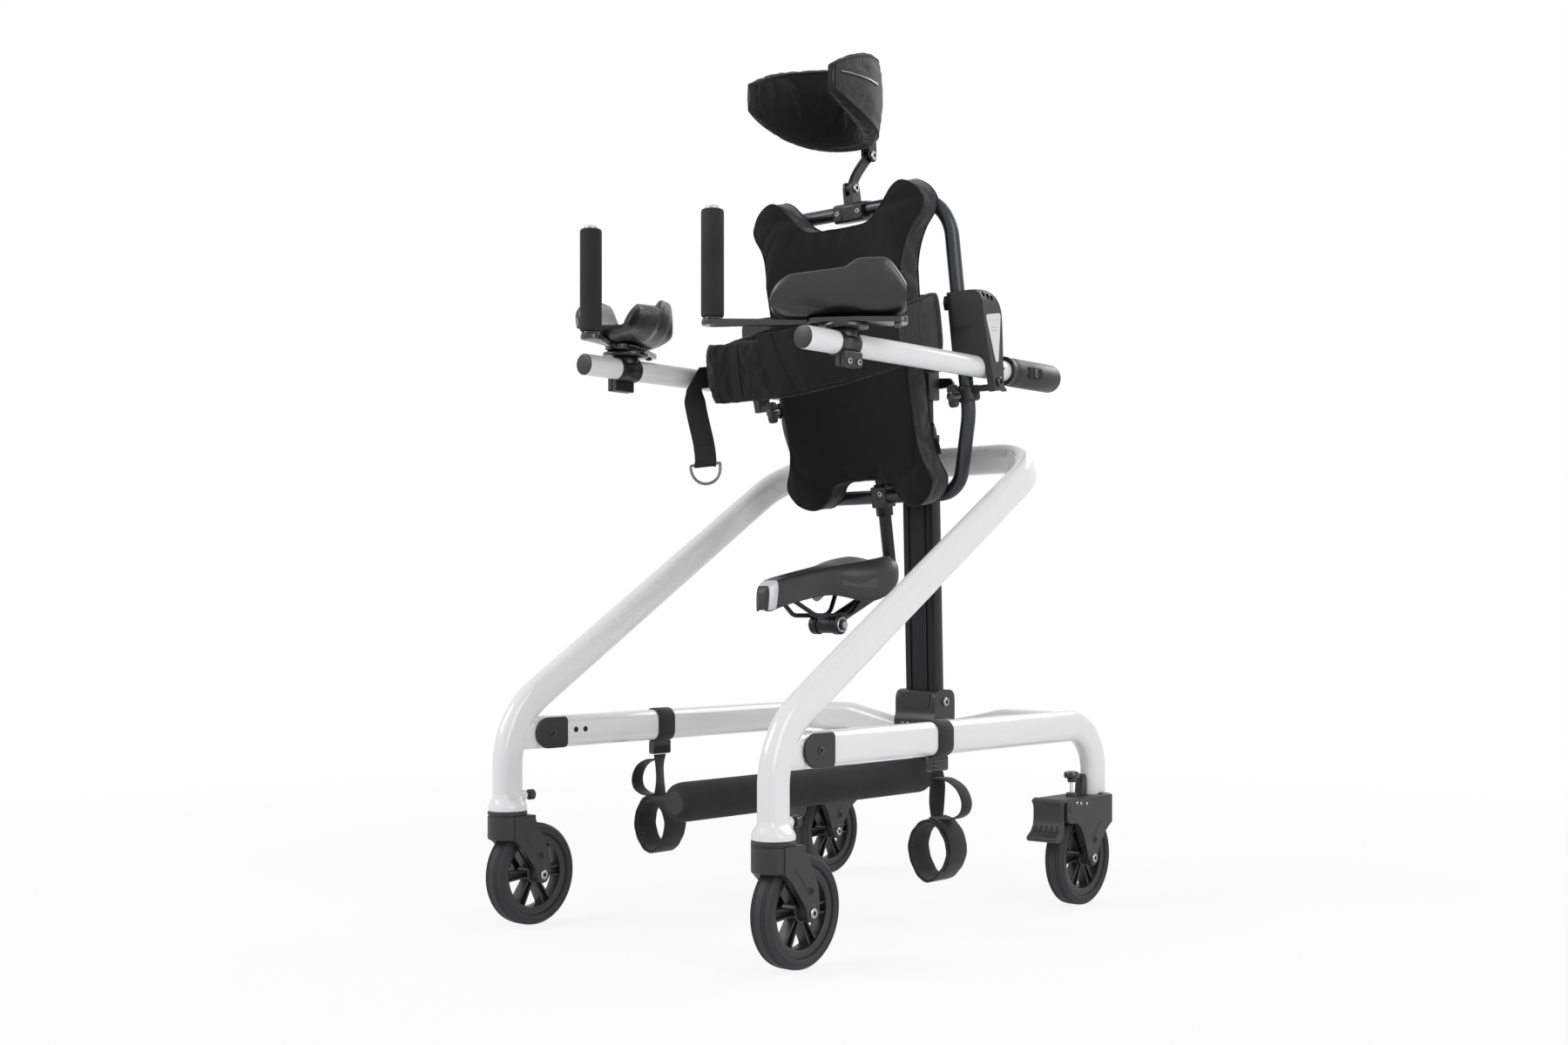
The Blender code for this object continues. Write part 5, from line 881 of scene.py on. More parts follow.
def make_housing(side):
    sign = SIGN[side]
    on_holder = partial(piece, body=f"holder_{side}", place=TRUNK)
    level = TRUNK.inverted() @ Matrix.Translation((sign * ARM_X, 0, ARM_Z))
    loop = (sign * LOOP_X, 0, 0)
    bore = rod(0.01105, 0.10, 0.33, "Z", loop, 40)
    low, high = sign * 0.150, sign * 0.250
    section = rounded([(sign * a, b) for a, b in
                       ((0.1675, 0.210), (0.2275, 0.203), (0.2275, 0.150), (0.2392, 0.150), (0.2392, 0.303),
                        (0.1675, 0.303))], [0.002, 0.006, 0.003, 0.003, 0.022, 0.004])
    cuts = []
    for face in (-1, 1):
        taper = [(0.032, 0.140), (0.0125, 0.140), (0.0125, 0.156), (0.0236, 0.252), (0.032, 0.252)]
        cuts.append(prism([(face * a, b) for a, b in taper], "X", low, high))
        turn = arc(0.1855, 0.0055, 0.018, 90, 180, 10)
        corner = [(0.150, 0.040), (0.1855, 0.040)] + turn + [(0.150, 0.0055)]
        cuts.append(prism([(sign * a, face * b) for a, b in corner], "Z", 0.190, 0.320))
    fall = spline([(-0.0236, 0.3031), (-0.0100, 0.3018), (0.0020, 0.2970), (0.0120, 0.2885), (0.0195, 0.2780),
                   (0.0237, 0.2660)], 5)
    over = [(-0.0300, 0.3031)] + flat(fall) + [(0.0320, 0.2660), (0.0320, 0.3150), (-0.0300, 0.3150)]
    cuts.append(prism(over, "X", low, high))
    # three slots are cut into the top; a near-black block at the floor of each is painted shade
    slots = []
    for k in range(3):
        y, z = -0.0185 + 0.0088 * k, 0.2900 - 0.0032 * k
        cuts.append(block((sign * 0.2292, y, z), (sign * 0.2450, y + 0.0060, z + 0.0072)))
        slots.append(block((sign * 0.2280, y + 0.0002, z + 0.0002), (sign * 0.2296, y + 0.0058, z + 0.0070)))
    cuts += [moved(rod(0.01625, -0.10, 0.35, "Y", sides=48), level), bore]
    on_holder(f"housing_body_{side}", prism(section, "Y", -0.0235, 0.0235), "plastic", cuts=cuts, edge=0.0020,
              steps=4, node=f"arm_housing_{side}")
    corners = [(-0.0035, 0.1925), (0.0035, 0.1925), (0.0200, 0.2600), (0.0180, 0.2640), (-0.0162, 0.2640),
               (-0.0180, 0.2600)]
    label = rounded(corners, [0.0045, 0.0045, 0.003, 0.004, 0.004, 0.003])
    label = prism(label, "X", sign * 0.2388, sign * 0.2398)
    on_holder(f"housing_label_{side}", label, "panel", edge=0.0003, steps=2)
    marks = [(-0.0105 + 0.007 * k, 0.2545, 0.0030, 0.0007) for k in range(4)]
    marks += [(-0.0065, 0.2435 - 0.0045 * k, 0.0130, 0.0005) for k in range(2)]
    shapes = [block((sign * 0.2396, y, z), (sign * 0.2400, y + wide, z + tall)) for y, z, wide, tall in marks]
    on_holder(f"housing_scale_{side}", join(shapes), "mark")
    # painted shade at the slot floors
    on_holder(f"housing_slots_{side}", join(slots), "dark")
    latch = rounded([(-0.012, 0.277), (0.004, 0.277), (0.006, 0.286), (0.002, 0.299), (-0.010, 0.299),
                     (-0.014, 0.288)], 0.003)
    on_holder(f"housing_latch_{side}", prism(latch, "X", sign * 0.1615, sign * 0.1705), "gloss", cuts=[bore],
              edge=0.0012)
    bolt = partial(screw, body=f"holder_{side}", place=TRUNK)
    bolt(f"housing_top_screw_{side}", (sign * 0.1985, -0.0145, 0.3020), "+Z", 0.0034, height=0.0012)
    # the clamp foot and its neck are in the darker black plastic, painted shade
    foot = [(0.01125, 0.138), (0.0165, 0.1385), (0.0190, 0.1410), (0.0192, 0.1598), (0.0180, 0.1617),
            (0.01125, 0.1620)]
    on_holder(f"clamp_foot_{side}", turned(foot, "Z", loop, 56, True), "moulded")
    neck = prism(card(sign * 0.186, -0.0115, sign * 0.2345, 0.0115, 0.004), "Z", 0.1515, 0.1610)
    tunnel = rod(0.0120, 0.10, 0.33, "Z", loop, 40)
    on_holder(f"clamp_neck_{side}", neck, "moulded", cuts=[tunnel], edge=0.0016)
    bolt(f"housing_tail_screw_{side}", (sign * 0.2390, 0.001, 0.163), way(sign), 0.0072, height=0.0035,
         finish="gloss")
    tab = rounded([(-0.006, 0.1545), (0.012, 0.1515), (0.0215, 0.1470), (0.0215, 0.1505), (0.013, 0.1585),
                   (-0.004, 0.1605)], 0.0015)
    on_holder(f"housing_tab_{side}", prism(tab, "X", sign * 0.2285, sign * 0.2375), "plastic", edge=0.0012)
    # painted shade: a thin near-black strip where the clamp foot is split
    split = block((loop[0] - 0.0012, -0.0196, 0.1378), (loop[0] + 0.0012, -0.0185, 0.1632))
    on_holder(f"clamp_split_{side}", split, "dark")


def make_wing_knob(side):
    place = TRUNK @ Matrix.Translation((SIGN[side] * LOOP_X, 0, 0.149))
    on_knob = partial(piece, body=f"wing_{side}", place=place)
    wing = spline([(0.0055, 0.0), (0.0072, 0.0085), (0.0060, 0.0150), (0.0, 0.0175), (-0.0060, 0.0150),
                   (-0.0072, 0.0085), (-0.0055, 0.0), (-0.0066, -0.0085), (-0.0050, -0.0150), (0.0, -0.0170),
                   (0.0050, -0.0150), (0.0066, -0.0085)], 5, True)
    # the wing knob is in the darker black plastic, painted shade
    on_knob(f"wing_{side}", prism(flat(wing), "Y", -0.0432, -0.0305), "moulded", edge=0.0024, steps=4,
            node=f"wing_knob_{side}")
    hub = [(0.0040, -0.0194), (0.0040, -0.0235), (0.0075, -0.0245), (0.0082, -0.0300), (0.0070, -0.0440),
           (0.0045, -0.0452), (0, -0.0455)]
    on_knob(f"wing_hub_{side}", turned(hub, "Y", sides=40), "gloss")


def make_arm(side):
    """Arm tube with its rear sleeve and the clamp of the forearm rest."""
    sign, body = SIGN[side], f"arm_{side}"
    on_arm = partial(piece, body=body, place=Matrix.Translation((sign * ARM_X, 0, ARM_Z)))
    tube = [(0.0135, -0.2725), (0.0158, -0.2725), (0.0160, -0.2720), (0.0160, 0.2995), (0.0135, 0.2995)]
    shape = turned(tube, "Y", sides=64, closed=True)
    on_arm(f"arm_tube_skin_{side}", shape, "white", node=f"arm_tube_{side}")
    cap = [(0, -0.2750), (0.0125, -0.2750), (0.0150, -0.2744), (0.0158, -0.2733), (0.0158, -0.2723),
           (0.0134, -0.2720), (0.0134, -0.263)]
    on_arm(f"arm_cap_{side}", turned(cap, "Y"), "plastic")
    # painted shade: a near-black disc on the tube where its hole is
    hole = toward([(0, 0.01604), (0.0020, 0.01604), (0.0026, 0.0156)], sign)
    on_arm(f"arm_hole_{side}", turned(hole, "X", (0, 0.1765, 0.0), 24), "dark")
    sleeve = [(0.0163, 0.1970), (0.0212, 0.1968), (0.0224, 0.1985), (0.0222, 0.2010), (0.0205, 0.2050),
              (0.0203, 0.2120), (0.0213, 0.2150), (0.0217, 0.2200), (0.0217, 0.3240), (0.0208, 0.3280),
              (0.0180, 0.3300), (0, 0.3300), (0, 0.3010), (0.0163, 0.3010)]
    # the sleeve is in the darker black plastic, painted shade
    on_arm(f"sleeve_{side}", turned(sleeve, "Y", sides=64), "moulded", node=f"arm_sleeve_{side}")
    # painted shade: the window is a near-black block on the sleeve's side, standing for the shade inside it
    window = rounded([(0.236, -0.0085), (0.272, -0.0085), (0.276, 0.0), (0.272, 0.0085), (0.236, 0.0085)],
                     0.002)
    shape = prism(window, "X", sign * 0.0185, sign * 0.0221)
    on_arm(f"sleeve_window_{side}", shape, "dark", edge=0.0005, steps=2)
    clip = rounded([(0.250, -0.0052), (0.2535, -0.0070), (0.2600, -0.0060), (0.2600, 0.0060),
                    (0.2535, 0.0070), (0.250, 0.0052)], 0.0015)
    on_arm(f"sleeve_clip_{side}", prism(clip, "X", sign * 0.0200, sign * 0.0236), "gloss", edge=0.001)
    bars = [block((sign * 0.0205, y, -0.0070), (sign * 0.0226, y + 0.0015, 0.0070)) for y in (0.2415, 0.2450)]
    on_arm(f"sleeve_bars_{side}", join(bars), "gloss", edge=0.0005, steps=2)
    holder = Matrix.Translation((sign * ARM_X, FOREARM_Y, ARM_Z))
    on_clamp = partial(piece, finish="plastic", body=body, place=holder)
    ring = [(0.0163, -0.0200), (0.0174, -0.0200), (0.0180, -0.0193), (0.0180, -0.0070), (0.0177, -0.0060)]
    shape = turned(mirrored(ring), "Y", sides=56, closed=True)
    on_clamp(f"clamp_ring_{side}", shape, node=f"forearm_clamp_{side}")
    boss = [(0, 0.0080), (0.0185, 0.0080), (0.0190, 0.0086), (0.0190, 0.0170), (0.0184, 0.0180), (0, 0.0182)]
    on_clamp(f"clamp_boss_{side}", turned(boss), cuts=[rod(0.0163, -0.03, 0.03, "Y", sides=56)])
    for k, off in enumerate((0.0012, 0.0105)):
        ear = card(sign * off, -0.0330, sign * (off + 0.0080), -0.012, 0.0022)
        on_clamp(f"clamp_ear_{side}_{k}", prism(ear, "Y", -0.0195, 0.0195), edge=0.0012)
    for letter, y in (("a", -0.0105), ("b", 0.0105)):
        centre = (sign * 0.0184, y, -0.0262)
        screw(f"clamp_screw_{side}_{letter}", centre, way(sign), 0.0046, body, 0.0030, place=holder)


def make_forearm(side):
    body, reach, foot, top = f"forearm_{side}", REACH[side], BAR_TOP, 1.014
    place = Matrix.Translation((SIGN[side] * ARM_X, FOREARM_Y, 0)) @ Matrix.Rotation(YAW[side], 4, "Z")
    on_bar = partial(piece, body=body, place=place)
    disc = [(0, 0.8429), (0.0305, 0.8429), (0.0338, 0.8437), (0.0350, 0.8452), (0.0350, 0.8477),
            (0.0342, 0.8491), (0.0300, 0.8501), (0, 0.8501)]
    on_bar(f"turntable_{side}", turned(disc, sides=72), "gloss")
    step = [(0, 0.8427), (0.0240, 0.8427), (0.0252, 0.8433), (0.0252, 0.8445)]
    on_bar(f"turntable_step_{side}", turned(step, sides=64), "steel")
    half = [(0.0175, -0.05), (0.023, -0.005), (0.024, 0.022), (0.021, 0.088)]
    radii = [0.02, 0.01, 0.01, 0.012]
    outline = arc(0, -reach, 0.015, -180, 0, 16)
    outline += rounded(half + [(-a, b) for a, b in reversed(half)], radii + radii[::-1])
    on_bar(f"bar_{side}", prism(outline, "Z", 0.8500, BAR_TOP), "bar", edge=0.0016, steps=4,
           node=f"forearm_bar_{side}")
    for letter, x in (("a", -0.010), ("b", 0.010)):
        screw(f"bar_screw_{side}_{letter}", (x, 0.074, 0.8502), "-Z", 0.0050, body, 0.0030, "gloss", place)
    stand = (0, -reach, 0)
    ring = [(0.0090, 0), (0.0135, 0), (0.0142, 0.0012), (0.0135, 0.0028), (0.0115, 0.0034), (0.0090, 0.0034)]
    ring = [(radius, foot + up) for radius, up in ring]
    on_bar(f"grip_base_{side}", turned(ring, "Z", stand, 48, True), "bar")
    foam = [(0.0090, foot + 0.0035), (0.0130, foot + 0.0035), (0.0151, foot + 0.0044),
            (0.0158, foot + 0.0065), (0.0158, top - 0.0085), (0.0151, top - 0.0062), (0.0134, top - 0.0050),
            (0.0098, top - 0.0050)]
    foam = turned(foam, "Z", stand, 64)
    grip = on_bar(f"grip_foam_{side}", foam, "foam", smooth=50, node=f"hand_grip_{side}")
    end = [(0.0100, top - 0.0060), (0.0098, top - 0.0016), (0.0086, top - 0.0003), (0, top)]
    on_bar(f"grip_cap_{side}", turned(end, "Z", stand, 40), "satin")
    on_bar(f"trough_shell_{side}", trough_shape(), "trough", smooth=50, edge=0.0028, steps=4, bend=50,
           node=f"trough_{side}")


def trough_shape():
    """A U-shaped arm rest made in a mould: low at the front, with higher wings behind."""
    stations = [(0.0, 0.0395, 0.0180, 0.0125), (0.025, 0.0430, 0.0300, 0.0060),
                (0.07, 0.0462, 0.0400, 0.0018), (0.14, 0.0485, 0.0482, 0.0), (0.20, 0.0490, 0.0505, 0.0),
                (0.50, 0.0502, 0.0570, 0.0), (0.555, 0.0506, 0.0590, 0.0), (0.60, 0.0510, 0.0642, 0.0),
                (0.645, 0.0515, 0.0688, 0.0), (0.70, 0.0520, 0.0702, 0.0), (0.82, 0.0522, 0.0704, 0.0),
                (0.86, 0.0516, 0.0688, 0.0008), (0.90, 0.0506, 0.0622, 0.0022),
                (0.95, 0.0488, 0.0500, 0.0048), (0.985, 0.0468, 0.0400, 0.0082),
                (1.0, 0.0455, 0.0345, 0.0110)]
    curve = spline([(share, half, height) for share, half, height, _ in stations], 5)
    lifts = spline([(share, low) for share, _, _, low in stations], 5)
    wall, front, length, count, rings = 0.0068, -0.098, 0.184, 26, []
    for (share, half, height), lift in zip(curve, lifts):
        y, low = front + length * share, max(0.0, lift.y)
        outer, inner = [], []
        for k in range(count + 1):
            angle = math.pi * k / count
            bend = max(0.0, math.sin(angle)) ** 0.72
            for edge, side, floor in ((outer, half, low), (inner, half - wall, low + wall)):
                edge.append(Vector((-side * math.cos(angle), y, height * (1 - bend) + floor * bend)))
        rims = []
        for first, second in ((outer[-1], inner[-1]), (inner[0], outer[0])):
            rims.append([first.lerp(second, t) + Vector((0, 0, 0.0034 * math.sin(math.pi * t)))
                         for t in (0.15, 0.35, 0.5, 0.65, 0.85)])
        up = Vector((0, 0, BAR_TOP + 0.0003))
        rings.append([p + up for p in outer + rims[0] + inner[::-1] + rims[1]])
    return loft(rings)


# Saddle


SADDLE_FRONT = -0.119
SADDLE_LENGTH = 0.265


def saddle_top(share):
    return SADDLE_PIVOT.z + 0.063 + 0.056 * share - 0.014 * share * share - 0.008 * math.exp(-share * 22)


def saddle_skirt(share):
    return 0.040 + 0.020 * math.exp(-((share - 0.74) / 0.16) ** 2) - 0.012 * max(0.0, share - 0.86) / 0.14


def saddle_half(share):
    flare = 1 / (1 + math.exp(-(share - 0.66) * 13))
    blunt = math.sqrt(max(0.0, 1 - abs((share - 0.5) / 0.5008) ** 11))
    return max((0.019 + 0.006 * share + 0.051 * flare) * blunt, 0.0009)


def saddle_ring(station):
    """The section at a share of the length: over the top from the middle, round the lip and back under."""
    keys = [(0.0, 0.0), (0.16, 0.0), (0.45, 0.0), (0.66, 0.0), (0.82, 0.09), (0.93, 0.22), (0.985, 0.42),
            (1.0, 0.66), (0.99, 0.86), (0.955, 0.985), (0.90, 1.0), (0.845, 0.97)]
    nose, tail = max(0.0, 1 - station / 0.045), max(0.0, (station - 0.94) / 0.06)
    squeeze = 0.46 + 0.54 * math.sqrt(max(0.0, 1 - nose ** 2)) * math.sqrt(max(0.0, 1 - tail ** 2))
    right = []
    for out, down, _ in spline(keys, 4):
        up = max(0.0, 1 - down)
        share = station + 0.022 * math.exp(-((station - 0.062) / 0.05) ** 2) * up
        top, deep = saddle_top(share), saddle_skirt(share)
        groove = 0.0085 * math.sin(math.pi * min(1.0, max(0.0, (share - 0.10) / 0.98))) ** 0.9
        dish = groove * math.exp(-(out / 0.30) ** 2) * (0.6 + 0.4 * up)
        lobe = 0.0040 * math.exp(-((out - 0.60) / 0.26) ** 2) * max(0.0, (share - 0.55) / 0.45) ** 1.3
        z = -deep * down + (lobe - dish) * (1 if down < 0.5 else 0)
        notch = 0.010 * tail * math.exp(-(out / 0.22) ** 2)
        right.append(Vector((saddle_half(share) * out, SADDLE_FRONT + SADDLE_LENGTH * share - notch,
                             top - deep * 0.42 + (z + deep * 0.42) * squeeze)))
    low = right[-1].z
    floor = min(saddle_top(station) - 0.019, low + 0.021 * min(1.0, max(0.0, station / 0.04 - 0.5)))
    for a, b in ((0.79, 0.45), (0.70, 0.16), (0.55, 0.0), (0.28, 0.0), (0.0, 0.0)):
        y = SADDLE_FRONT + SADDLE_LENGTH * station
        right.append(Vector((saddle_half(station) * a, y, floor + (low - floor) * b)))
    return right + [Vector((-x, y, z)) for x, y, z in reversed(right[1:-1])]


def make_saddle():
    """A bicycle type seat: narrow nose with a bright patch, skirted flanks, a dished rear with two lobes."""
    patch_start, patch_end = 0.014, 0.064
    stations = [0.0, 0.0012, 0.0035, 0.007, 0.0105, patch_start, 0.019, 0.026, 0.036, 0.048, 0.057, patch_end,
                0.072, 0.085, 0.10, 0.12] + [0.12 + 0.82 * k / 44 for k in range(1, 45)]
    stations += [0.952, 0.964, 0.974, 0.982, 0.989, 0.994, 0.9975, 1.0]
    rings = [saddle_ring(station) for station in stations]
    around = len(rings[0])
    lip = around // 2 - 5
    seat = piece("saddle_cover", loft(rings), "saddle", "seat", smooth=62)
    seat.data.materials.append(M["patch"])
    seat.data.materials.append(M["plastic"])
    first, last = stations.index(patch_start), stations.index(patch_end)
    for n, face in enumerate(seat.data.polygons):
        row, column = divmod(n, around)
        if row >= len(rings) - 1 or lip <= column < around - lip:
            face.material_index = 2
        elif first <= row < last and not lip - 7 <= column < around - lip + 7:
            face.material_index = 1
    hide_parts("saddle")
    over = list(range(around - lip, around)) + list(range(lip + 1))
    for name, row, radius, columns in (("nose", first, 0.0010, over), ("patch", last, 0.0007, over[4:-4])):
        bead = sweep([rings[row][k] for k in columns], circle(radius, 10), (0, 1, 0))
        piece(f"saddle_bead_{name}", bead, "plastic", "seat", smooth=60)
    for letter, side in BOTH:
        edge = [Vector((side * abs(x), y, z)) for x, y, z in (ring[lip - 3] for ring in rings[3:-3])]
        bead = sweep(edge, circle(0.0011, 10), (0, 0, 1))
        piece(f"saddle_edge_{letter}", bead, "plastic", "seat", smooth=60)


def make_seat_rails():
    on_seat = partial(piece, body="seat")
    x, pivot, bottom = 0.022, SADDLE_PIVOT, SADDLE_PIVOT.z + 0.014
    (nose_y, nose_z), (tail_y, tail_z) = ((SADDLE_FRONT + share * SADDLE_LENGTH, saddle_top(share) - 0.0245)
                                          for share in (0.16, 0.86))
    for letter, side in BOTH:
        run = [(side * x * 0.36, nose_y, nose_z), (side * x, -0.019, bottom), (side * x, 0.066, bottom),
               (side * x * 1.5, tail_y, tail_z)]
        rail = sweep(bent(run, [0.03, 0.03], 10), circle(0.0035, 16), (0, 0, 1))
        on_seat(f"seat_rail_{letter}", rail, "steel", node="saddle_clamp" if side > 0 else None)
        cheek = [(0, 0.0145), (0.0138, 0.0145), (0.0150, 0.0157), (0.0150, 0.0260), (0.0128, 0.0282),
                 (0.0100, 0.0290), (0, 0.0290)]
        on_seat(f"seat_cheek_{letter}", turned(toward(cheek, side), "X", pivot), "steel")
        nut = toward([(0, 0.0355), (0.0052, 0.0355), (0.0060, 0.0347), (0.0060, 0.0285)], side)
        on_seat(f"seat_nut_{letter}", turned(nut, "X", pivot, 6), "bolt", smooth=30)
        washer = toward([(0.0075, 0.0282), (0.0100, 0.0294), (0.0115, 0.0286)], side)
        on_seat(f"seat_washer_{letter}", turned(washer, "X", pivot, 40), "bolt", smooth=40)
        cradle = rounded([(0.100, 0.503), (0.118, 0.506), (0.116, 0.520), (0.098, 0.517)], 0.003)
        shape = prism(cradle, "X", side * 0.027, side * 0.040)
        on_seat(f"rail_seat_{letter}", shape, "plastic", edge=0.001, steps=2)
    on_seat("seat_axle", rod(0.0038, -0.0360, 0.0360, "X", pivot, 24), "bolt")
    nose = [(-x * 0.36, nose_y, nose_z), (0, nose_y - 0.009, nose_z + 0.0012), (x * 0.36, nose_y, nose_z)]
    on_seat("seat_rail_nose", sweep(spline(nose, 8), circle(0.0034, 16), (0, 0, 1)), "steel")


# Ankle straps


def make_ankle(side):
    sign, body = SIGN[side], f"cuff_{side}"
    x, y, top = sign * HALF_TRACK, {"left": -0.032, "right": -0.070}[side], 0.2325
    oval = [(x + a, y, RAIL_Z + b) for a, b in flat_oval(0.0506, 0.0316, 48)]
    strap = on_base(f"rail_webbing_{side}", ribbon(oval + oval[:1], 0.035, 0.0022), "webbing", smooth=60,
                    node=f"ankle_strap_{side}")
    frame_outline = card(y - 0.0195, 0.2337, y + 0.0195, 0.2551, 0.004)
    on_base(f"buckle_{side}", prism(frame_outline, "X", x - 0.0058, x + 0.0058), "gloss", edge=0.0016)
    for k, z in enumerate((0.2395, 0.2450, 0.2505)):
        bar = rod(0.0016, y - 0.0165, y + 0.0165, "Y", (x + sign * 0.0062, 0, z), 16)
        on_base(f"buckle_bar_{side}_{k}", bar, "plastic")
    on_cuff = partial(piece, body=body, smooth=60)
    neck = [(x, y, top), (x + sign * 0.0006, y, 0.215), (x - sign * 0.0006, y, 0.190), (x, y, 0.1668)]
    turns = [Vector((sign * 0.35 * math.sin(math.pi * k / 18), 1, 0)) for k in range(19)]
    on_cuff(f"cuff_strap_{side}", ribbon(spline(neck, 6), 0.026, 0.0022, turns), "webbing")
    loop = [(0.0012, 0.0085), (0.020, 0.0095), (0.0400, 0.0200), (0.0502, 0.038), (0.0475, 0.0540),
            (0.034, 0.0628), (0.018, 0.0650), (0.0012, 0.0655)]
    path = spline([(x + sign * a, y, top - drop) for a, drop in loop], 6)
    on_cuff(f"cuff_loop_{side}", ribbon(path, 0.0240, 0.0020), "webbing")
    centre, ring, count = Vector((x, y, 0.1235)), [], 72
    for k in range(count + 1):
        angle = 2 * math.pi * k / count + math.pi / 2
        wobble = 1 + 0.035 * math.cos(4 * angle + sign * 0.35) ** 3 + 0.015 * math.sin(3 * angle + 0.7)
        ring.append(Vector((0.0325 * math.cos(angle), 0, 0.0422 * math.sin(angle))) * wobble)
    cuff = on_cuff(f"cuff_band_{side}", ribbon([centre + p for p in ring], 0.047, 0.0026), "webbing",
                   node=f"ankle_cuff_{side}")
    on_cuff(f"cuff_lining_{side}", ribbon([centre + p * 0.935 for p in ring], 0.043, 0.0026), "gusset")
    flap = []
    for i, p in enumerate(ring[:27]):
        shift = p * (1.062 + 0.03 * math.sin(math.pi * i / 26))
        flap.append(centre + Vector((-sign * shift.x, 0, shift.z)))
    on_cuff(f"cuff_flap_{side}", ribbon(flap, 0.040, 0.0022), "webbing")


# Soft goods


def resampled(path, count):
    """count + 1 points at equal steps along a path."""
    lengths = [0.0]
    for a, b in zip(path, path[1:]):
        lengths.append(lengths[-1] + (b - a).length)
    made, i = [], 0
    for k in range(count + 1):
        want = lengths[-1] * k / count
        while i < len(path) - 2 and lengths[i + 1] < want:
            i += 1
        span = lengths[i + 1] - lengths[i]
        made.append(path[i].lerp(path[i + 1], (want - lengths[i]) / span if span else 0.0))
    return made


def puff(obj, loose, reach, pressure, shrink):
    """Stuffs a closed cover: cloth under pressure, sewn down where loose is 0.

    reach limits how far each point moves.
    """
    mesh, scene = obj.data, bpy.context.scene
    seam = obj.vertex_groups.new(name="seam")
    for i, share in enumerate(loose):
        seam.add([i], 1 - share, "REPLACE")
    step = obj.modifiers.new("stuffing", "CLOTH")
    step.settings.quality = 5
    step.settings.use_pressure = True
    step.settings.uniform_pressure_force = pressure
    step.settings.vertex_group_mass = "seam"
    step.settings.shrink_min = shrink
    step.settings.effector_weights.gravity = 0
    step.collision_settings.use_collision = False
    step.point_cache.frame_start = 1
    step.point_cache.frame_end = 20
    for frame_number in range(1, 21):
        scene.frame_set(frame_number)
    done = obj.evaluated_get(bpy.context.evaluated_depsgraph_get()).data
    moves = [after.co - before.co for before, after in zip(mesh.vertices, done.vertices)]
    obj.modifiers.remove(step)
    obj.vertex_groups.remove(seam)
    scene.frame_set(1)
    for vertex, move, limit in zip(mesh.vertices, moves, reach):
        if limit > 0:
            vertex.co += move * (limit / max(limit, move.length))
    mesh.update()


def subdivided(obj):
    step = obj.modifiers.new("smooth", "SUBSURF")
    step.levels = step.render_levels = 1


def slab(front, back, rows):
    """A closed cover of two grids of points with rows of side faces between their edges."""
    height, width = len(front), len(front[0])
    rim = ([(0, i) for i in range(width - 1)] + [(j, width - 1) for j in range(height - 1)]
           + [(height - 1, i) for i in range(width - 1, 0, -1)] + [(j, 0) for j in range(height - 1, 0, -1)])
    points = [p for sheet in (front, back) for row in sheet for p in row]
    size = height * width
    faces = []
    for start in (0, size):
        for j in range(height - 1):
            for a in range(start + j * width, start + (j + 1) * width - 1):
                faces.append([a, a + 1, a + width + 1, a + width])
    loops = [[j * width + i for j, i in rim]]
    for k in range(1, rows):
        loops.append([len(points) + n for n in range(len(rim))])
        points += [front[j][i].lerp(back[j][i], k / rows) for j, i in rim]
    loops.append([size + n for n in loops[0]])
    for first, second in zip(loops, loops[1:]):
        for n in range(len(rim)):
            m = (n + 1) % len(rim)
            faces.append([first[n], first[m], second[m], second[n]])
    return points, faces, loops


def stitches(name, path, out):
    """A row of short raised threads along a path on the trunk. out is the way the cloth faces."""
    pitch, length = 0.0034, 0.0023
    count = max(2, int(sum((b - a).length for a, b in zip(path, path[1:])) / pitch))
    places = resampled(path, count)
    shapes = []
    for here, ahead in zip(places, places[1:]):
        along = (ahead - here).normalized()
        across = along.cross(out).normalized()
        middle = here.lerp(ahead, 0.5)
        rings = []
        for shift, radius, lift in ((-0.5, 0.00018, -0.0001), (-0.25, 0.00036, 0.00022),
                                    (0.25, 0.00036, 0.00022), (0.5, 0.00018, -0.0001)):
            centre = middle + along * (length * shift) + out * lift
            angles = [math.pi * k / 3 for k in range(6)]
            rings.append([centre + (across * math.cos(a) + out * math.sin(a)) * radius for a in angles])
        shapes.append(loft(rings))
    on_trunk(name, join(shapes), "thread", smooth=60)


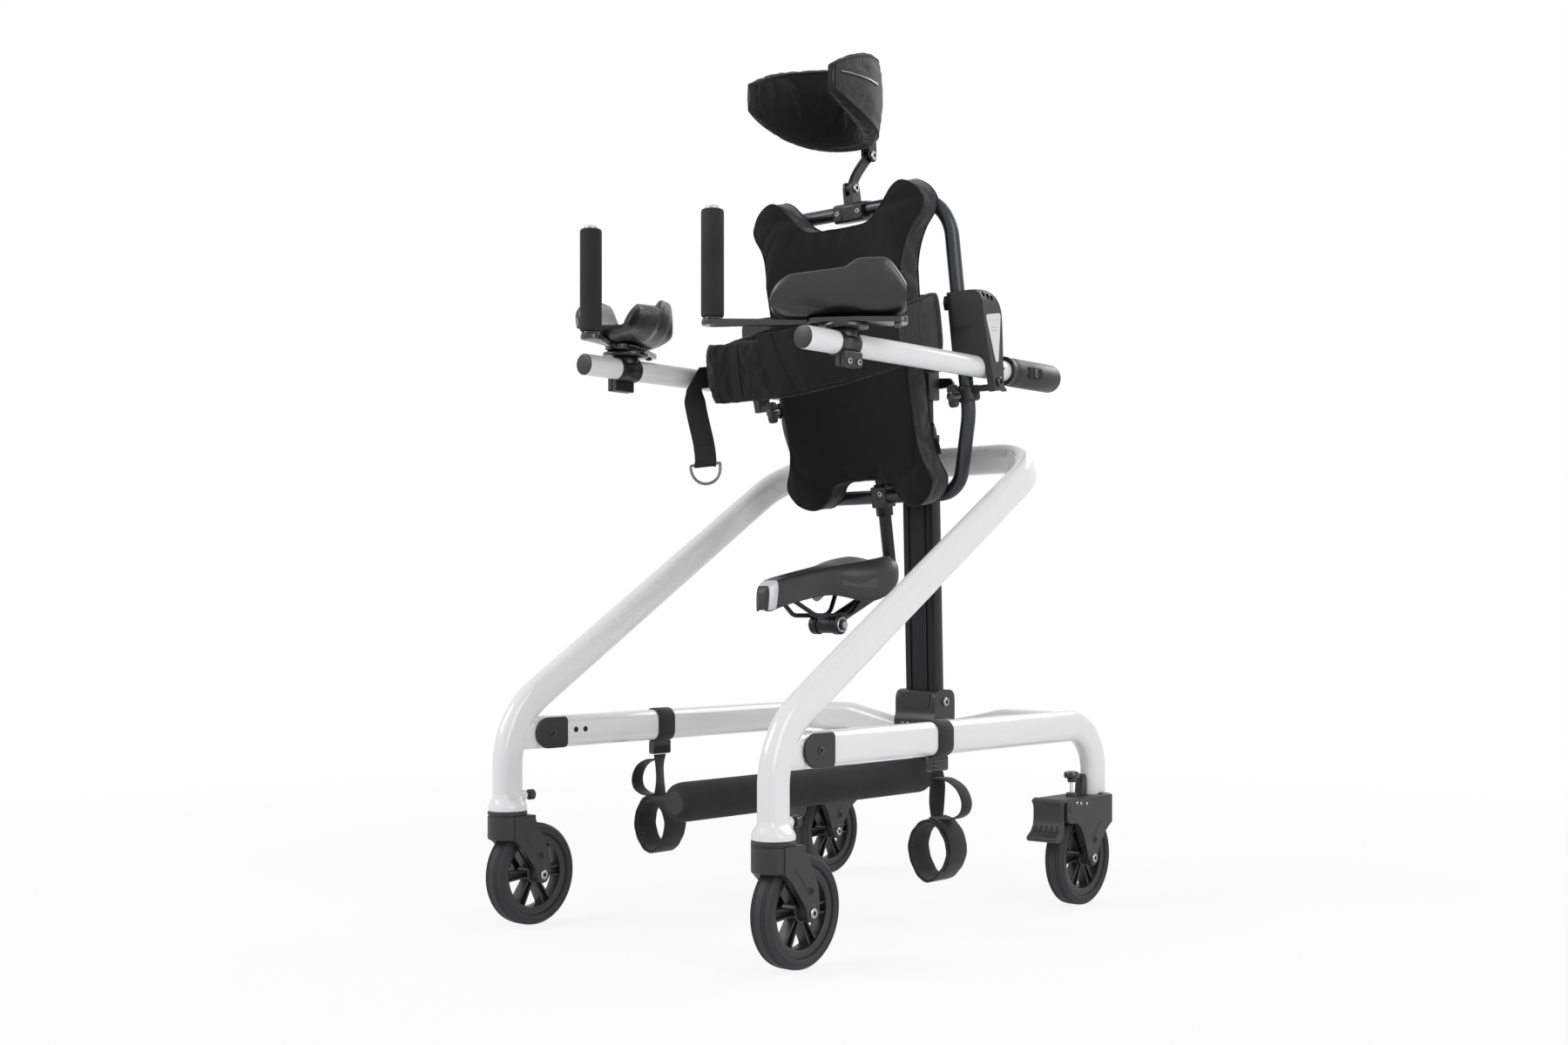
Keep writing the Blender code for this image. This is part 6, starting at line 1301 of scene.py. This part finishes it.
def make_back_pad():
    """A stuffed back cushion with ears and lobes: plain cloth in front, spacer mesh round its side."""
    top, back, thick, steps, rows = LOOP_TOP, -0.0113, 0.0345, 8, 9
    half = [(0.045, 0.025), (0.066, 0.002), (0.088, -0.014), (0.112, -0.014), (0.135, 0.000), (0.148, 0.026),
            (0.136, 0.058), (0.130, 0.090), (0.130, 0.160), (0.132, 0.240), (0.135, top - 0.127),
            (0.139, top - 0.079), (0.150, top - 0.047), (0.166, top - 0.025), (0.172, top - 0.005),
            (0.158, top + 0.019), (0.131, top + 0.033), (0.109, top + 0.026), (0.088, top + 0.005),
            (0.065, top - 0.016), (0.040, top - 0.022)]
    outline = spline([(x, 0, z) for x, z in half + [(-x, z) for x, z in reversed(half)]], steps, closed=True)
    count, nx, nz = len(outline), 62, 88
    edge = kdtree.KDTree(count)
    for i, p in enumerate(outline):
        edge.insert(p, i)
    edge.balance()

    def from_edge(p):
        return edge.find(Vector((p[0], 0, p[2])))[2]

    def bow(x, z, share):
        height = max(0.0, min(1.0, 0.5 + z / 0.32, (top - z) / 0.100))
        return 0.027 * (0.7 + 0.3 * share) * height * min(1.0, abs(x) / 0.128) ** 2

    def grid(inset, y, crown, share):
        path = []
        for i, p in enumerate(outline):
            ahead = outline[(i + 1) % count] - outline[i - 1]
            path.append(p + Vector((-ahead.z, 0, ahead.x)).normalized() * inset)
        low = resampled(path[37 * steps:] + path[:4 * steps + 1], nx)
        high = resampled(path[14 * steps:27 * steps + 1][::-1], nx)
        right = resampled(path[4 * steps:14 * steps + 1], nz)
        left = resampled(path[27 * steps:37 * steps + 1][::-1], nz)
        sheet = []
        for j in range(nz + 1):
            v, row = j / nz, []
            for i in range(nx + 1):
                u = i / nx
                p = (low[i] * (1 - v) + high[i] * v + left[j] * (1 - u) + right[j] * u
                     - (low[0] * (1 - u) + low[-1] * u) * (1 - v) - (high[0] * (1 - u) + high[-1] * u) * v)
                swell = crown * (1 - math.exp(-max(0.0, from_edge(p) - inset) / 0.022))
                row.append(Vector((p.x, y - swell - bow(p.x, p.z, share), p.z)))
            sheet.append(row)
        return sheet

    points, faces, loops = slab(grid(0.0040, back - thick, 0.0030, 1), grid(0.0030, back, 0.0, 0), rows)
    pad = piece("back_cushion", (points, faces), "pad", "trunk", smooth=55)
    pad.data.materials.append(M["gusset"])
    for face in pad.data.polygons[2 * nx * nz:]:
        face.material_index = 1
    loose, reach = [0.0] * len(points), [0.0] * len(points)
    for j in range(1, nz):
        for i in range(1, nx):
            n = j * (nx + 1) + i
            away = from_edge(points[n])
            loose[n] = min(1.0, 0.35 + away / 0.02)
            reach[n] = 0.0012 + 0.0062 * (1 - math.exp(-away / 0.045))
    for row, loop in enumerate(loops[1:-1], start=1):
        for n in loop:
            loose[n], reach[n] = 0.9, 0.0035 * math.sin(math.pi * row / rows)
    puff(pad, loose, reach, 3.0, -0.02)
    for vertex in pad.data.vertices[:(nx + 1) * (nz + 1)]:
        x, y, z = vertex.co
        ripple = 0.0011 * noise.noise(Vector((x * 11, 1.7, z * 8)))
        ripple += 0.0003 * noise.noise(Vector((x * 45, 4.1, z * 38)))
        line = 0.149 + 0.004 * math.sin(x * 40)
        fade = 1 / (1 + math.exp((x - 0.015) * 160)) / (1 + math.exp((-0.108 - x) * 200))
        ripple += 0.0016 * math.exp(-((z - line) / 0.0035) ** 2) * fade
        vertex.co.y = y + ripple * min(1.0, from_edge((x, y, z)) / 0.02)
    rims = [[pad.data.vertices[n].co.copy() for n in loops[k]] for k in (0, -1)]
    pad.data.transform(TRUNK)
    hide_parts("back_pad")
    subdivided(pad)
    for name, rim in zip(("front", "rear"), rims):
        on_trunk(f"cushion_seam_{name}", sweep(rim, circle(0.0011, 8), (0, 1, 0), True), "piping", smooth=60)
    behind = back - bow(0.119, 0.096, 0)
    for letter, side in BOTH:
        low, high = sorted((side * 0.110, side * 0.1285))
        lock = prism(card(low, 0.086, high, 0.106, 0.003), "Y", behind + 0.0006, behind + 0.0066)
        on_trunk(f"strap_lock_{letter}", lock, "plastic", edge=0.001, steps=2)
        for k, z in enumerate((0.0910, 0.0960, 0.1010)):
            bar = rod(0.0013, low + 0.002, high - 0.002, "X", (0, behind + 0.0072, z), 12)
            on_trunk(f"strap_lock_bar_{letter}_{k}", bar, "gloss")
        tail = [(0.1192, 0.0040, 0.112), (0.1192, 0.0090, 0.100), (0.1196, 0.0092, 0.088),
                (0.1210, 0.0125, 0.074), (0.1225, 0.0120, 0.062)]
        path = spline([(side * x, behind + y, z) for x, y, z in tail], 5)
        on_trunk(f"strap_tail_{letter}", ribbon(path, 0.015, 0.0015, (1, 0, 0)), "webbing", smooth=60)


def make_head_pad():
    """A deep curved head rest: stuffed wings with sewn edges and mesh outer sides."""
    elbow = Vector((0, 0.137968, 1.174142))
    half_w, depth, thick, tall = 0.080, 0.132, 0.036, 0.132
    middle = Vector((0, elbow.y - 0.014 - thick / 2 - depth, elbow.z + 0.069))
    reach_angle, zip_z = math.radians(99.0), 1.2505
    spans, face, edge = 116, 20, 8
    around, corners = 2 * (face + edge), (0, face, face + edge, 2 * face + edge)
    caps = ((1.0, 0.0), (0.93, 0.0020), (0.78, 0.0036), (0.52, 0.0046), (0.2, 0.0050))

    def section(share, scale=1.0):
        angle = share * reach_angle
        centre = middle + Vector((half_w * math.sin(angle), depth * math.cos(angle), 0))
        out = Vector((depth * math.sin(angle), half_w * math.cos(angle), 0)).normalized()
        tip = 1 - abs(share) ** 3.2
        high = tall / 2 * (0.36 + 0.64 * tip) * 0.985 * scale
        wide = thick / 2 * (0.62 + 0.38 * tip) * 0.93 * scale
        pairs = []
        for k in range(face):
            b = (2 * k / face - 1) * 0.88
            pairs.append((-0.80 - 0.14 * (1 - (b / 0.88) ** 2), b))
        for k in range(edge):
            a = (2 * k / edge - 1) * 0.80
            pairs.append((a, 0.88 + 0.12 * (1 - (a / 0.80) ** 2)))
        pairs += [(-a, -b) for a, b in pairs]
        return centre, out, [(a * wide, b * high) for a, b in pairs]

    def share_of(row):
        return 2 * (row - 4) / spans - 1

    def dart_at(side, k):
        return side * math.radians(57 + 5 * (2 * k / face - 1)) / reach_angle

    rings = []
    for k in range(-4, spans + 5):
        scale, past = caps[max(0, -k, k - spans)]
        share = 2 * min(max(k, 0), spans) / spans - 1
        centre, out, pairs = section(share, scale)
        angle = share * reach_angle
        onward = Vector((half_w * math.cos(angle), -depth * math.sin(angle), 0)).normalized()
        shift = onward * (past if share > 0 else -past)
        rings.append([centre + shift + out * a + Vector((0, 0, b)) for a, b in pairs])
    pad = piece("head_cushion", loft(rings), "headcloth", "head", smooth=60)
    pad.data.materials.append(M["sidemesh"])
    for n, polygon in enumerate(pad.data.polygons):
        if n < (len(rings) - 1) * around and face + edge <= n % around < 2 * face + edge:
            polygon.material_index = 1
    loose = []
    for row in range(len(rings)):
        share = share_of(row)
        for k in range(around):
            near = min(min(abs(k - c), around - abs(k - c)) for c in corners)
            value = (0.0, 0.55, 0.9)[near] if near < 3 else 1.0
            if k < face:
                for side in (-1, 1):
                    value = min(value, abs(share - dart_at(side, k)) / 0.045)
            loose.append(value * 0.5 if abs(share) > 1 else value)
    puff(pad, loose, [0.0058 * value for value in loose], 4.0, -0.03)
    for vertex, value in zip(pad.data.vertices, loose):
        p = vertex.co
        out = section(max(-1.0, min(1.0, share_of(vertex.index // around))))[1]
        bumpy = 0.0007 * noise.noise(p * 26) + 0.0003 * noise.noise(p * 80 + Vector((5, 2, 9)))
        sunk = 0.0009 * (1 - value) if vertex.index % around < face and value < 0.5 else 0
        vertex.co = p + out * (bumpy * value - sunk)
    places = [v.co.copy() for v in pad.data.vertices]
    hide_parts("head_pad")
    subdivided(pad)
    on_head = partial(piece, body="head", smooth=60)
    rows = range(2, len(rings) - 2)
    for name, first, second in (("inner", corners[0], corners[1]), ("outer", corners[3], corners[2])):
        path = [places[row * around + first] for row in rows]
        path += [places[row * around + second] for row in reversed(rows)]
        on_head(f"head_seam_{name}", sweep(path, circle(0.0010, 8), (1, 0, 0), True), "piping")
    for letter, side in BOTH:
        line = []
        for k in range(face + 1):
            place = (dart_at(side, k) + 1) / 2 * spans + 4
            row = int(place)
            line.append(places[row * around + k].lerp(places[(row + 1) * around + k], place - row))
        on_head(f"head_dart_{letter}", sweep(line, circle(0.0007, 8), (1, 0, 0)), "piping")
        zip_line = []
        for row in range(len(rings)):
            if not 0.60 < side * share_of(row) < 0.985:
                continue
            column = [places[row * around + k] for k in range(face + edge, 2 * face + edge + 1)]
            a, b = next((a, b) for a, b in zip(column, column[1:]) if (a.z - zip_z) * (b.z - zip_z) <= 0)
            zip_line.append(a.lerp(b, (zip_z - a.z) / (b.z - a.z)) + section(share_of(row))[1] * 0.0006)
        on_head(f"zip_tape_{letter}", ribbon(zip_line, 0.0052, 0.0012, (0, 0, 1)), "webbing")
        teeth = [p + Vector((side * 0.0006, 0, 0.0002)) for p in zip_line]
        on_head(f"zip_teeth_{letter}", ribbon(teeth, 0.0020, 0.0012, (0, 0, 1)), "zip")


BELT_FRONT_Y = -0.2185
BELT_SIDE = (Vector((-0.166, -0.085, 0)), Vector((-0.170, -0.170, 0)))


def belt_height(y):
    """Height of the band's middle line, which drops towards the front."""
    return 0.261 + min(0.0, y + 0.026) * 0.218


def make_belt():
    """The padded chest band with its webbing loops, end panel and edge folds."""
    back, spans, face, edge, half_t, half_h = -0.0017, 208, 18, 4, 0.0070, 0.0452
    corners = [(0.070, back), (0.1435, back), (0.149, -0.070), (0.085, -0.172), (0.020, BELT_FRONT_Y),
               (-0.135, BELT_FRONT_Y), BELT_SIDE[1].xy, BELT_SIDE[0].xy, (-0.1435, back), (-0.070, back)]
    fine = bent([(x, y, 0) for x, y in corners], [0.012, 0.060, 0.080, 0.080, 0.045, 0.045, 0.060, 0.012], 12)
    path = resampled(fine, spans)
    step = sum((b - a).length for a, b in zip(path, path[1:])) / spans
    start = Vector((-0.05, BELT_FRONT_Y, 0))
    middle = min(range(len(path)), key=lambda i: (path[i] - start).length)
    pairs = []
    for k in range(face):
        b = (2 * k / face - 1) * 0.93
        pairs.append((0.66 + 0.34 * (1 - (b / 0.93) ** 4), b))
    for k in range(edge):
        a = (1 - 2 * k / edge) * 0.66
        pairs.append((a, 0.93 + 0.07 * (1 - (a / 0.66) ** 2)))
    pairs += [(-a, -b) for a, b in pairs]
    around = len(pairs)
    rings, outs = [], []
    for i, here in enumerate(path):
        ahead = (path[min(i + 1, spans)] - path[max(i - 1, 0)]).normalized()
        out = Vector((-ahead.y, ahead.x, 0))
        outs.append(out)
        far = max(0.0, min(1.0, (here.y + 0.205) / 0.05)) if here.x < -0.1 else 0.0
        ring = []
        for a, b in pairs:
            up = belt_height(here.y) + b * half_h * (1 - 0.34 * far * (b > 0))
            ring.append(here + out * (a * half_t) + Vector((0, 0, up)))
        rings.append(ring)

    def unrolled(i):
        return -0.05 - (i - middle) * step

    def slant(b):
        return -0.0135 * b

    def fold_line(b):
        return 0.003 * b * b - 0.117

    belt = piece("chest_band", loft(rings), "belt", "trunk", smooth=60)
    loose = []
    for i in range(len(rings)):
        u = unrolled(i)
        for k, (_, b) in enumerate(pairs):
            near = min(min(abs(k - c), around - abs(k - c)) for c in (0, face, face + edge, 2 * face + edge))
            value = (0.0, 0.7)[near] if near < 2 else 1.0
            if k < face:
                for centre, wide in ((-0.0822, 0.0105), (slant(b), 0.015), (fold_line(b), 0.0012)):
                    value = min(value, max(0.0, (abs(u - centre) - wide) / 0.010))
            if i < 3 or i > len(rings) - 4:
                value *= 0.3
            loose.append(min(value, max(0.12, (0.21 - u) / 0.03)))
    puff(belt, loose, [0.0034 * value for value in loose], 4.0, -0.045)
    for vertex, value in zip(belt.data.vertices, loose):
        i, k = divmod(vertex.index, around)
        u, b, p = unrolled(i), pairs[k][1], vertex.co.copy()
        if k < face:
            dart = math.exp(-((u - fold_line(b)) / 0.0028) ** 2) * (0.0013 + 0.0035 * max(0.0, abs(b) - 0.45))
            fold = 0.0007 * math.exp(-((b + 0.32) / 0.05) ** 2) * (1 if -0.07 < u < -0.018 else 0)
            vertex.co = p + outs[i] * (0.0006 * noise.noise(p * 30) * value - dart - fold)
        if abs(b) > 0.9 and u < -0.02:
            vertex.co.z += (0.0016 if b > 0 else 0.0011) * noise.noise(Vector((u * 75, b, 0.3)))
    places = [v.co.copy() for v in belt.data.vertices]

    def surface(u, b, lift, stay=0.93):
        """A point on the band's outer face at u along it and b up it, straight up from b = stay."""
        i = max(0.0, min(spans - 0.001, middle - (u + 0.05) / step))
        held = max(-0.93, min(stay, b))
        k = (held / 0.93 + 1) / 2 * face
        row, column = int(i), min(face - 1, int(k))
        ends = []
        for n in (row * around + column, (row + 1) * around + column):
            ends.append(places[n].lerp(places[n + 1], k - column))
        out = outs[row].lerp(outs[row + 1], i - row)
        return ends[0].lerp(ends[1], i - row) + out * lift + Vector((0, 0, half_h * (b - held)))

    def patch(name, left, right, low, high, lift, thick, finish, columns, puffed=0.0, stay=0.93):
        """A layer of cloth on the band's outer face, between two lines up it."""
        sheets, rows = [], 26
        for raised, swelling in ((lift, puffed), (lift - thick, 0.0)):
            sheet = []
            for j in range(rows + 1):
                b = low + (high - low) * j / rows
                height = raised + swelling * math.sin(math.pi * j / rows)
                line = [left(b) + (right(b) - left(b)) * i / columns for i in range(columns + 1)]
                sheet.append([surface(u, b, height, stay) for u in line])
            sheets.append(sheet)
        return on_trunk(name, slab(*sheets, 1)[:2], finish, smooth=50, edge=thick * 0.3, steps=2, bend=50)

    belt.data.transform(TRUNK)
    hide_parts("trunk_belt")
    subdivided(belt)
    panel = patch("belt_end_panel", lambda b: slant(b) - 0.0125, lambda b: 0.122, -0.84, 1.17, 0.0042, 0.0036,
                  "belt", 44, 0.0010, 0.80)
    patch("belt_side_panel", lambda b: 0.186, lambda b: 0.262, -0.90, 0.90, 0.0012, 0.0010, "sidemesh", 30)
    patch("belt_band_front", lambda b: -0.0917, lambda b: -0.0727, -0.93, 0.93, 0.0014, 0.0012, "webbing", 6)
    patch("belt_band_side", lambda b: slant(b) - 0.0140, lambda b: slant(b) + 0.0140, -0.86, 1.19, 0.0058,
          0.0014, "bandcloth", 8, stay=0.80)
    for name, u in (("front_a", -0.0893), ("front_b", -0.0751)):
        row = [surface(u, 0.80 - 1.6 * k / 20, 0.0017) for k in range(21)]
        stitches(f"belt_stitch_{name}", row, outs[middle])
    levels = [1.15 - 1.97 * k / 26 for k in range(27)]
    for name, off in (("side_a", -0.0120), ("side_b", 0.0120)):
        row = [surface(slant(b) + off, b, 0.0061, 0.80) for b in levels]
        stitches(f"belt_stitch_{name}", row, outs[middle])
    seam = [surface(slant(b) + 0.0162, b, 0.0050, 0.80) for b in levels]
    on_trunk("belt_seam_side", sweep(seam, circle(0.0007, 8), (1, 0, 0)), "piping", smooth=60)


def make_strap():
    """A loose strap along the band's side that folds over, twists as it hangs and ends in a ring."""
    behind, before = BELT_SIDE
    forward = (before - behind).normalized()
    outward = Vector((forward.y, -forward.x, 0))
    width, reach, drop, first_y, thick = 0.033, 0.094, 0.115, -0.135, 0.0020
    start = behind.lerp(before, (first_y - behind.y) / (before.y - behind.y)) + outward * 0.0112
    start.z = belt_height(first_y) - 0.020 - width / 2
    high, inner = Vector((0, 0, width)), forward * (reach - width)
    down = Vector((0, -math.sin(TRUNK_LEAN), -math.cos(TRUNK_LEAN)))
    stations = []
    for k in range(7):
        here = start + inner * (k / 7)
        stations.append((here + high, here, outward))
    pivot = start + inner
    for k in range(6):
        t = k / 5
        stations.append((pivot + forward * (width * t) + high * (1 - t),
                         pivot - forward * (0.001 * (1 - t)) + down * (0.001 * t), outward))
    hung = start + forward * (reach - width / 2) + down * 0.001
    first_turn = math.atan2(forward.y, forward.x) % (2 * math.pi)
    last_turn = math.radians(218)

    def hanging(share):
        return hung + down * (drop * share) + Vector((0.025 * ease(share), 0, 0))

    for k in range(1, 33):
        share = k / 32
        angle = first_turn + (last_turn - first_turn) * ease(min(1.0, share * 4))
        across = Vector((math.cos(angle), math.sin(angle), 0))
        out = Vector((across.y, -across.x, 0))
        end = hanging(share * 0.985) + out * (0.0012 * math.sin(share * 7.5) * math.sin(math.pi * share))
        stations.append((end + across * (width / 2), end - across * (width / 2), out))
    half = [(0.0, 0.3), (0.04, 0.5), (0.96, 0.5), (1.0, 0.3)]
    rings = []
    for one, two, out in stations:
        rings.append([one.lerp(two, t) + out * (lift * thick) for t, lift in mirrored(half)])
    strap = on_trunk("belt_tail", loft(rings), "webbing", smooth=60, node="belt_strap")
    tangent = Vector((math.cos(math.radians(38)), math.sin(math.radians(38)), 0))
    upward = (tangent * down.dot(tangent) - down).normalized()
    face, end = upward.cross(tangent), hanging(1)
    bar = Vector((-0.1578, -0.2331, 0.0847))
    hem = [end - down * 0.004, end - down * 0.001 + face * 0.0016, bar + face * 0.0033,
           bar + down * 0.0024 + face * 0.0024, bar + down * 0.0034, bar + down * 0.0024 - face * 0.0024,
           bar - face * 0.0033, end - down * 0.002 - face * 0.0030]
    for up, off in ((0.012, 0.0024), (0.020, 0.0024), (0.027, 0.0023)):
        hem.append(hanging(1 - up / drop) - face * off)
    on_trunk("belt_tail_hem", ribbon(spline(hem, 4), width, 0.0018, tangent), "webbing", smooth=60)
    for k, off in enumerate((0.008, 0.0235)):
        row = [hanging(1 - off / drop) + tangent * (t * width * 0.42) for t in (-1, -0.5, 0, 0.5, 1)]
        stitches(f"tail_stitch_{k}", [p + face * 0.0011 for p in row], face)
        stitches(f"tail_stitch_back_{k}", [p - face * 0.0011 for p in row], -face)
    half_w, ring_drop, outline = 0.023, 0.030, []
    for k in range(41):
        angle = math.pi * k / 40
        outline.append(Vector((half_w * math.cos(angle), 0, -ring_drop * math.sin(angle) ** 0.8)))
    for share in (0.9, 0.75, 0.5, 0.25, 0.0, -0.25, -0.5, -0.75, -0.9):
        outline.append(Vector((-half_w * share, 0, 0)))
    axes = Matrix((tangent, face, upward)).transposed().to_4x4()
    piece("strap_ring", sweep(outline, circle(0.0023, 14), (0, 1, 0), True), "nickel", "ring",
          TRUNK @ Matrix.Translation(bar) @ axes, 60, node="d_ring")


make_hoop()
make_covers()
for end in ("front", "rear"):
    for side in SIGN:
        make_caster(end, side)
make_column()
make_bracket()
make_carrier()
make_trunk_frame()
make_head_support()
for side in SIGN:
    make_housing(side)
    make_wing_knob(side)
    make_arm(side)
    make_forearm(side)
    make_ankle(side)
make_saddle()
make_seat_rails()
make_back_pad()
make_head_pad()
make_belt()
make_strap()


# Floor, light and camera


def seen_directly(tree):
    """1 for what the camera sees, also in a reflection or through glass."""
    paths = add(tree, "ShaderNodeLightPath")
    direct = math_node(tree, "MAXIMUM", paths.outputs["Is Camera Ray"], paths.outputs["Is Glossy Ray"])
    return math_node(tree, "MAXIMUM", direct, paths.outputs["Is Transmission Ray"])


def mix_shaders(tree, share, first, second, output):
    mix = add(tree, "ShaderNodeMixShader")
    for source, socket in zip((share, first, second), mix.inputs):
        tree.links.new(source, socket)
    tree.links.new(mix.outputs["Shader"], tree.nodes[output].inputs["Surface"])


def make_floor():
    """A wide plane that fades to plain white away from the object."""
    floor, shader, tree = new_material("floor", (0.83, 0.83, 0.83), 0.9)
    pale = add(tree, "ShaderNodeEmission", Strength=1.0)
    length = add(tree, "ShaderNodeVectorMath", operation="LENGTH")
    tree.links.new(coordinates(tree), length.inputs[0])
    paleness = remap(tree, length.outputs["Value"], 1.1, 2.6, 0.86, 1.0)
    share = math_node(tree, "MULTIPLY", seen_directly(tree), paleness)
    mix_shaders(tree, share, shader.outputs["BSDF"], pale.outputs["Emission"], "Material Output")
    bpy.ops.mesh.primitive_plane_add(size=40, location=(0, 0, -0.0002))
    plane = bpy.context.object
    plane.name = "floor"
    plane.data.materials.append(floor)


def make_world():
    """White where the camera looks, dimmer as a source of light."""
    world = bpy.data.worlds.new("studio")
    bpy.context.scene.world = world
    world.use_nodes = True
    tree = world.node_tree
    dim = tree.nodes["Background"]
    dim.inputs["Color"].default_value = (1, 1, 1, 1)
    dim.inputs["Strength"].default_value = 0.42
    white = add(tree, "ShaderNodeBackground", Color=(1, 1, 1, 1), Strength=1.0)
    outputs = (dim.outputs["Background"], white.outputs["Background"])
    mix_shaders(tree, seen_directly(tree), *outputs, "World Output")


def lamp(name, place, target, size, power):
    light = bpy.data.lights.new(name, "AREA")
    light.shape = "RECTANGLE"
    light.size, light.size_y = size
    light.energy = power
    made = bpy.data.objects.new(name, light)
    bpy.context.scene.collection.objects.link(made)
    made.location = place
    made.rotation_euler = (Vector(target) - Vector(place)).to_track_quat("-Z", "Y").to_euler()


def make_camera():
    """The photo's camera. Its focal length and its upward shift are in pixels of the photo."""
    photo_width, focal, rise, sensor = 1800, 2093, 97, 36.0
    data = bpy.data.cameras.new("camera")
    data.sensor_width = sensor
    data.lens = focal / photo_width * sensor
    data.shift_y = rise / photo_width
    camera = bpy.data.objects.new("camera", data)
    bpy.context.scene.collection.objects.link(camera)
    camera.location = (1.7755, -2.119, 0.465)
    camera.rotation_euler = (math.radians(90), 0, math.radians(40.86))
    bpy.context.scene.camera = camera
    bpy.context.scene.view_settings.view_transform = "Standard"


make_floor()
make_world()
lamp("key", (-1.6, -2.6, 2.6), (0, 0, 0.7), (1.8, 1.8), 62)
lamp("fill", (2.8, -0.6, 1.6), (0, 0, 0.6), (1.6, 2.2), 34)
lamp("back", (0.5, 2.6, 2.4), (0, 0, 0.8), (2.0, 1.2), 34)
make_camera()
